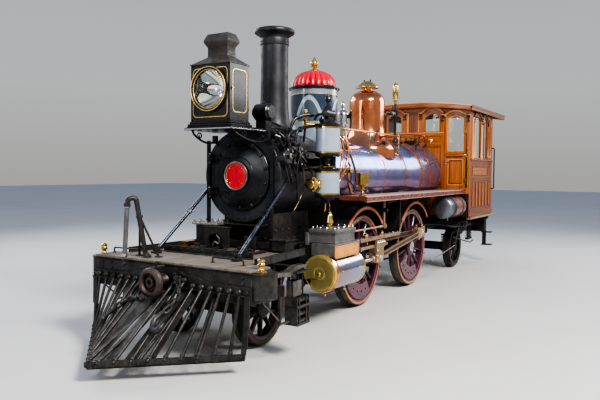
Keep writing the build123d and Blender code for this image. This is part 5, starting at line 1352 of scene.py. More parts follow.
# bracket: two webs and a pad with bolts
for z in (1.900, 1.976):
    p.box(1.262, 1.358, 0.46, 0.752, z, z + 0.022, BLACK, 0.004)
p.box(1.256, 1.364, 0.474, 0.505, 1.872, 2.048, BLACK, 0.004)
p.box(1.30, 1.32, 0.49, 0.745, 1.905, 1.995, BLACK, 0.004)
for x in (1.275, 1.345):
    for z in (1.888, 2.034):
        p.bolt((x, 0.505, z), (0, 1, 0), 0.010, 0.012, IRON)
p.make("chassis", ["air_compressor"])

p = Piece("compressor_strainer")
# brass strainer on the inlet
p.box(1.385, 1.535, 0.630, 0.770, 1.628, 1.758, BRASS, 0.022)
p.cyl((1.46, 0.60, 1.693), (1.46, 0.802, 1.693), 0.050, BRASS, 24, 0.006)
p.cyl((1.375, 0.70, 1.693), (1.552, 0.70, 1.693), 0.052, BRASS, 24, 0.006)
p.cyl((1.46, 0.70, 1.605), (1.46, 0.70, 1.775), 0.040, BRASS, 24, 0.006)
for dy, dz in ((-0.035, -0.035), (0.035, -0.035), (0.035, 0.035), (-0.035, 0.035)):
    p.cyl((1.5345, 0.70 + dy * 1.3, 1.693 + dz * 1.3), (1.5405, 0.70 + dy * 1.3, 1.693 + dz * 1.3), 0.011, BLACK, 12)
p.tube(bent([(1.46, 0.70, 1.77), (1.46, 0.68, 1.83), (1.40, 0.60, 1.86), (1.35, 0.52, 1.86)], 0.03), 0.013, BLACK, 10)
p.make("chassis")

RODDULL = metal("dull_rod", (0.34, 0.33, 0.31), (0.20, 0.19, 0.18), (0.28, 0.45), 9.0)
WIREM = metal("old_wire", (0.26, 0.19, 0.12), (0.15, 0.11, 0.075), (0.38, 0.58), 9.0)
p = Piece("smokebox_pipes")
# pipework between the smokebox and the compressor
PB = BLACK
runs = [
    ([(1.30, 0.60, 2.52), (1.42, 0.50, 2.50), (1.52, 0.44, 2.42), (1.58, 0.42, 2.22)], 0.020),
    ([(1.20, 0.62, 2.40), (1.40, 0.52, 2.36), (1.52, 0.50, 2.30), (1.56, 0.49, 2.08)], 0.018),
    ([(1.44, 0.52, 2.33), (1.58, 0.47, 2.30), (1.66, 0.46, 2.20), (1.66, 0.50, 1.98), (1.60, 0.545, 1.80)], 0.016),
    ([(1.62, 0.44, 2.32), (1.80, 0.38, 2.34), (1.86, 0.34, 2.30), (1.86, 0.34, 2.22)], 0.015),
    ([(1.34, 0.66, 1.86), (1.46, 0.60, 1.90), (1.52, 0.57, 1.98), (1.52, 0.53, 2.12)], 0.014),
    ([(1.28, 0.66, 2.06), (1.44, 0.60, 2.08), (1.54, 0.56, 2.02), (1.60, 0.555, 1.86), (1.60, 0.56, 1.62), (1.56, 0.56, 1.50)], 0.012),
    ([(1.66, 0.50, 2.05), (1.74, 0.50, 1.98), (1.72, 0.54, 1.80), (1.66, 0.57, 1.66)], 0.010),
]
for path, rad in runs:
    q = curve_pts(path, 6)
    p.tube(q, rad, PB, 12)
    for k in (0.06, 0.5, 0.94):
        i = int(k * (len(q) - 2))
        d = (q[i + 1] - q[i]).normalized()
        p.lathe([(rad, -0.018), (rad * 1.55, -0.016), (rad * 1.55, 0.016), (rad, 0.018)], q[i], d, PB, 6)
rng = random.Random(5)
for k in range(9):
    a = math.radians(24 + 7.5 * k)
    n = Vector((0, math.cos(a), math.sin(a)))
    x = 1.40 + 0.045 * (k % 4) + 0.02 * rng.random()
    b = Vector((x, 0, BZ)) + n * 0.53
    p.lathe([(0.036, 0), (0.036, 0.014), (0.022, 0.020), (0.020, 0.046), (0.030, 0.052), (0.030, 0.082), (0.014, 0.090), (0, 0.092)], b, n, PB, 14)
    h = b + n * 0.075
    t = Vector((1, 0, 0)) if k % 2 else Vector((0, -n.z, n.y))
    p.cyl(h - t * 0.045, h + t * 0.045, 0.0085, PB, 8)
# round valve on the smokebox side
VG = paint("valve_dark", (0.060, 0.060, 0.066), (0.030, 0.030, 0.034), (0.25, 0.42), 0.5, 6.0)
p.cyl((1.857, 0.500, 1.985), (1.857, 0.600, 2.004), 0.082, VG, 32, 0.010)
p.ring((1.857, 0.599, 2.004), (0, 1, 0.2), 0.070, 0.007, IRON, 40, 8)
p.cyl((1.857, 0.47, 1.980), (1.857, 0.632, 2.010), 0.026, PB, 18, 0.004)
p.lathe([(0.018, 0), (0.034, 0), (0.034, 0.016), (0.018, 0.020)], (1.857, 0.628, 2.009), (0, 1, 0.2), RODSTEEL, 6)
p.tube(curve_pts([(1.80, 0.55, 2.03), (1.74, 0.54, 2.09), (1.70, 0.50, 2.16), (1.66, 0.44, 2.26)], 6), 0.018, PB, 12)
p.tube(curve_pts([(1.86, 0.56, 1.92), (1.84, 0.57, 1.82), (1.78, 0.56, 1.72)], 6), 0.013, PB, 10)
# close-set valves, unions and bends between the barrel and the compressor
rng = random.Random(11)
for k in range(30):
    a, x = math.radians(rng.uniform(17, 60)), rng.uniform(1.46, 1.78)
    a2, x2, h = a + math.radians(rng.uniform(-13, 13)), x + rng.uniform(-0.10, 0.10), rng.uniform(0.035, 0.120)
    n, n2 = Vector((0, math.cos(a), math.sin(a))), Vector((0, math.cos(a2), math.sin(a2)))
    b_ = Vector((x, 0, BZ)) + n * 0.529
    e_ = Vector((x2, 0, BZ)) + n2 * (0.529 + h * 0.8)
    r_ = rng.uniform(0.008, 0.016)
    p.tube(bent([b_, b_ + n * h, e_], 0.022), r_, PB if k % 7 else RODDULL, 10)
    p.lathe([(r_, -0.010), (r_ * 1.9, -0.009), (r_ * 1.9, 0.009), (r_, 0.010)], b_ + n * (h * 0.55), n, PB, 6)
    d_ = (e_ - (b_ + n * h)).normalized()
    p.lathe([(0, -0.016), (r_ * 1.8, -0.016), (r_ * 2.1, -0.006), (r_ * 2.1, 0.010), (r_ * 1.2, 0.020), (0, 0.022)], e_, d_, PB if k % 5 else IRON, 10)
for a, x, t_ in ((0.50, 1.62, 0.6), (0.72, 1.56, -0.5), (0.95, 1.68, 0.3), (0.35, 1.54, 0.9)):
    n = Vector((0, math.cos(a), math.sin(a)))
    c_ = Vector((x, 0, BZ)) + n * 0.640
    d_ = Vector((math.cos(t_), -math.sin(a) * math.sin(t_), math.cos(a) * math.sin(t_)))
    p.tube([c_ - d_ * 0.075, c_ + d_ * 0.075], 0.0065, RODDULL, 8)
# small wire and drain line on the smokebox
p.tube(curve_pts([(1.46, 0.50, 1.96), (1.455, 0.548, 1.90), (1.440, 0.555, 1.77), (1.445, 0.556, 1.645), (1.535, 0.558, 1.517), (1.645, 0.558, 1.405), (1.66, 0.53, 1.36)], 6), 0.0060, WIREM, 6)
# brass cock beside the chimney
p.lathe([(0, 2.36), (0.030, 2.36), (0.032, 2.40), (0.020, 2.41), (0.020, 2.46), (0.026, 2.47), (0.026, 2.50), (0.018, 2.51), (0.018, 2.56), (0.024, 2.57), (0.020, 2.60), (0, 2.605)],
        (1.20, 0.42, 0), (0, 0, 1), BRASS, 20)
p.tube([(1.20, 0.40, 2.20), (1.20, 0.42, 2.37)], 0.014, PB, 10)
# turbine generator
gx, gy, gz = 1.80, 0.225, 2.520
p.cyl((gx, gy - 0.105, gz), (gx, gy + 0.095, gz), 0.100, PB, 40, 0.014)
p.cyl((gx, gy + 0.093, gz), (gx, gy + 0.112, gz), 0.082, PB, 36, 0.010)
p.cyl((gx, gy - 0.135, gz), (gx, gy - 0.104, gz), 0.065, PB, 32, 0.006)
for k in range(8):
    a = 2 * math.pi * k / 8
    p.bolt((gx + 0.086 * math.cos(a), gy + 0.0945, gz + 0.086 * math.sin(a)), (0, 1, 0), 0.0075, 0.010, IRON)
p.box(gx - 0.06, gx + 0.06, gy - 0.08, gy + 0.07, 2.25, 2.43, PB, 0.008)
p.tube(bent([(gx, gy - 0.02, gz + 0.08), (gx, gy - 0.02, gz + 0.125), (gx - 0.08, gy - 0.05, gz + 0.125), (gx - 0.12, gy - 0.10, gz - 0.05)], 0.04), 0.015, PB, 10)
p.tube(bent([(gx - 0.03, gy + 0.03, 2.43), (gx - 0.16, gy + 0.10, 2.38), (gx - 0.24, gy + 0.16, 2.30)], 0.04), 0.012, PB, 10)
p.make("chassis")

p = Piece("copper_pipes")
for path in ([(0.80, 0.45, 2.17), (0.795, 0.60, 2.275), (0.781, 0.69, 2.268), (0.735, 0.705, 2.140), (0.755, 0.70, 1.990), (0.806, 0.70, 1.862), (0.85, 0.62, 1.790), (0.90, 0.52, 1.740)],
             [(0.70, 0.44, 2.18), (0.690, 0.60, 2.285), (0.672, 0.69, 2.270), (0.600, 0.705, 2.150), (0.588, 0.70, 2.060), (0.634, 0.70, 1.927), (0.735, 0.70, 1.810), (0.819, 0.70, 1.724),
              (0.87, 0.62, 1.670), (0.92, 0.51, 1.640)]):
    q = curve_pts(path, 8)
    p.tube(q, 0.0175, COPPER, 14)
    for i in (2, len(q) - 3):
        d = (q[i + 1] - q[i]).normalized()
        p.lathe([(0.0175, -0.020), (0.028, -0.018), (0.028, 0.014), (0.0175, 0.016)], q[i], d, BRASS, 6)
p.make("chassis")

# ---------------------------------------------------------------------------
# Boiler with its bands, handrails and fittings
# ---------------------------------------------------------------------------
JK = Mat("boiler_russia_iron_and_painted_reflection", rough=0.1, metal=0.82)
n1 = JK.noise(1.3, 3.0, 0.5, (1.0, 0.4, 0.4))
c1 = JK.ramp(n1, ((0.35, (0.18, 0.21, 0.42)), (0.55, (0.23, 0.31, 0.60)), (0.75, (0.34, 0.19, 0.28))))
# purple-brown towards the bottom and blue mottle above: painted reflection of the ground below and the sky above
c1 = JK.mix(JK.height(1.38, 2.02), (0.33, 0.145, 0.150), c1)
JK.color(JK.mix(JK.span(JK.noise(9.0, 6.0), 0.5, 0.7, 0.0, 0.3), c1, (0.22, 0.11, 0.12)))
JK.rough(JK.span(JK.noise(5.0, 5.0), 0.3, 0.7, 0.13, 0.24))
JK.bump(JK.noise(3.0, 2.0), 0.05, 0.01)
JK = JK.m
BANDCU = metal("band_copper", (0.66, 0.27, 0.125), (0.46, 0.155, 0.070), (0.18, 0.34), 5.0, 0.03, 50.0, 0.85, ((0.38, 0.12, 0.06), 0.4))
p = Piece("boiler_detail")


p.lathe([(0.5725, -3.4975), (0.5725, -2.415), (0.565, -2.38), (0.507, -2.02), (0.4975, -1.985), (0.4975, 0.7485), (0, 0.7485)], (0, 0, BZ), (1, 0, 0), JK, 144)
for x, w, m_ in ((0.735, 0.030, BRASS), (-0.200, 0.044, BANDCU), (-1.100, 0.044, BANDCU), (-1.960, 0.044, BANDCU)):
    p.band((x, 0, BZ), (1, 0, 0), 0.49, 0.4998, -w / 2, w / 2, m_, 144, 0.001)
for x, w, m_ in ((-2.475, 0.115, BANDCU), (-2.92, 0.044, BANDCU), (-3.43, 0.044, BANDCU)):
    p.band((x, 0, BZ), (1, 0, 0), 0.565, 0.5748, -w / 2, w / 2, m_, 144, 0.001)
# firebox below the barrel, cladding seam and washout plugs
p.box(-3.449, -2.581, -0.339, 0.339, 0.702, 1.45, IRON, 0.01)
p.box(-3.40, -2.63, -0.30, 0.30, 0.445, 0.705, IRON, 0.01)
for s in (-1, 1):
    for x in (-3.35, -3.18, -3.02, -2.85, -2.68):
        for z in (0.80, 0.95, 1.10):
            p.rivet((x, s * 0.339, z), (0, s, 0), 0.013, IRON)
    for x in (-3.28, -2.76):
        n = Vector((0, s * math.cos(math.radians(28)), math.sin(math.radians(28))))
        p.bolt(Vector((x, 0, BZ)) + n * 0.5722, n, 0.024, 0.022, BRASS, 4)
for x in (-0.105, -0.98, -1.82):
    for s in (-1,):
        p.box(x - 0.02, x + 0.02, -0.03, 0.03, BZ - 0.515, BZ - 0.490, COPPER, 0.003)
p.make("chassis", ["boiler"])

p = Piece("handrails_detail")
for s in (-1, 1):
    p.tube([(0.020, s * 0.35, 2.44), (-3.4985, s * 0.35, 2.44)], 0.0135, BRASS, 16)
    p.ball((0.018, s * 0.35, 2.44), 0.024, BRASS, 16)
    for x in (0.0, -0.82, -1.95, -2.75):
        rr = 0.50 if x > -2.1 else 0.575
        n = Vector((0, s * 0.35, math.sqrt(rr * rr - 0.35 * 0.35))).normalized()
        b = Vector((x, 0, BZ)) + n * (rr - 0.003)
        e = Vector((x, s * 0.35, 2.44))
        d = (e - b).normalized()
        length = (e - b).length
        p.lathe([(0, 0), (0.026, 0), (0.026, 0.010), (0.014, 0.020), (0.009, length * 0.5), (0.011, length - 0.03), (0.019, length - 0.018), (0.0215, length), (0.019, length + 0.016), (0, length + 0.0205)],
                b, d, BRASS if x > -2 else IRON, 18)
    p.lathe([(0.0135, 0), (0.034, 0), (0.034, 0.008), (0.020, 0.016), (0.0135, 0.022)], (-3.4985, s * 0.35, 2.44), (1, 0, 0), BRASS, 20)
p.make("chassis", ["handrails"])

p = Piece("boiler_fittings")
# the rail's front end carried past the sand dome on the left side
p.tube([(0.042, 0.352, 2.44), (0.30, 0.405, 2.437), (0.70, 0.42, 2.43), (1.19, 0.42, 2.425)], 0.0125, BRASS, 12)
for x, y in ((0.72, 0.42),):
    p.tube([(x, y, 2.43), (x, y - 0.06, 2.20)], 0.010, BRASS, 8)
# sand pipes, oil lines and levers
for s in (-1, 1):
    p.tube(curve_pts([(0.27 - 0.16, s * 0.385, 2.235), (0.06, s * 0.47, 2.06), (0.02, s * 0.535, 1.80), (0.06, s * 0.53, 1.55), (0.09, s * 0.525, 1.485)], 6),
           0.015, IRON, 12)
    p.tube(curve_pts([(-3.49, s * 0.30, 2.52), (-2.6, s * 0.30, 2.50), (-1.95, s * 0.33, 2.45), (-1.90, s * 0.36, 2.39)], 6), 0.008, COPPER, 8)
# black lever that leans over the rail, with its link
p.box(-0.012, 0.012, -0.006, 0.006, 0.0, 0.22, BLACK, 0.003, Matrix.Translation((-0.86, 0.40, 2.30)) @ Matrix.Rotation(math.radians(-35), 4, "Y"))
p.tube([(-0.86, 0.37, 2.30), (-1.25, 0.37, 2.30), (-1.72, 0.40, 2.22)], 0.008, BLACK, 8)
p.box(-1.33, -1.25, 0.36, 0.41, 2.265, 2.325, BLACK, 0.006)
# clack valve and its pipe on both sides
for s in (-1, 1):
    n = Vector((0, s * math.cos(math.radians(8)), math.sin(math.radians(8))))
    b = Vector((0.30, 0, BZ)) + n * 0.497
    p.lathe([(0, 0), (0.055, 0), (0.055, 0.014), (0.034, 0.022), (0.034, 0.075), (0.042, 0.085), (0.042, 0.115), (0.022, 0.125), (0, 0.127)], b, n, BRASS, 24)
    p.tube(bent([tuple(b + n * 0.06), (0.30, s * 0.57, 1.68), (0.26, s * 0.585, 1.56), (0.22, s * 0.585, 1.545)], 0.04), 0.020, COPPER, 12)
# small valves and pipes in front of the cab
p.box(-3.42, -3.32, -0.06, 0.06, 2.352, 2.400, BLACK, 0.010)
p.cyl((-3.37, -0.12, 2.415), (-3.37, 0.12, 2.415), 0.026, BLACK, 20, 0.006)
for y in (-0.09, 0.09):
    p.lathe([(0.014, 0), (0.014, 0.030), (0.020, 0.034), (0.020, 0.046), (0.007, 0.050), (0.007, 0.066), (0.024, 0.070), (0.024, 0.077), (0, 0.079)], (-3.37, y, 2.435), (0, 0, 1), BLACK, 14)
    p.tube(bent([(-3.39, y, 2.41), (-3.45, y * 1.5, 2.41), (-3.4985, y * 1.6, 2.40)], 0.02), 0.008, COPPER, 8)
for x, y, d in ((-2.05, 0.36, 30), (-2.85, 0.35, -25), (-3.25, 0.34, 20)):
    # black handles beside the rail
    p.box(-0.010, 0.010, -0.006, 0.006, 0.0, 0.15, BLACK, 0.003, Matrix.Translation((x, y, 2.33)) @ Matrix.Rotation(math.radians(d), 4, "Y"))
    p.ball((x + 0.15 * math.sin(math.radians(d)), y, 2.33 + 0.15 * math.cos(math.radians(d))), 0.017, BLACK, 14)
    p.cyl((x, y - 0.03, 2.33), (x, y + 0.02, 2.33), 0.020, BLACK, 14)
p.make("chassis")

# ---------------------------------------------------------------------------
# Lubricator on the running board
# ---------------------------------------------------------------------------
p = Piece("lubricator_detail")
at = (0.565, 0.90, 0)
p.lathe([(0, 1.531), (0.050, 1.531), (0.050, 1.540), (0.022, 1.548), (0.018, 1.575), (0.026, 1.584), (0.034, 1.596), (0.034, 1.606), (0.022, 1.618), (0.020, 1.640), (0.034, 1.652),
         (0.052, 1.664), (0.072, 1.672), (0.080, 1.680), (0.080, 1.812), (0.088, 1.818), (0.088, 1.827), (0.060, 1.8295), (0, 1.8295)], at, (0, 0, 1), BRASS, 48)
for z in (1.70, 1.79):
    p.band((0.565, 0.90, z), (0, 0, 1), 0.078, 0.083, 0, 0.008, BRASS, 48, 0.001)
p.cyl((0.535, 0.85, 1.600), (0.595, 0.95, 1.600), 0.012, BLACK, 12)
p.box(0.550, 0.580, 0.945, 0.955, 1.575, 1.625, BLACK, 0.003)
p.tube(bent([(0.565, 0.875, 1.60), (0.565, 0.80, 1.60), (0.50, 0.74, 1.66), (0.42, 0.60, 1.75)], 0.03), 0.011, BLACK, 8)
p.make("chassis", ["lubricator"])

# ---------------------------------------------------------------------------
# Cab
# ---------------------------------------------------------------------------
VARN = dict(dark=(0.085, 0.022, 0.005), mid=(0.37, 0.105, 0.020), light=(0.56, 0.200, 0.045), coat=0.4, rough=0.28)
STILE = wood("wood_stile", "z", **VARN)
RAILY = wood("wood_rail_across", "y", **VARN)
RAILX = wood("wood_rail_along", "x", **VARN)
PALE = dict(dark=(0.36, 0.13, 0.035), mid=(0.74, 0.33, 0.09), light=(0.88, 0.50, 0.18), coat=0.4, rough=0.26)
PALEY = wood("wood_pale_across", "y", **PALE)
PALEZ = wood("wood_pale_upright", "z", **PALE)
DEEP = dict(dark=(0.060, 0.016, 0.005), mid=(0.19, 0.050, 0.011), light=(0.29, 0.090, 0.020), coat=0.4, rough=0.30)
DEEPZ = wood("wood_deep_upright", "z", **DEEP)
DEEPX = wood("wood_deep_along", "x", **DEEP)
# darker copy of the cab wood for the sides: painted shade
SIDE_SHADE_TONES = dict(dark=(0.060, 0.018, 0.006), mid=(0.21, 0.066, 0.018), light=(0.33, 0.115, 0.032), coat=0.35, rough=0.32)
SIDE_SHADE_Z = wood("wood_side_upright_painted_shade", "z", **SIDE_SHADE_TONES)
SIDE_SHADE_X = wood("wood_side_along_painted_shade", "x", **SIDE_SHADE_TONES)
TONGUE = wood("wood_tongue", "z", (0.12, 0.034, 0.009), (0.38, 0.130, 0.034), (0.52, 0.21, 0.065), 0.35, 0.30)
SILLW = wood("wood_sill_worn", "x", (0.10, 0.070, 0.045), (0.25, 0.18, 0.115), (0.36, 0.27, 0.18), 0.0, 0.55)
# dark paint of the drops and grab rail, also used for painted shade and painted shadow strips on the cab
BEAD_AND_SHADE = paint("drop_dark_and_painted_shade", (0.030, 0.018, 0.012), (0.015, 0.010, 0.008), (0.15, 0.3), 0.0, 8.0, Coat_Weight=0.4)
EAVE = wood("wood_eave_across", "y", (0.055, 0.018, 0.006), (0.27, 0.085, 0.022), (0.42, 0.155, 0.045), 0.35, 0.32)
ROOFING = paint("roof_canvas", (0.115, 0.050, 0.038), (0.080, 0.034, 0.027), (0.55, 0.75), 0.0, 5.0, ((0.16, 0.12, 0.10), 0.4), 0.3, 140.0)
FX, WB = -3.500, -3.545
RR, RC = (1.17 ** 2 + 0.095 ** 2) / (2 * 0.095), 0.0
RC = 3.060 + 0.095 - RR


def roof_z(y, drop=0.035):
    return RC + math.sqrt((RR - drop) ** 2 - y * y)


def eyebrow(p, y0, y1, z0, rise, w, x0, x1, mat):
    """Arched hood moulding over an opening."""
    yc, hw = (y0 + y1) / 2, (y1 - y0) / 2
    r = (hw * hw + rise * rise) / (2 * rise)
    a = math.degrees(math.asin(hw / r))
    outer = arc2(yc, z0 + rise - r, r, 90 - a, 90 + a, 22)
    inner = arc2(yc, z0 + rise - r, r - w, 90 + a, 90 - a, 22)
    p.prism(outer + inner, "yz", x0, x1, mat)
    rim = arc2(yc, z0 + rise - r, r - w * 0.30, 90 - a, 90 + a, 22)
    p.tube([(x1, y, z) for y, z in rim], w * 0.30, mat, 8)


def drop(p, y, z1, x, mat):
    """Small turned drop finial that hangs from z1."""
    p.lathe([(0, 0), (0.0150, 0), (0.0150, -0.012), (0.009, -0.018), (0.009, -0.028), (0.0160, -0.038), (0.0170, -0.050), (0.0140, -0.062), (0.007, -0.070), (0.007, -0.076),
             (0.0125, -0.084), (0.0135, -0.094), (0.010, -0.106), (0.004, -0.114), (0.003, -0.122), (0, -0.124)], (x, y, z1), (0, 0, 1), mat, 16)
    p.band((x, y, z1 - 0.072), (0, 0, 1), 0.005, 0.0095, 0, 0.005, GOLD, 16, 0.001)


def half_front(p):
    # sheet behind everything, with the window and door openings
    top = [(y, roof_z(y) - 0.003) for y in [1.098 - 1.098 * i / 16 for i in range(17)]]
    outer = [(0.0, 1.032), (1.098, 1.032)] + top
    holes = [arched(0.222, 0.533, 2.592, 2.958, 0.075), arched(0.621, 1.034, 1.541, 2.939, 0.070)]
    p.plate(outer, holes, "yz", WB + 0.001, FX - 0.012, STILE)
    f0, f1 = FX - 0.012, FX + 0.003
    # stiles and rails that stand over it
    p.box(f0, f1, 1.040, 1.099, 1.034, roof_z(1.09) - 0.01, STILE, 0.003)
    p.box(f0, f1, 0.552, 0.612, 1.50, 2.985, STILE, 0.004)
    p.box(f0, f1, 0.118, 0.208, 2.592, 2.985, STILE, 0.004)
    p.box(f0, f1, 0.612, 1.040, 1.440, 1.535, RAILY, 0.003)
    p.box(f0, f1, 0.0, 0.552, 2.520, 2.584, RAILY, 0.004)
    p.box(f0, f1 + 0.010, 0.0, 0.606, 2.574, 2.590, PALEY, 0.004)
    p.box(f0, f1, 0.0, 0.552, 2.430, 2.450, RAILY, 0.004)
    # wall from the small window up to the eaves
    arch_top = [(y, roof_z(y) - 0.02) for y in [1.040 - 1.040 * i / 14 for i in range(15)]]
    p.plate([(0.0, 2.990), (0.20, 2.990), (0.20, 3.000), (0.555, 3.000), (0.555, 2.985), (0.610, 2.985), (0.610, 2.975), (1.040, 2.975)] + arch_top, [], "yz", f0, f1 - 0.004, RAILY)
    eyebrow(p, 0.142, 0.610, 2.952, 0.122, 0.034, f0, f1 + 0.022, PALEY)
    eyebrow(p, 0.612, 1.044, 2.900, 0.098, 0.032, f0, f1 + 0.022, PALEY)
    # recessed field under each hood
    p.plate(arched(0.178, 0.575, 2.592, 3.030, 0.095), [arched(0.222, 0.533, 2.594, 2.956, 0.075)], "yz", f0, f0 + 0.006, STILE)
    # window frame
    line_frame(p, arched(0.222, 0.533, 2.592, 2.958, 0.075), 0.020, "yz", WB + 0.004, FX - 0.004, STILE)
    for y in (0.136, 0.178):
        drop(p, y, 2.955, f1 + 0.014, BEAD_AND_SHADE)
    for y in (0.568, 0.602):
        drop(p, y, 2.905, f1 + 0.014, BEAD_AND_SHADE)
    for y in (1.052, 1.084):
        drop(p, y, 2.885, f1 + 0.014, BEAD_AND_SHADE)
    for y0, y1, z in ((0.120, 0.196, 2.955), (0.552, 0.618, 2.905), (1.038, 1.098, 2.885)):
        p.box(f1 - 0.002, f1 + 0.032, y0, y1, z, z + 0.016, PALEY, 0.004)
    # dark panel between the small windows, in a moulded frame
    p.box(f0, f0 + 0.004, 0.0, 0.112, 2.600, 2.975, DEEPZ, 0.001)
    p.box(f0, f1, 0.096, 0.116, 2.598, 2.978, PALEZ, 0.003)
    # lower side of the wall beside the barrel
    p.box(f0, f1, 0.0, 0.552, 2.318, 2.424, RAILY, 0.003)
    for y0, y1, z0, z1 in ((0.640, 1.020, 1.075, 1.410),):
        p.box(f0, f0 + 0.006, y0, y1, z0, z1, DEEPZ, 0.002)
        line_frame(p, [(y0, z0), (y1, z0), (y1, z1), (y0, z1)], 0.014, "yz", f0, f0 + 0.012, RAILY)
    # roof-edge moulding under the fascia
    for k in range(12):
        y0, y1 = 1.098 * k / 12, 1.098 * (k + 1) / 12
        p.prism([(y0, roof_z(y0) - 0.052), (y1, roof_z(y1) - 0.052), (y1, roof_z(y1) - 0.018), (y0, roof_z(y0) - 0.018)], "yz", f0, f1 + 0.030, PALEY)


t = Piece("t")
half_front(t)
p = Piece("cab_front_detail")
p.join(t)
p.join(t, -1)
# painted shade on the wall below the running boards, and a painted shadow strip at the door post
for s in (-1, 1):
    p.box(FX + 0.002, FX + 0.006, s * 0.595, s * 1.096, 1.036, 1.452, BEAD_AND_SHADE, 0.001)
    p.box(FX + 0.0025, FX + 0.006, s * 1.042, s * 1.060, 1.555, 2.070, BEAD_AND_SHADE, 0.001)
# handrail post on the wall beside each door
for s in (-1, 1):
    p.tube(bent([(FX + 0.002, s * 1.075, 2.30), (FX + 0.045, s * 1.075, 2.30), (FX + 0.045, s * 1.075, 1.62), (FX + 0.002, s * 1.075, 1.62)], 0.03), 0.011, BRASS, 10)
p.make("chassis", ["cab_front"])

p = Piece("cab_windows")
for s in (-1, 1):
    loop = [(s * y, z) for y, z in arched(0.224, 0.531, 2.594, 2.956, 0.075)]
    p.plate(loop, [], "yz", -3.5275, -3.5225, GLASS)
p.make("chassis", ["cab_glass"])


def door(name, s):
    t = Piece("t")
    x0, x1 = -3.5425, -3.5035
    win = arched(0.677, 0.983, 2.232, 2.888, 0.055)
    outer = arched(0.6265, 1.0285, 1.5445, 2.9335, 0.068)
    t.plate(outer, [win, [(0.690, 1.610), (0.975, 1.610), (0.975, 2.085), (0.690, 2.085)]], "yz", x0, x1, STILE)
    t.box(x0 + 0.008, x1 - 0.012, 0.688, 0.977, 1.608, 2.087, DEEPZ, 0.001)
    t.box(x0 + 0.012, x1 - 0.006, 0.725, 0.940, 1.645, 2.050, STILE, 0.010)
    line_frame(t, [(0.690, 1.610), (0.975, 1.610), (0.975, 2.085), (0.690, 2.085)], 0.012, "yz", x0 + 0.004, x1 + 0.0015, PALEZ)
    line_frame(t, win, 0.011, "yz", x0 + 0.002, x1 + 0.0015, PALEZ)
    # middle rails with their shadow line
    t.box(x1 - 0.001, x1 + 0.008, 0.640, 1.012, 2.150, 2.196, RAILY, 0.004)
    t.box(x1 - 0.001, x1 + 0.004, 0.645, 1.008, 2.118, 2.140, BEAD_AND_SHADE, 0.002)
    t.box(x0 - 0.004, x0 + 0.001, 0.640, 1.012, 2.130, 2.196, RAILY, 0.002)
    for z in (1.700, 2.150, 2.600):
        t.cyl((-3.490, 1.040, z - 0.040), (-3.490, 1.040, z + 0.040), 0.009, BRASS, 14, 0.002)
        t.box(-3.505, -3.497, 0.984, 1.036, z - 0.036, z + 0.036, BRASS, 0.001)
        t.box(-3.4975, -3.4890, 1.015, 1.038, z - 0.034, z + 0.034, BRASS, 0.001)
        for dz in (-0.022, 0.022):
            t.rivet((-3.497, 1.000, z + dz), (1, 0, 0), 0.004, BRASS)
    # lever handle
    t.box(x1 - 0.001, x1 + 0.003, 0.640, 0.672, 1.985, 2.065, BRASS, 0.002)
    t.cyl((x1, 0.656, 2.030), (x1 + 0.030, 0.656, 2.030), 0.008, BRASS, 14)
    t.box(x1 + 0.024, x1 + 0.034, 0.648, 0.730, 2.022, 2.038, BRASS, 0.004)
    p = Piece(name + "_detail")
    p.join(t, s)
    p.make(name, [name])
    g = Piece(name + "_glass")
    loop = [(s * y, z) for y, z in arched(0.670, 0.990, 2.225, 2.895, 0.057)]
    g.plate(loop, [], "yz", -3.5275, -3.5225, GLASS)
    g.make(name, ["door_glass_left" if s > 0 else "door_glass_right"])


door("cab_door_left", 1)
door("cab_door_right", -1)


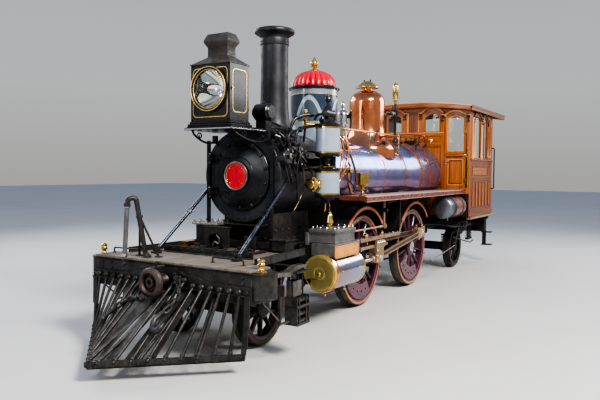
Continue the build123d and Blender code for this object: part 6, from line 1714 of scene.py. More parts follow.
def side_wall(t):
    y0, y1 = 1.056, 1.094
    wins = [(-4.238, -3.762), (-4.718, -4.332)]
    top = roof_z(1.098) - 0.004
    outer = [(-5.098, 1.032), (-3.546, 1.032), (-3.546, top), (-5.098, top)]
    holes = [arched(a, b, 2.092, 2.928, 0.080) for a, b in wins]
    # the wall sheet, posts and rails take the darker wood copies: painted shade on the side
    t.plate(outer, holes, "xz", y0, y1, DEEPZ)
    f = 1.0995
    # posts
    t.box(-3.660, -3.546, y1 - 0.002, f, 1.034, top, SIDE_SHADE_Z, 0.004)
    t.box(-5.097, -4.985, y1 - 0.002, f, 1.034, top, SIDE_SHADE_Z, 0.004)
    # long rails: sill, belt, bottom
    t.box(-4.985, -3.660, y1 - 0.002, f, 2.030, 2.086, SIDE_SHADE_X, 0.003)
    t.box(-5.099, -3.546, y1 - 0.002, f + 0.022, 2.070, 2.094, SIDE_SHADE_X, 0.006)
    t.box(-4.985, -3.660, y1 - 0.002, f, 1.955, 1.990, SIDE_SHADE_X, 0.003)
    t.box(-4.985, -3.660, y1 - 0.002, f, 1.735, 1.785, SIDE_SHADE_X, 0.003)
    t.box(-4.985, -3.660, y1 - 0.002, f, 1.690, 1.728, SIDE_SHADE_X, 0.003)
    t.box(-5.099, -3.546, y1 - 0.002, f + 0.006, 1.034, 1.150, SIDE_SHADE_X, 0.006)
    t.box(-5.099, -3.546, y1 - 0.002, f + 0.014, 1.150, 1.166, SIDE_SHADE_X, 0.005)
    t.box(-5.099, -3.546, y1 - 0.020, f + 0.012, 1.018, 1.036, DEEPX, 0.004)
    # worn sill board under the wall
    t.box(-5.340, -3.560, 1.040, 1.122, 0.975, 1.016, SILLW, 0.005)
    # blank name panel in its own moulding
    t.box(-4.735, -3.705, y1 - 0.002, f - 0.004, 1.800, 1.940, RAILX, 0.002)
    line_frame(t, [(-4.745, 1.792), (-3.695, 1.792), (-3.695, 1.948), (-4.745, 1.948)], 0.010, "xz", y1, f + 0.002, DEEPX)
    t.box(-4.965, -4.770, y1 - 0.002, f - 0.003, 1.800, 1.940, SIDE_SHADE_Z, 0.002)
    # upright tongues with rounded ends
    for k in range(6):
        xc = -3.775 - 0.2255 * k
        w, r = 0.062, 0.060
        loop = [(xc - w, 1.205), (xc - w * 0.55, 1.192), (xc + w * 0.55, 1.192), (xc + w, 1.205), (xc + w, 1.628)] + [(xc + w * math.cos(math.pi * i / 8), 1.628 + 0.040 * math.sin(math.pi * i / 8)) for i in range(1, 8)] + [(xc - w, 1.628)]
        t.prism(loop, "xz", y1 - 0.001, f - 0.002, TONGUE)
        line_frame(t, loop, 0.009, "xz", y1, f + 0.003, SIDE_SHADE_Z)
    # slender columns beside the windows, bases and capitals
    for x, zb, zt in ((-3.700, 2.094, 2.860), (-3.815, 2.094, 2.800), (-4.285, 2.094, 2.830), (-4.780, 2.094, 2.830), (-4.930, 2.094, 2.860)):
        h = zt - zb
        t.lathe([(0, 0), (0.026, 0), (0.026, 0.030), (0.018, 0.040), (0.022, 0.052), (0.015, 0.066), (0.0165, h * 0.5), (0.014, h - 0.080), (0.020, h - 0.066), (0.015, h - 0.054),
                 (0.022, h - 0.030), (0.028, h - 0.016), (0.028, h), (0, h)], (x, f - 0.004, zb), (0, 0, 1), PALEZ if x > -4.4 else STILE, 16)
    # arched hoods with lobed brackets over the windows
    for a, b in wins:
        xc, hw = (a + b) / 2, (b - a) / 2 + 0.030
        rise = 0.105
        r = (hw * hw + rise * rise) / (2 * rise)
        an = math.degrees(math.asin(hw / r))
        zc = 2.876 + rise - r
        t.prism(arc2(xc, zc, r, 90 - an, 90 + an, 16) + arc2(xc, zc, r - 0.026, 90 + an, 90 - an, 16), "xz", y1 - 0.002, f + 0.016, SIDE_SHADE_Z)
        line_frame(t, arched(a, b, 2.092, 2.928, 0.080), 0.018, "xz", y0 + 0.004, f - 0.001, SIDE_SHADE_Z)
        for sgn, xe in ((1, a), (-1, b)):
            for i in range(3):
                cx, cz, rr_ = xe + sgn * (0.030 + 0.040 * i), 2.868 + 0.024 * i, 0.026 - 0.005 * i
                t.cyl((cx, y0 + 0.012, cz), (cx, f - 0.006, cz), rr_, SIDE_SHADE_Z, 14, 0.003)
        drop(t, f + 0.016, 2.880, a - 0.030, BEAD_AND_SHADE)
        drop(t, f + 0.016, 2.880, b + 0.030, BEAD_AND_SHADE)
    # board under the eaves
    t.box(-5.099, -3.546, y1 - 0.002, f + 0.004, 2.992, top, SIDE_SHADE_X, 0.003)
    # arm rest on the front window's sill
    t.box(-4.225, -3.775, y0 - 0.060, f + 0.020, 2.094, 2.116, DEEPX, 0.008)
    # inner lining boards
    for k in range(11):
        x = -5.095 + k * 0.1405
        t.box(x, x + 0.137, y0 - 0.008, y0 + 0.001, 1.102, 2.060, DEEPZ, 0.002)
    # grab rail at the rear post
    t.tube(bent([(-5.060, f - 0.002, 2.34), (-5.060, f + 0.050, 2.34), (-5.060, f + 0.050, 1.52), (-5.060, f - 0.002, 1.52)], 0.03), 0.0125, BEAD_AND_SHADE, 12)
    # sliding sash half open in the rear window
    t.plate([(-4.716, 2.094), (-4.530, 2.094), (-4.530, 2.840), (-4.716, 2.840)], [[(-4.696, 2.130), (-4.550, 2.130), (-4.550, 2.815), (-4.696, 2.815)]], "xz", 1.062, 1.078, SIDE_SHADE_Z)
    t.plate([(-4.698, 2.128), (-4.548, 2.128), (-4.548, 2.817), (-4.698, 2.817)], [], "xz", 1.068, 1.072, GLASS)


t = Piece("t")
side_wall(t)
for n_, s in (("left", 1), ("right", -1)):
    p = Piece("cab_side_%s_detail" % n_)
    p.join(t, s)
    p.make("chassis", ["cab_side_" + n_])

# ---- roof ------------------------------------------------------------------
p = Piece("cab_roof_detail")
X0, X1, RY = -3.350, -5.790, 1.170
ys = [RY - 2 * RY * i / 40 for i in range(41)]
tops, unders = [(y, roof_z(y, 0.001)) for y in ys], [(y, roof_z(y, 0.030)) for y in reversed(ys)]
p.prism(tops + unders, "yz", X1 + 0.004, X0 - 0.004, ROOFING)
p.prism([(y, roof_z(y, 0.030)) for y in ys] + [(y, roof_z(y, 0.035)) for y in reversed(ys)], "yz", X1 + 0.004, X0 - 0.004, RAILX)
for xa, xb in ((X0 - 0.030, X0), (X1 + 0.011, X1 + 0.041)):
    e = 1 if xb == X0 else -1
    q = [(y, roof_z(y, 0.004)) for y in ys] + [(y, roof_z(y, 0.098)) for y in reversed(ys)]
    p.prism(q, "yz", xa, xb, EAVE)
    face = xb if e > 0 else xa
    for d0, d1, t_, m_ in ((0.004, 0.022, 0.010, PALEY), (0.062, 0.074, 0.006, RAILY), (0.088, 0.098, 0.008, DEEPX)):
        q = [(y, roof_z(y, d0)) for y in ys] + [(y, roof_z(y, d1)) for y in reversed(ys)]
        p.prism(q, "yz", face, face + e * t_, m_)
for s in (-1, 1):
    # side boards in the darker side wood: painted shade
    p.box(X1 + 0.012, X0, s * (RY - 0.030), s * (RY - 0.001), 2.967, 3.045, SIDE_SHADE_X, 0.003)
    p.box(X1 + 0.001, X0 - 0.001, s * (RY - 0.004), s * (RY + 0.006), 3.022, 3.052, DEEPX, 0.004)
    p.box(X1 + 0.001, X0 - 0.001, s * (RY - 0.004), s * (RY + 0.003), 2.967, 2.980, DEEPX, 0.003)
    # soffit boards and rafters
    for x in (-3.70, -4.20, -4.70, -5.20, -5.62):
        p.box(x - 0.03, x + 0.03, s * 1.056, s * 1.142, 2.985, 3.035, RAILY, 0.004)
for x in (-3.70, -4.20, -4.70, -5.20, -5.62):
    q = [(y * 0.90, roof_z(y * 0.90, 0.034)) for y in ys] + [(y * 0.90, roof_z(y * 0.90, 0.085)) for y in reversed(ys)]
    p.prism(q, "yz", x - 0.025, x + 0.025, RAILY)
# roof seams, hatch and lamp-iron on top
for x in (-3.96, -4.57, -5.18):
    q = [(y, roof_z(y, -0.003)) for y in ys] + [(y, roof_z(y, 0.004)) for y in reversed(ys)]
    p.prism(q, "yz", x - 0.012, x + 0.012, ROOFING)
zt = roof_z(0, 0.0)
p.box(-4.78, -4.30, -0.30, 0.30, zt - 0.030, zt + 0.040, DEEPX, 0.008)
p.box(-4.82, -4.26, -0.34, 0.34, zt + 0.038, zt + 0.062, ROOFING, 0.010)
for x in (-4.70, -4.38):
    p.box(x - 0.015, x + 0.015, -0.36, -0.32, zt - 0.02, zt + 0.06, BRASS, 0.003)
p.make("chassis", ["cab_roof"])

# ---- floor, backhead ---------------------------------------------------------
p = Piece("cab_floor_detail")
for k in range(14):
    y0 = -1.054 + k * 0.1507
    p.box(-5.349, -3.546, y0, y0 + 0.1480, 1.072, 1.100, FLOORWOOD, 0.003)
p.box(-5.349, -3.546, -1.050, 1.050, 1.061, 1.074, IRON, 0.002)
p.box(-5.350, -5.335, -1.054, 1.054, 1.061, 1.101, IRON, 0.002)
p.make("chassis", ["cab_floor"])


p = Piece("backhead_detail")
BH = -3.950
p.lathe([(0, BH), (0.520, BH), (0.548, BH + 0.006), (0.558, BH + 0.024), (0.558, -3.547), (0, -3.547)], (0, 0, BZ), (1, 0, 0), BLACK, 96)
p.box(BH + 0.004, -3.547, -0.418, 0.418, 1.102, BZ, BLACK, 0.006)
for k in range(24):
    a = math.radians(-20 + 220 * k / 23)
    p.rivet((BH, 0.515 * math.cos(a), BZ + 0.515 * math.sin(a)), (-1, 0, 0), 0.011, BLACK)
for s in (-1, 1):
    for k in range(6):
        p.rivet((BH + 0.004, s * 0.385, 1.15 + 0.10 * k), (-1, 0, 0), 0.011, BLACK)
# fire door with its ring, hinges and latch
p.prism(round_rect(-0.190, 0.190, 1.405, 1.715, 0.07), "yz", BH - 0.020, BH + 0.006, IRON)
p.prism(round_rect(-0.160, 0.160, 1.430, 1.690, 0.055), "yz", BH - 0.042, BH - 0.018, IRON)
for z in (1.49, 1.63):
    p.box(BH - 0.050, BH - 0.040, -0.210, 0.060, z - 0.013, z + 0.013, IRON, 0.004)
    p.cyl((BH - 0.040, -0.205, z - 0.030), (BH - 0.040, -0.205, z + 0.030), 0.014, STEEL, 12)
p.tube(bent([(BH - 0.042, 0.120, 1.60), (BH - 0.100, 0.120, 1.60), (BH - 0.115, 0.120, 1.53)], 0.03), 0.009, STEEL, 10)
# regulator
p.cyl((BH - 0.060, 0, 2.180), (BH + 0.010, 0, 2.180), 0.055, BRASS, 28, 0.006)
p.tube([(BH - 0.060, -0.010, 2.180), (BH - 0.095, 0.14, 2.165), (BH - 0.105, 0.345, 2.140)], [0.013, 0.011, 0.009], STEEL, 10)
p.cyl((BH - 0.106, 0.345, 2.139), (BH - 0.108, 0.430, 2.129), 0.014, STEEL, 14)
# gauges, water glass, try cocks, injector steam valves
for y, z, r in ((0.0, 2.420, 0.080), (-0.200, 2.360, 0.055)):
    p.lathe([(0, 0.050), (r * 0.92, 0.050), (r, 0.044), (r, 0.006), (r * 0.9, 0), (0, 0)], (BH + 0.060, y, z), (-1, 0, 0), BRASS, 40)
    p.lathe([(0, 0.0512), (r * 0.86, 0.0512), (r * 0.86, 0.049), (0, 0.049)], (BH + 0.060, y, z), (-1, 0, 0), STEEL, 40)
    p.box(BH + 0.0070, BH + 0.0085, y - 0.003, y + 0.003, z - 0.004, z + r * 0.7, BLACK, 0.001)
    p.tube([(BH + 0.050, y, z - r), (BH + 0.05, y, 2.20)], 0.010, COPPER, 8)
p.cyl((BH - 0.045, -0.330, 1.840), (BH - 0.045, -0.330, 2.120), 0.012, LAMPGLASS, 16)
for z in (1.825, 2.135):
    p.cyl((BH - 0.045, -0.330, z - 0.022), (BH - 0.045, -0.330, z + 0.022), 0.024, BRASS, 20)
    p.cyl((BH - 0.045, -0.330, z), (BH + 0.005, -0.330, z), 0.013, BRASS, 12)
    p.cyl((BH - 0.090, -0.330, z), (BH - 0.060, -0.330, z), 0.010, BRASS, 12)
for k in range(3):
    z = 1.84 + 0.085 * k
    p.cyl((BH - 0.075, 0.300, z), (BH + 0.005, 0.300, z), 0.012, BRASS, 12)
    p.cyl((BH - 0.085, 0.300, z), (BH - 0.074, 0.300, z), 0.024, BRASS, 14, 0.002)
for s in (-1, 1):
    p.tube(bent([(BH + 0.02, s * 0.18, 2.20), (BH - 0.06, s * 0.18, 2.20), (BH - 0.06, s * 0.46, 2.00), (BH - 0.03, s * 0.50, 1.60), (BH - 0.03, s * 0.50, 1.12)], 0.05), 0.016, COPPER, 12)
    p.cyl((BH - 0.10, s * 0.18, 2.20), (BH - 0.055, s * 0.18, 2.20), 0.010, STEEL, 10)
    p.ring((BH - 0.10, s * 0.18, 2.20), (1, 0, 0), 0.036, 0.006, BRASS, 28, 8)
# brake stand
p.cyl((BH - 0.02, 0.52, 1.10), (BH - 0.02, 0.52, 1.95), 0.016, BRASS, 12)
p.cyl((BH - 0.055, 0.52, 1.95), (BH + 0.015, 0.52, 1.95), 0.036, BRASS, 20)
p.tube([(BH - 0.055, 0.52, 1.97), (BH - 0.13, 0.50, 2.02)], 0.008, BRASS, 8)
# reversing lever and quadrant
p.prism([(-4.172, 1.10), (-3.975, 1.10), (-3.975, 1.40), (-4.01, 1.47), (-4.14, 1.47), (-4.172, 1.40)], "xz", -0.600, -0.588, IRON)
p.box(-4.092, -4.068, -0.622, -0.602, 1.10, 1.98, STEEL, 0.003, Matrix.Translation((-4.08, 0, 1.10)) @ Matrix.Rotation(math.radians(-4), 4, "Y") @ Matrix.Translation((4.08, 0, -1.10)))
p.make("chassis", ["backhead"])

# ---------------------------------------------------------------------------
# Wheels and axles
# ---------------------------------------------------------------------------
UNDER = paint("under_black", (0.016, 0.015, 0.014), (0.008, 0.007, 0.007), (0.40, 0.65), 0.1, 7.0, ((0.065, 0.052, 0.040), 0.45), 0.2, 60.0)
# darker copies of the tyre, wheel paint and rim line for the truck wheels: painted shade
TYRE_SHADED = paint("truck_tyre_painted_shade", (0.022, 0.018, 0.016), (0.012, 0.010, 0.009), (0.45, 0.65), 0.2, 6.0, ((0.045, 0.033, 0.025), 0.35))
TYRE = paint("tyre_dark", (0.050, 0.042, 0.036), (0.026, 0.021, 0.018), (0.42, 0.62), 0.5, 6.0, ((0.13, 0.085, 0.055), 0.5))
TREAD = metal("tread_worn", (0.17, 0.155, 0.14), (0.10, 0.088, 0.078), (0.35, 0.55), 10.0)
WHEELRED = paint("wheel_maroon_paint", (0.092, 0.024, 0.050), (0.056, 0.014, 0.032), (0.16, 0.32), 0.0, 5.0, ((0.17, 0.12, 0.11), 0.35), Coat_Weight=0.35, Coat_Roughness=0.1)
EDGE = paint("rim_edge_tan", (0.42, 0.195, 0.090), (0.29, 0.115, 0.050), (0.25, 0.42), 0.1, 8.0, ((0.36, 0.27, 0.20), 0.4))
WHEEL_SHADED = paint("truck_wheel_painted_shade", (0.022, 0.011, 0.014), (0.012, 0.007, 0.009), (0.32, 0.5), 0.1, 5.0, ((0.055, 0.040, 0.034), 0.35))
EDGE_SHADED = paint("truck_rim_painted_shade", (0.052, 0.031, 0.021), (0.030, 0.018, 0.013), (0.36, 0.55), 0.2, 8.0, ((0.13, 0.10, 0.08), 0.4))


def spoke(t, x, z, a, r0, r1, y, w0, w1, d0, d1, mat):
    """Tapered oval spoke at angle a, from radius r0 to r1."""
    n, rows = 10, 5
    c, s_ = math.cos(a), math.sin(a)
    verts, faces = [], []
    for k in range(rows):
        f = k / (rows - 1)
        flare = 1.0 + 0.30 * (1 - min(1, f * 4)) + 0.30 * max(0, f * 4 - 3)
        r, w, d = r0 + (r1 - r0) * f, (w0 + (w1 - w0) * f) * flare, d0 + (d1 - d0) * f
        for i in range(n):
            u = 2 * math.pi * i / n
            e, g = w / 2 * math.cos(u), d / 2 * math.sin(u)
            verts.append((x + r * c - e * s_, y + g, z + r * s_ + e * c))
    for k in range(rows - 1):
        for i in range(n):
            q, w_ = k * n + i, k * n + (i + 1) % n
            faces.append([q, w_, w_ + n, q + n])
    faces += [list(range(n))[::-1], [(rows - 1) * n + i for i in range(n)]]
    t.add(verts, faces, mat)


def wheel_mesh(t, x, r, hub_r, n, w, crank, red, edge):
    z, seg = r, 128 if r > 0.5 else 96
    at = (x, 0, z)
    yax = (0, 1, 0)
    # tyre with its flange, then the wheel's own rim
    # truck wheels (no crank) take the darker tyre and tread copies: painted shade
    t.lathe([(r - 0.046, 0.5005), (r + 0.020, 0.5005), (r + 0.0265, 0.504), (r + 0.0275, 0.512), (r + 0.024, 0.521), (r + 0.010, 0.529), (r + 0.0012, 0.536), (r - 0.0008, 0.628),
             (r - 0.004, 0.6318), (r - 0.046, 0.6318)], at, yax, TYRE_SHADED if crank is None else TYRE, seg, close=True)
    t.lathe([(r + 0.0008, 0.542), (r + 0.0014, 0.545), (r - 0.0002, 0.620), (r - 0.0012, 0.622)], at, yax, TYRE_SHADED if crank is None else TREAD, seg)
    t.band((x, 0, z), yax, r - 0.046, r - 0.010, 0.6315, 0.6335, edge, seg, 0.0008)
    t.lathe([(r - 0.0865, 0.512), (r - 0.046, 0.506), (r - 0.046, 0.629), (r - 0.052, 0.6315), (r - 0.060, 0.627), (r - 0.0865, 0.617)], at, yax, red, seg, close=True)
    t.band((x, 0, z), yax, r - 0.084, r - 0.078, 0.6168, 0.6205, edge, seg, 0.0005)
    for i in range(n):
        a = math.radians(360.0 * (i + 0.5) / n)
        spoke(t, x, z, a, hub_r * 0.86, r - 0.080, 0.566, w * 1.12, w * 0.82, 0.074, 0.056, red)
    t.lathe([(0, 0.4915), (hub_r - 0.010, 0.4915), (hub_r, 0.500), (hub_r, 0.618), (hub_r - 0.012, 0.630), (hub_r * 0.80, 0.634), (hub_r * 0.66, 0.6435), (hub_r * 0.60, 0.6445), (hub_r * 0.56, 0.640), (0, 0.640)],
            at, yax, red, 64)
    # truck wheels get a black hub face instead of steel: painted shade
    t.lathe([(0, 0.638), (hub_r * 0.54, 0.638), (hub_r * 0.52, 0.6435), (hub_r * 0.12, 0.6445), (0.008, 0.640), (0, 0.640)], at, yax, UNDER if crank is None else STEEL, 40)
    if crank is None:
        return
    a = math.radians(crank)
    cx, cz = x + 0.254 * math.cos(a), z + 0.254 * math.sin(a)
    rot = Matrix.Translation((x, 0, z)) @ Matrix.Rotation(-a, 4, "Y")
    web = [(0, -0.125), (0.06, -0.128), (0.254, -0.084), (0.254, 0.084), (0.06, 0.128), (0, 0.125)]
    t.prism(web, "xz", 0.512, 0.622, red, rot)
    t.lathe([(0, 0.502), (0.086, 0.502), (0.0915, 0.508), (0.0915, 0.640), (0.086, 0.6475), (0.050, 0.6478), (0, 0.6478)], (cx, 0, cz), yax, red, 48)
    t.lathe([(0, 0.646), (0.0505, 0.646), (0.0505, 0.6525), (0.0378, 0.654), (0.0378, 0.7028), (0, 0.7028)], (cx, 0, cz), yax, STEEL, 40)
    # counterweight: a crescent between its inner arc and the rim
    b = a + math.pi
    q = []
    for i in range(25):
        u = b - math.radians(47) + math.radians(94) * i / 24
        q.append((x + (r - 0.082) * math.cos(u), z + (r - 0.082) * math.sin(u)))
    for i in range(25):
        u = b + math.radians(45) - math.radians(90) * i / 24
        q.append((x + 0.334 * math.cos(u), z + 0.334 * math.sin(u)))
    t.prism(q, "xz", 0.532, 0.6385, red)
    for i in range(5):
        u = b - math.radians(34) + math.radians(68) * i / 4
        t.rivet((x + 0.440 * math.cos(u), 0.6385, z + 0.440 * math.sin(u)), (0, 1, 0), 0.016, red)


for node_, body_, x, r, hub, n, w, cranked in (("front_driver", "front_driver", 0.0, 0.622, 0.150, 14, 0.044, True), ("rear_driver", "rear_driver", -1.874, 0.622, 0.150, 14, 0.044, True),
                                               ("leading", "leading_wheelset", 2.350, 0.380, 0.100, 10, 0.038, False), ("trailing", "trailing_wheelset", -4.250, 0.380, 0.100, 10, 0.038, False)):
    p = Piece(node_ + "_wheels_detail")
    for s, ang in ((1, 108.0), (-1, 18.0)):
        t = Piece("t")
        # truck wheels take the darker paint and rim line: painted shade
        wheel_mesh(t, x, r, hub, n, w, ang if cranked else None, WHEELRED if cranked else WHEEL_SHADED, EDGE if cranked else EDGE_SHADED)
        p.join(t, s)
    p.make(body_, [node_ + "_wheels"])
    ar = 0.080 if cranked else 0.050
    p = Piece(node_ + "_axle_detail")
    k = ar / 0.080
    p.lathe([(0, -0.4895), (ar - 0.002, -0.4895), (ar - 0.0005, -0.35), (ar - 0.0005, -0.34), (ar - 0.008 * k, -0.315), (ar - 0.012 * k, -0.10), (ar - 0.012 * k, 0.10), (ar - 0.008 * k, 0.315), (ar - 0.0005, 0.34),
             (ar - 0.0005, 0.35), (ar - 0.002, 0.4895), (0, 0.4895)], (x, 0, r), (0, 1, 0), TYRE, 48)
    if cranked:
        for y in (-0.20, -0.09, 0.05, 0.16):
            p.lathe([(0.060, y), (0.112, y), (0.116, y + 0.006), (0.116, y + 0.038), (0.112, y + 0.044), (0.060, y + 0.044)], (x + 0.012, 0, r + 0.016), (0, 1, 0), UNDER, 48, close=True)
    p.make(body_, [node_ + "_axle"])

# ---------------------------------------------------------------------------
# Side rods, main rods, crossheads, slide bars
# ---------------------------------------------------------------------------
RODWORN = metal("rod_worn", (0.46, 0.315, 0.200), (0.28, 0.175, 0.105), (0.30, 0.5), 8.0, 0.06, 90.0, 0.72, ((0.14, 0.080, 0.045), 0.6))
RODDARK = metal("rod_web", (0.12, 0.092, 0.068), (0.065, 0.048, 0.035), (0.40, 0.6), 8.0, 0.08, 80.0, 0.6)


def crank_xz(x, deg):
    return x + 0.254 * math.cos(math.radians(deg)), 0.622 + 0.254 * math.sin(math.radians(deg))


def oil_cup(t, x, y, z, k=1.0, mat=None):
    m = mat or BRASS
    t.lathe([(0, 0), (0.024 * k, 0), (0.024 * k, 0.006 * k), (0.015 * k, 0.010 * k), (0.015 * k, 0.018 * k), (0.029 * k, 0.024 * k), (0.030 * k, 0.052 * k), (0.023 * k, 0.060 * k), (0.010 * k, 0.064 * k),
             (0.010 * k, 0.074 * k), (0, 0.076 * k)], (x, y, z), (0, 0, 1), m, 20)


for side_, s, ang in (("left", 1, 108.0), ("right", -1, 18.0)):
    fx, fz = crank_xz(0.0, ang)
    rx, rz = crank_xz(-1.874, ang)
    t = Piece("t")
    y0, y1 = 0.6555, 0.6925
    # fluted bar that deepens a little toward its middle
    def half(x):
        f = (x - rx) / (fx - rx)
        return 0.0335 + 0.0080 * math.sin(math.pi * f)
    xs = [rx + 0.05 + (fx - rx - 0.10) * i / 16 for i in range(17)]
    up_, dn = [(x, fz + half(x)) for x in xs], [(x, fz - half(x)) for x in reversed(xs)]
    t.prism(up_ + dn, "xz", 0.6620, 0.6800, RODDARK)
    for sgn in (1, -1):
        edge = [(x, fz + sgn * half(x)) for x in xs] + [(x, fz + sgn * (half(x) - 0.014)) for x in reversed(xs)]
        t.prism(edge, "xz", 0.6605, 0.6870, RODWORN)
    for cx in (fx, rx):
        t.prism([(cx + (0.05 if cx == rx else -0.05) * 1.0, fz - 0.040), (cx + (0.16 if cx == rx else -0.16), fz - 0.036), (cx + (0.16 if cx == rx else -0.16), fz + 0.036), (cx + (0.05 if cx == rx else -0.05), fz + 0.040)],
                "xz", 0.6585, 0.6890, RODWORN)
        bore = 0.0388 if cx == fx else 0.0445
        t.lathe([(bore, y0), (0.070, y0), (0.0775, y0 + 0.004), (0.0775, y1 - 0.004), (0.070, y1), (0.056, y1), (0.056, y1 - 0.0015), (bore, y1 - 0.0015)], (cx, 0, fz), (0, 1, 0), RODWORN, 56, close=True)
        t.lathe([(bore, y1 - 0.003), (0.0555, y1 - 0.003), (0.0555, y1 - 0.0005), (bore, y1 - 0.0005)], (cx, 0, fz), (0, 1, 0), BRASS, 48, close=True)
        oil_cup(t, cx, 0.674, fz + 0.076, 0.62)
    p = Piece("side_rod_%s_detail" % side_)
    p.join(t, s)
    p.make("side_rod_" + side_, ["side_rod_" + side_])

    # main rod
    px, pz = rx, rz
    wx = px + math.sqrt(1.766 ** 2 - (pz - 0.642) ** 2)
    tilt = math.atan2(0.642 - pz, wx - px)
    rot = Matrix.Translation((px, 0, pz)) @ Matrix.Rotation(-tilt, 4, "Y")
    L = 1.766
    t = Piece("t")
    m0, m1 = 0.7530, 0.7970

    def hh(u):
        return 0.0455 - 0.0085 * (u / L)
    us = [0.09 + (L - 0.13) * i / 12 for i in range(13)]
    t.prism([(u, hh(u)) for u in us] + [(u, -hh(u)) for u in reversed(us)], "xz", 0.7620, 0.7800, RODDARK, rot)
    for sgn in (1, -1):
        t.prism([(u, sgn * hh(u)) for u in us] + [(u, sgn * (hh(u) - 0.016)) for u in reversed(us)], "xz", 0.7580, 0.7920, RODWORN, rot)
    # big end: strap with brasses, wedge and bolts
    for q, m_ in (((-0.099, 0.180, 0.052, 0.0815), RODWORN), ((-0.099, 0.180, -0.0815, -0.052), RODWORN), ((-0.099, -0.066, -0.060, 0.060), RODWORN), ((0.082, 0.180, -0.056, 0.056), RODWORN)):
        t.box(q[0], q[1], m0, m1, q[2], q[3], m_, 0.004, rot)
    t.box(-0.066, -0.002, m0 + 0.002, m1 - 0.002, -0.0515, 0.0515, BRASS, 0.002, rot)
    t.box(0.002, 0.066, m0 + 0.002, m1 - 0.002, -0.0515, 0.0515, BRASS, 0.002, rot)
    t.box(0.067, 0.081, m0 + 0.001, m1 - 0.001, -0.060, 0.060, STEEL, 0.002, rot)
    for u in (0.115, 0.155):
        for sgn in (1, -1):
            v = rot @ Vector((u, 0.775, sgn * 0.0812))
            d = (rot.to_3x3() @ Vector((0, 0, sgn)))
            t.bolt(v, d, 0.013, 0.018, STEEL)
    t.lathe([(0, 0.713), (0.0455, 0.713), (0.0455, 0.760), (0.0455, m1 - 0.001), (0.040, m1 + 0.003), (0, m1 + 0.003)], (px, 0, pz), (0, 1, 0), STEEL, 40)
    t.lathe([(0, m1 + 0.003), (0.018, m1 + 0.003), (0.018, m1 + 0.013), (0, m1 + 0.013)], (px, 0, pz), (0, 1, 0), STEEL, 6)
    v = rot @ Vector((0.0, 0.775, 0.0812))
    oil_cup(t, v.x, v.y, v.z - 0.002, 0.8)
    # small end
    t.lathe([(0.0287, m0), (0.047, m0), (0.0518, m0 + 0.005), (0.0518, m1 - 0.005), (0.047, m1), (0.0287, m1)], (wx, 0, 0.642), (0, 1, 0), RODWORN, 48, close=True)
    p = Piece("main_rod_%s_detail" % side_)
    p.join(t, s)
    p.make("main_rod_" + side_, ["main_rod_" + side_])

    # crosshead
    t = Piece("t")
    for a, b in ((0.7155, 0.7395), (0.8105, 0.8345)):
        outline = [(wx - 0.070, 0.5835), (wx + 0.118, 0.5835), (wx + 0.149, 0.600), (wx + 0.149, 0.8935), (wx - 0.119, 0.8935), (wx - 0.119, 0.800), (wx - 0.086, 0.775), (wx - 0.086, 0.620)]
        t.prism(outline, "xz", a, b, RODWORN)
    t.box(wx - 0.119, wx + 0.149, 0.7395, 0.8105, 0.8415, 0.8935, BRASS, 0.003)
    t.box(wx - 0.119, wx + 0.149, 0.7395, 0.8105, 0.8845, 0.8940, RODDARK, 0.002)
    t.box(wx + 0.074, wx + 0.149, 0.7395, 0.8105, 0.584, 0.700, RODWORN, 0.006)
    t.box(wx - 0.112, wx + 0.142, 0.8335, 0.8395, 0.840, 0.890, RODWORN, 0.002)
    t.box(wx - 0.060, wx + 0.112, 0.8335, 0.8380, 0.712, 0.732, RODWORN, 0.002)
    for i in range(7):
        t.bolt((wx - 0.095 + 0.0365 * i, 0.8395, 0.866), (0, 1, 0), 0.010, 0.013, STEEL)
    for dx, z in ((0.125, 0.615), (0.125, 0.685), (0.125, 0.760)):
        t.bolt((wx + dx, 0.8345, z), (0, 1, 0), 0.011, 0.013, STEEL)
    t.cyl((wx, 0.7365, 0.642), (wx, 0.8440, 0.642), 0.0275, STEEL, 36, 0.003)
    t.lathe([(0.0275, 0.8345), (0.046, 0.8345), (0.046, 0.8395), (0.0275, 0.8395)], (wx, 0, 0.642), (0, 1, 0), STEEL, 6, close=True)
    t.lathe([(0, wx + 0.104), (0.0275, wx + 0.104), (0.0275, wx + 1.048), (0, wx + 1.048)], (0, 0.775, 0.642), (1, 0, 0), STEEL, 36)
    t.lathe([(0.0275, wx + 0.149), (0.044, wx + 0.149), (0.046, wx + 0.154), (0.046, wx + 0.182), (0.040, wx + 0.188), (0.0275, wx + 0.190)], (0, 0.775, 0.642), (1, 0, 0), RODWORN, 32, close=True)
    t.box(wx + 0.150, wx + 0.166, 0.772, 0.778, 0.612, 0.672, STEEL, 0.002)
    p = Piece("crosshead_%s_detail" % side_)
    p.join(t, s)
    p.make("crosshead_" + side_, ["crosshead_" + side_])

t = Piece("t")
for x0, x1, z0, z1 in ((-0.960, 0.380, 0.9005, 0.9495), (-0.500, 0.380, 0.7955, 0.8345)):
    t.box(x0, x1, 0.7455, 0.8045, z0, z1, RODWORN, 0.004)
    for k in range(9 if z0 > 0.85 else 2):
        x = x0 + 0.05 + (x1 - x0 - 0.10) * k / (8 if z0 > 0.85 else 1)
        t.bolt((x, 0.775, z1 if z0 > 0.85 else z0), (0, 0, 1 if z0 > 0.85 else -1), 0.013, 0.017, STEEL)
# yoke plate with its rounded windows
t.plate([(0.4510, 0.902), (0.700, 0.902), (0.800, 0.955), (0.800, 1.487), (0.4510, 1.487)], [round_rect(0.520, 0.735, 1.060, 1.400, 0.06)], "yz", -0.9845, -0.9405, UNDER)
t.box(-0.9845, -0.9405, 0.3605, 0.4510, 0.9005, 1.487, UNDER, 0.004)
t.box(-0.9845, -0.9405, 0.7455, 0.8045, 0.951, 1.009, RODWORN, 0.004)
for z in (0.98, 1.20, 1.42):
    t.bolt((-0.9405, 0.405, z), (1, 0, 0), 0.014, 0.014, IRON)
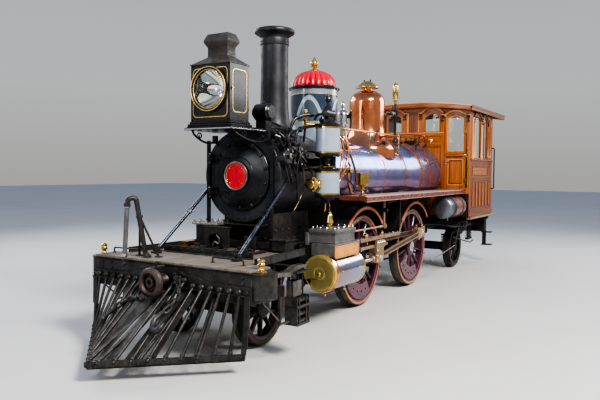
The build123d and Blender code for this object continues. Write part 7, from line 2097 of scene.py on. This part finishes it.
# valve spindle, its rocker and crank
t.cyl((-0.390, 0.775, 1.070), (0.868, 0.775, 1.070), 0.0145, RODWORN, 24, 0.002)
t.box(-0.4495, -0.3905, 0.7455, 0.8045, 1.036, 1.105, RODWORN, 0.008)
t.box(-0.4350, -0.4050, 0.7600, 0.7900, 1.10, 1.489, RODWORN, 0.006)
t.cyl((-0.420, 0.700, 1.300), (-0.420, 0.830, 1.300), 0.030, UNDER, 24, 0.003)
t.cyl((-0.420, 0.735, 1.070), (-0.420, 0.815, 1.070), 0.020, RODWORN, 20, 0.002)
for x in (-0.30, 0.60):
    t.lathe([(0.0145, 0), (0.024, 0), (0.024, 0.050), (0.0145, 0.050)], (x, 0.775, 1.070), (1, 0, 0), RODWORN, 6, close=True)
oil_cup(t, -0.345, 0.775, 0.9495, 0.9)
oil_cup(t, 0.180, 0.775, 0.9495, 0.9)
p = Piece("slide_bars_detail")
p.join(t)
p.join(t, -1)
p.make("chassis", ["slide_bars"])

# ---------------------------------------------------------------------------
# Running boards, splashers, air tanks
# ---------------------------------------------------------------------------
BOARDTOP = paint("board_top", (0.27, 0.20, 0.17), (0.17, 0.115, 0.095), (0.35, 0.6), 0.0, 8.0, ((0.42, 0.37, 0.33), 0.5), 0.15, 60.0)
BOARDRED = paint("board_edge_red", (0.20, 0.055, 0.035), (0.13, 0.035, 0.024), (0.22, 0.38), 0.0, 5.0, ((0.30, 0.20, 0.16), 0.35), Coat_Weight=0.3)
LINE = paint("pale_line", (0.66, 0.56, 0.46), (0.50, 0.40, 0.32), (0.25, 0.4), 0.2, 9.0)
t = Piece("t")
BX0, BX1 = -3.499, 0.624
cut = [(-3.499, -2.42, 0.592), (-2.42, 0.624, 0.592)]
for x0, x1, y0 in cut:
    t.box(x0, x1, y0, 0.972, 1.4905, 1.5265, BOARDTOP, 0.003)
for k in range(20):
    x = BX0 + 0.10 + k * 0.205
    if x < BX1 - 0.05:
        t.rivet((x, 0.945, 1.5265), (0, 0, 1), 0.007, BOARDTOP)
t.box(BX0, BX1, 0.972, 0.9985, 1.4555, 1.5215, BOARDRED, 0.004)
t.box(BX0, BX1 + 0.0005, 0.962, 0.9990, 1.5205, 1.5295, LINE, 0.003)
t.box(BX0, BX1, 0.970, 0.9995, 1.4555, 1.4625, LINE, 0.002)
t.box(BX1 - 0.010, BX1 + 0.0005, 0.60, 0.995, 1.4700, 1.5290, BOARDRED, 0.003)
for x in (0.50, -0.90, -1.95, -2.90):
    t.box(x - 0.024, x + 0.024, 0.505 if x > -2.2 else 0.52, 0.600, 1.472, 1.498, UNDER, 0.004)
    t.prism([(0.500, 1.47), (0.600, 1.47), (0.900, 1.476), (0.900, 1.466), (0.600, 1.440), (0.500, 1.380)], "yz", x - 0.008, x + 0.008, UNDER)
p = Piece("running_boards_detail")
p.join(t)
p.join(t, -1)
p.make("chassis", ["running_boards"])

p = Piece("splashers_detail")
t = Piece("t")
for x in (0.0, -1.874):
    z, r1, r0 = 0.622, 0.7425, 0.7030
    a0 = math.degrees(math.asin(0.472 / r1))
    n_ = 40
    # the arched top sheets are in the underframe black: painted shade under the running board
    for rr0, rr1, y0, y1, m_ in ((0.7330, 0.7390, 0.481, 0.692, UNDER), (r0, r1, 0.692, 0.6995, RIM), (0.7310, 0.7428, 0.684, 0.7000, RIM)):
        loop = arc2(x, z, rr1, a0, 180 - a0, n_) + arc2(x, z, rr0, 180 - a0, a0, n_)
        t.prism(loop, "xz", y0, y1, m_)
    t.prism(arc2(x, z, 0.7405, a0, 180 - a0, n_) + arc2(x, z, 0.7375, 180 - a0, a0, n_), "xz", 0.482, 0.686, UNDER)
    t.prism(arc2(x, z, 0.7100, a0, 180 - a0, n_) + arc2(x, z, 0.7045, 180 - a0, a0, n_), "xz", 0.6990, 0.7003, LINE)
    t.box(x - 0.012, x + 0.012, 0.565, 0.650, 1.360, 1.489, UNDER, 0.004)
    t.box(x - 0.030, x + 0.030, 0.562, 0.658, 1.478, 1.489, UNDER, 0.003)
    t.box(x - 0.030, x + 0.030, 0.562, 0.658, 1.358, 1.370, UNDER, 0.003)
p.join(t)
p.join(t, -1)
p.make("chassis", ["splashers"])

TANKSTEEL = metal("tank_steel", (0.20, 0.215, 0.245), (0.13, 0.138, 0.158), (0.26, 0.40), 3.0, 0.05, 40.0, 0.85, ((0.20, 0.16, 0.14), 0.4))
TANKRED = paint("tank_jacket", (0.22, 0.070, 0.045), (0.13, 0.045, 0.032), (0.20, 0.36), 0.2, 5.0, ((0.35, 0.25, 0.2), 0.3), Coat_Weight=0.3)
TXF, TXB = -2.550, -3.440
t = Piece("t")
ax = (0, 0.90, 1.23)
dome_f = [(0.190 * math.cos(u), TXF - 0.062 + 0.060 * math.sin(u)) for u in [math.pi / 2 * i / 10 for i in range(11)]]
dome_b = [(0.190 * math.cos(u), TXB + 0.052 - 0.050 * math.sin(u)) for u in [math.pi / 2 * i / 10 for i in range(10, -1, -1)]]
t.lathe([(max(0.0, r), x) for r, x in dome_b] + [(0.190, -3.36), (0.187, -3.356), (0.187, TXF - 0.125), (0.1895, TXF - 0.120)] + [(max(0.0, r), x) for r, x in dome_f], ax, (1, 0, 0), TANKSTEEL, 72)
t.lathe([(0.186, -3.355), (0.1885, -3.352), (0.1885, TXF - 0.330), (0.186, TXF - 0.327)], ax, (1, 0, 0), TANKRED, 72, close=True)
for x in (-2.80, -3.22):
    t.band((x, 0.90, 1.23), (1, 0, 0), 0.186, 0.1925, -0.024, 0.024, UNDER, 72, 0.001)
    for y in (0.80, 0.96):
        t.cyl((x, y, 1.23 + math.sqrt(0.19 ** 2 - (y - 0.90) ** 2) - 0.01), (x, y, 1.489), 0.011, UNDER, 10)
        t.bolt((x, y, 1.479), (0, 0, -1), 0.013, 0.014, IRON)
t.lathe([(0, TXF - 0.004), (0.020, TXF - 0.004), (0.020, TXF + 0.0005), (0, TXF + 0.0008)], ax, (1, 0, 0), BRASS, 6)
t.tube(bent([(-3.10, 0.90, 1.045), (-3.10, 0.90, 0.99), (-3.10, 0.70, 0.98), (-3.30, 0.52, 0.98)], 0.04), 0.012, UNDER, 10)
t.lathe([(0, 0), (0.018, 0), (0.018, 0.020), (0.010, 0.026), (0.010, 0.050), (0, 0.052)], (-2.90, 0.90, 1.041), (0, 0, -1), BRASS, 12)
p = Piece("air_tanks_detail")
p.join(t)
p.join(t, -1)
p.make("chassis", ["air_tanks"])

# ---------------------------------------------------------------------------
# Frames, cross members, trucks, rear beam and what hangs below
# ---------------------------------------------------------------------------
for side_, s in (("left", 1), ("right", -1)):
    t = Piece("t")
    y0, y1 = 0.3605, 0.4495
    t.box(-5.1995, 2.8495, y0, y1, 0.8005, 0.8995, UNDER, 0.008)
    for x in (0.0, -1.874):
        # pedestal with its hole for the box
        t.plate([(x - 0.1845, 0.4005), (x + 0.1845, 0.4005), (x + 0.1845, 0.8045), (x - 0.1845, 0.8045)], [[(x + 0.0805 * math.cos(2 * math.pi * i / 40), 0.622 + 0.0805 * math.sin(2 * math.pi * i / 40)) for i in range(40)]],
                "xz", y0, y1, UNDER)
        t.lathe([(0.0806, y1 - 0.002), (0.108, y1 - 0.002), (0.108, y1 + 0.020), (0.0806, y1 + 0.020)], (x, 0, 0.622), (0, 1, 0), BRASS, 40, close=True)
        t.box(x - 0.205, x + 0.205, y0 + 0.008, y1 - 0.008, 0.372, 0.402, UNDER, 0.006)
        for dx in (-0.150, 0.150):
            for z in (0.44, 0.72):
                t.bolt((x + dx, y1, z), (0, 1, 0), 0.015, 0.016, IRON)
        # leaf spring over the frame and its hangers
        for k in range(6):
            hl = 0.420 - 0.055 * k
            pts = [(x - hl + 2 * hl * i / 12, 1.030 - 0.045 * ((-hl + 2 * hl * i / 12) / 0.42) ** 2 - 0.016 * k) for i in range(13)]
            t.prism(pts + [(u, v - 0.0130) for u, v in reversed(pts)], "xz", 0.378, 0.436, UNDER)
        t.box(x - 0.035, x + 0.035, 0.370, 0.444, 0.900, 1.045, UNDER, 0.006)
        for dx in (-0.385, 0.385):
            t.cyl((x + dx, 0.407, 0.880), (x + dx, 0.407, 1.000), 0.014, UNDER, 10)
    for x in (-2.75, -3.10, -4.1, -4.7, 0.75, 1.2, 1.7, 2.2, 2.65, -0.6, -1.2):
        t.bolt((x, y1, 0.85), (0, 1, 0), 0.016, 0.016, IRON)
    # brake shoes and hangers on the drivers, in front of each wheel
    for x in (0.0, -1.874):
        a0 = 187.0
        shoe = arc2(x, 0.622, 0.700, a0, a0 + 26, 8) + arc2(x, 0.622, 0.664, a0 + 26, a0, 8)
        t.prism(shoe, "xz", 0.505, 0.600, UNDER)
        t.box(x - 0.724, x - 0.694, 0.540, 0.572, 0.500, 0.860, UNDER, 0.005)
        t.cyl((x - 0.709, 0.440, 0.855), (x - 0.709, 0.585, 0.855), 0.018, UNDER, 14)
        t.cyl((x - 0.709, 0.300, 0.430), (x - 0.709, 0.600, 0.430), 0.016, UNDER, 14)
        t.box(x - 0.722, x - 0.696, 0.545, 0.567, 0.420, 0.560, UNDER, 0.004)
    t.tube([(-0.709, 0.33, 0.430), (-2.583, 0.33, 0.430)], 0.013, UNDER, 10)
    t.tube([(-2.583, 0.33, 0.430), (-3.20, 0.30, 0.47)], 0.013, UNDER, 10)
    p = Piece("frame_%s_detail" % side_)
    p.join(t, s)
    p.make("chassis", ["frame_" + side_])

p = Piece("frame_cross_detail")
for x0, x1, z0, z1 in ((2.480, 2.850, 0.700, 0.900), (-1.050, -0.900, 0.560, 0.880), (-5.200, -5.050, 0.620, 0.900)):
    p.box(x0 + 0.0005, x1 - 0.0005, -0.3598, 0.3598, z0, z1, UNDER, 0.010)
    for y in (-0.28, -0.14, 0.0, 0.14, 0.28):
        p.bolt((x0 + 0.0005, y, (z0 + z1) / 2), (-1, 0, 0), 0.014, 0.014, IRON)
for x0, x1, z0, z1, px_ in ((1.800, 2.300, 0.820, 0.860, 1.950), (-3.850, -3.650, 0.820, 0.900, -3.750)):
    hole = [(px_ + 0.0355 * math.cos(2 * math.pi * i / 32), 0.0355 * math.sin(2 * math.pi * i / 32)) for i in range(32)]
    p.plate([(x0, -0.3598), (x1, -0.3598), (x1, 0.3598), (x0, 0.3598)], [hole], "xy", z0, z1, UNDER)
    for y in (-0.10, 0.10):
        p.box(x0 + 0.01, x1 - 0.01, y - 0.012, y + 0.012, z1 - 0.001, z1 + 0.030, UNDER, 0.003)
for x in (-3.620, -5.080):
    p.box(x - 0.0595, x + 0.0595, -1.0395, 1.0395, 0.9005, 0.955, UNDER, 0.006)
    p.box(x - 0.0595, x + 0.0595, -1.0395, 1.0395, 1.020, 1.0595, UNDER, 0.006)
    p.box(x - 0.018, x + 0.018, -1.035, 1.035, 0.950, 1.025, UNDER, 0.003)
    for y in (-0.95, -0.60, -0.25, 0.25, 0.60, 0.95):
        p.box(x - 0.055, x + 0.055, y - 0.008, y + 0.008, 0.95, 1.025, UNDER, 0.003)
# waist sheets between the frames and the barrel
for x in (0.700, -0.975):
    ys_ = [0.42 - 0.84 * i / 20 for i in range(21)]
    p.prism([(0.42, 0.9005), (-0.42, 0.9005)] + [(y, BZ - math.sqrt(0.4990 ** 2 - y * y)) for y in reversed(ys_)], "yz", x - 0.007, x + 0.007, UNDER)
    for s in (-1, 1):
        p.box(x - 0.045, x + 0.045, s * 0.362, s * 0.420, 0.9005, 0.915, UNDER, 0.003)
        for y in (0.10, 0.22, 0.34):
            p.rivet((x + 0.007, s * y, BZ - math.sqrt(0.4990 ** 2 - y * y) - 0.030), (1, 0, 0), 0.010, UNDER)
            p.rivet((x + 0.007, s * y, 0.935), (1, 0, 0), 0.010, UNDER)
p.make("chassis", ["frame_cross"])

for tn, xa, xp in (("leading_truck", 2.350, 1.950), ("trailing_truck", -4.250, -3.750)):
    d = 1 if xa > xp else -1
    p = Piece(tn + "_detail")
    for s in (-1, 1):
        hole = [(xa + 0.0506 * math.cos(2 * math.pi * i / 32), 0.380 + 0.0506 * math.sin(2 * math.pi * i / 32)) for i in range(32)]
        p.plate([(xa - 0.189, 0.3005), (xa + 0.189, 0.3005), (xa + 0.189, 0.4595), (xa - 0.189, 0.4595)], [hole], "xz", s * 0.3955, s * 0.4645, UNDER)
        p.box(xa - 0.075, xa + 0.075, s * 0.392, s * 0.466, 0.445, 0.475, UNDER, 0.006)
        for dx in (-0.145, 0.145):
            p.bolt((xa + dx, s * 0.4645, 0.42), (0, s, 0), 0.014, 0.014, IRON)
            # coil springs on the bar
            coil = [Vector((xa + dx + 0.034 * math.cos(u), s * 0.430 + 0.034 * math.sin(u), 0.468 + 0.150 * u / (2 * math.pi * 5))) for u in [2 * math.pi * 5 * i / 90 for i in range(91)]]
            p.tube(coil, 0.0085, UNDER, 8)
            p.cyl((xa + dx, s * 0.430, 0.616), (xa + dx, s * 0.430, 0.632), 0.046, UNDER, 20)
    for q in (-1, 1):
        x = xa + q * 0.160
        p.box(x - 0.0295, x + 0.0295, -0.3995, 0.3995, 0.3205, 0.4395, UNDER, 0.006)
    x0, x1 = sorted((xp - d * 0.059, xa - d * 0.141))
    p.box(x0, x1, -0.0895, 0.0895, 0.3305, 0.4295, UNDER, 0.008)
    p.lathe([(0, 0.4005), (0.0595, 0.4005), (0.0595, 0.430), (0.052, 0.445), (0.052, 0.780), (0.0595, 0.795), (0.0595, 0.8115), (0.0345, 0.8120), (0.0345, 0.8495), (0, 0.8495)], (xp, 0, 0), (0, 0, 1), STEEL, 40)
    p.make(tn, [tn])

p = Piece("rear_beam_detail")
p.box(-5.3495, -5.2005, -0.9495, 0.9495, 0.6205, 0.8995, UNDER, 0.010)
for s in (-1, 1):
    for y in (0.35, 0.60, 0.85):
        for z in (0.68, 0.84):
            p.bolt((-5.3495, s * y, z), (-1, 0, 0), 0.017, 0.018, IRON)
hole = [(-5.470 + 0.0262 * math.cos(2 * math.pi * i / 32), 0.0262 * math.sin(2 * math.pi * i / 32)) for i in range(32)]
for z0, z1 in ((0.7405, 0.7995),):
    p.plate([(-5.5595, -0.130), (-5.520, -0.1695), (-5.3495, -0.1695), (-5.3495, 0.1695), (-5.520, 0.1695), (-5.5595, 0.130)], [hole], "xy", z0, z1, UNDER)
p.lathe([(0.0262, 0.799), (0.050, 0.799), (0.050, 0.806), (0.0262, 0.806)], (-5.470, 0, 0), (0, 0, 1), STEEL, 32, close=True)
for s in (-1, 1):
    p.box(-5.420, -5.3495, s * 0.44, s * 0.54, 0.660, 0.760, UNDER, 0.012)
    # footstep at the cab's back corner: two straps, two treads
    for x_ in (-5.345, -5.215):
        p.box(x_ - 0.008, x_ + 0.008, s * 0.900, s * 0.945, 0.340, 0.900, UNDER, 0.003)
    for z_ in (0.340, 0.600):
        p.box(-5.380, -5.180, s * 0.880, s * 1.080, z_, z_ + 0.016, UNDER, 0.004)
    # pipe end with its cock, closed by a cap
    p.tube([(-5.300, s * 0.30, 0.700), (-5.410, s * 0.30, 0.700)], 0.020, IRON, 14)
    p.lathe([(0.020, 0), (0.029, 0.004), (0.029, 0.030), (0.024, 0.036), (0.031, 0.044), (0.031, 0.066), (0.020, 0.072), (0, 0.073)], (-5.400, s * 0.30, 0.700), (-1, 0, 0), IRON, 18)
    p.tube([(-5.418, s * 0.30, 0.724), (-5.418, s * 0.30, 0.752), (-5.480, s * 0.30, 0.756)], 0.0065, IRON, 8)
p.make("chassis", ["rear_beam"])

p = Piece("underframe_pipes")
for s in (-1, 1):
    # injector below the cab with its pipes and the long feed line
    x, y, z = -3.78, s * 0.93, 0.86
    p.cyl((x - 0.16, y, z), (x + 0.16, y, z), 0.040, IRON, 24, 0.006)
    p.cyl((x - 0.05, y, z), (x + 0.06, y, z), 0.055, IRON, 24, 0.006)
    p.lathe([(0, -0.10), (0.026, -0.10), (0.026, 0.09), (0, 0.09)], (x, y, z), (0, 0, 1), IRON, 18)
    p.tube(bent([(x + 0.15, y, z), (x + 0.60, y, z), (-3.00, s * 0.72, 0.92), (-2.55, s * 0.52, 0.93), (-2.52, s * 0.50, 1.20)], 0.08), 0.019, UNDER, 12)
    p.tube(bent([(x - 0.15, y, z), (x - 0.45, y, z), (x - 0.55, y - s * 0.15, z - 0.05), (-5.15, s * 0.75, 0.78)], 0.06), 0.022, UNDER, 12)
    p.tube(bent([(x, y, z + 0.08), (x, y, 1.03)], 0.03), 0.016, COPPER, 10)
    # diagonal stay from the frame up to the cab's front corner; its lower run is in pale dull steel: painted highlight
    p.tube([(-2.363, s * 0.80, 0.333), (-3.364, s * 0.90, 0.515)], 0.011, RODDULL, 10)
    p.tube([(-3.346, s * 0.898, 0.511), (-3.364, s * 0.90, 0.515), (-3.55, s * 0.92, 0.90)], 0.014, UNDER, 12)
    # spring gear beside the trailing wheels
    p.box(-4.950, -3.620, s * 0.700, s * 0.740, 0.800, 0.860, UNDER, 0.006)
    for k in range(7):
        hl = 0.360 - 0.042 * k
        pts = [(-4.25 - hl + 2 * hl * i / 12, 0.780 - 0.055 * ((-hl + 2 * hl * i / 12) / 0.36) ** 2 - 0.017 * k) for i in range(13)]
        p.prism(pts + [(u, v - 0.0135) for u, v in reversed(pts)], "xz", s * 0.690, s * 0.752, RODDARK)
    p.box(-4.290, -4.210, s * 0.684, s * 0.758, 0.640, 0.800, UNDER, 0.006)
    for x_ in (-4.590, -3.910):
        p.cyl((x_, s * 0.721, 0.690), (x_, s * 0.721, 0.905), 0.013, RODDARK, 12)
        p.bolt((x_, s * 0.721, 0.690), (0, 0, -1), 0.017, 0.020, RODDARK)
    for x_ in (-4.770, -4.905):
        p.tube([Vector((x_ + 0.036 * math.cos(u), s * 0.720 + 0.036 * math.sin(u), 0.520 + 0.270 * u / (2 * math.pi * 7))) for u in [2 * math.pi * 7 * i / 126 for i in range(127)]], 0.0085, RODDARK, 8)
        p.cyl((x_, s * 0.720, 0.500), (x_, s * 0.720, 0.520), 0.050, UNDER, 20)
        p.cyl((x_, s * 0.720, 0.470), (x_, s * 0.720, 0.810), 0.011, UNDER, 10)
    p.box(-4.990, -4.690, s * 0.690, s * 0.750, 0.484, 0.502, UNDER, 0.004)
    p.tube([(-3.70, s * 0.76, 0.62), (-4.80, s * 0.76, 0.42), (-5.10, s * 0.74, 0.44)], 0.012, RODDARK, 10)
    # reach rod and brake pull below the running board
    p.tube([(-0.45, s * 0.80, 1.405), (-2.00, s * 0.66, 1.430), (-3.49, s * 0.64, 1.440)], 0.012, UNDER, 8)
# cross pipes and the grate-shaker rod under the firebox
for x, z in ((-3.48, 0.93), (-2.50, 0.93)):
    p.tube([(x, -0.56, z), (x, 0.56, z)], 0.020, UNDER, 10)
p.make("chassis")

# ---------------------------------------------------------------------------
# Floor, light, background
# ---------------------------------------------------------------------------
floor_mesh = bpy.data.meshes.new("floor")
floor_mesh.from_pydata([(-60, -60, 0), (60, -60, 0), (60, 60, 0), (-60, 60, 0)], [], [(0, 1, 2, 3)])
floor = bpy.data.objects.new("floor", floor_mesh)
bpy.context.scene.collection.objects.link(floor)
fm = Mat("floor_pale", rough=0.75)
fm.color(fm.ramp(fm.noise(0.6, 3.0), ((0.3, (0.56, 0.55, 0.53)), (0.7, (0.60, 0.59, 0.57)))))
floor.data.materials.append(fm.m)

world = bpy.data.worlds.new("studio")
bpy.context.scene.world = world
world.use_nodes = True
wn, wl = world.node_tree.nodes, world.node_tree.links
bg = wn["Background"] if "Background" in wn else wn.new("ShaderNodeBackground")
tc = wn.new("ShaderNodeTexCoord")
sep = wn.new("ShaderNodeSeparateXYZ")
ramp = wn.new("ShaderNodeValToRGB")
mr = wn.new("ShaderNodeMapRange")
mr.inputs["From Min"].default_value, mr.inputs["From Max"].default_value = -0.2, 1.0
wl.new(tc.outputs["Generated"], sep.inputs[0])
wl.new(sep.outputs["Z"], mr.inputs["Value"])
wl.new(mr.outputs["Result"], ramp.inputs["Fac"])
els = ramp.color_ramp.elements
els[0].position, els[0].color = 0.10, (0.62, 0.60, 0.58, 1)
els[1].position, els[1].color = 0.95, (0.46, 0.62, 0.95, 1)
mid_el = els.new(0.28)
mid_el.color = (0.86, 0.87, 0.88, 1)
wl.new(ramp.outputs["Color"], bg.inputs["Color"])
bg.inputs["Strength"].default_value = 0.5


def area(name, at, look, size, power, color=(1, 1, 1)):
    d = bpy.data.lights.new(name, "AREA")
    d.shape, d.size, d.size_y, d.energy, d.color = "RECTANGLE", size[0], size[1], power, color
    o = bpy.data.objects.new(name, d)
    bpy.context.scene.collection.objects.link(o)
    o.location = at
    o.rotation_mode = "QUATERNION"
    o.rotation_quaternion = (Vector(look) - Vector(at)).to_track_quat("-Z", "Y")
    return o


area("key", (6.0, 9.0, 9.5), (0.3, 0, 1.5), (3.2, 3.2), 2300, (1.0, 0.955, 0.89))
area("front", (13.0, -2.0, 5.0), (2.5, 0, 1.4), (6, 4), 300, (0.95, 0.97, 1.0))
area("back", (-8.0, 6.0, 6.0), (-1.0, 0, 1.8), (6, 4), 420, (0.98, 0.98, 1.0))
area("far", (0.0, -10.0, 7.0), (0, 0, 1.5), (8, 4), 500, (0.97, 0.98, 1.0))

bpy.context.scene.view_settings.look = "AgX - High Contrast"
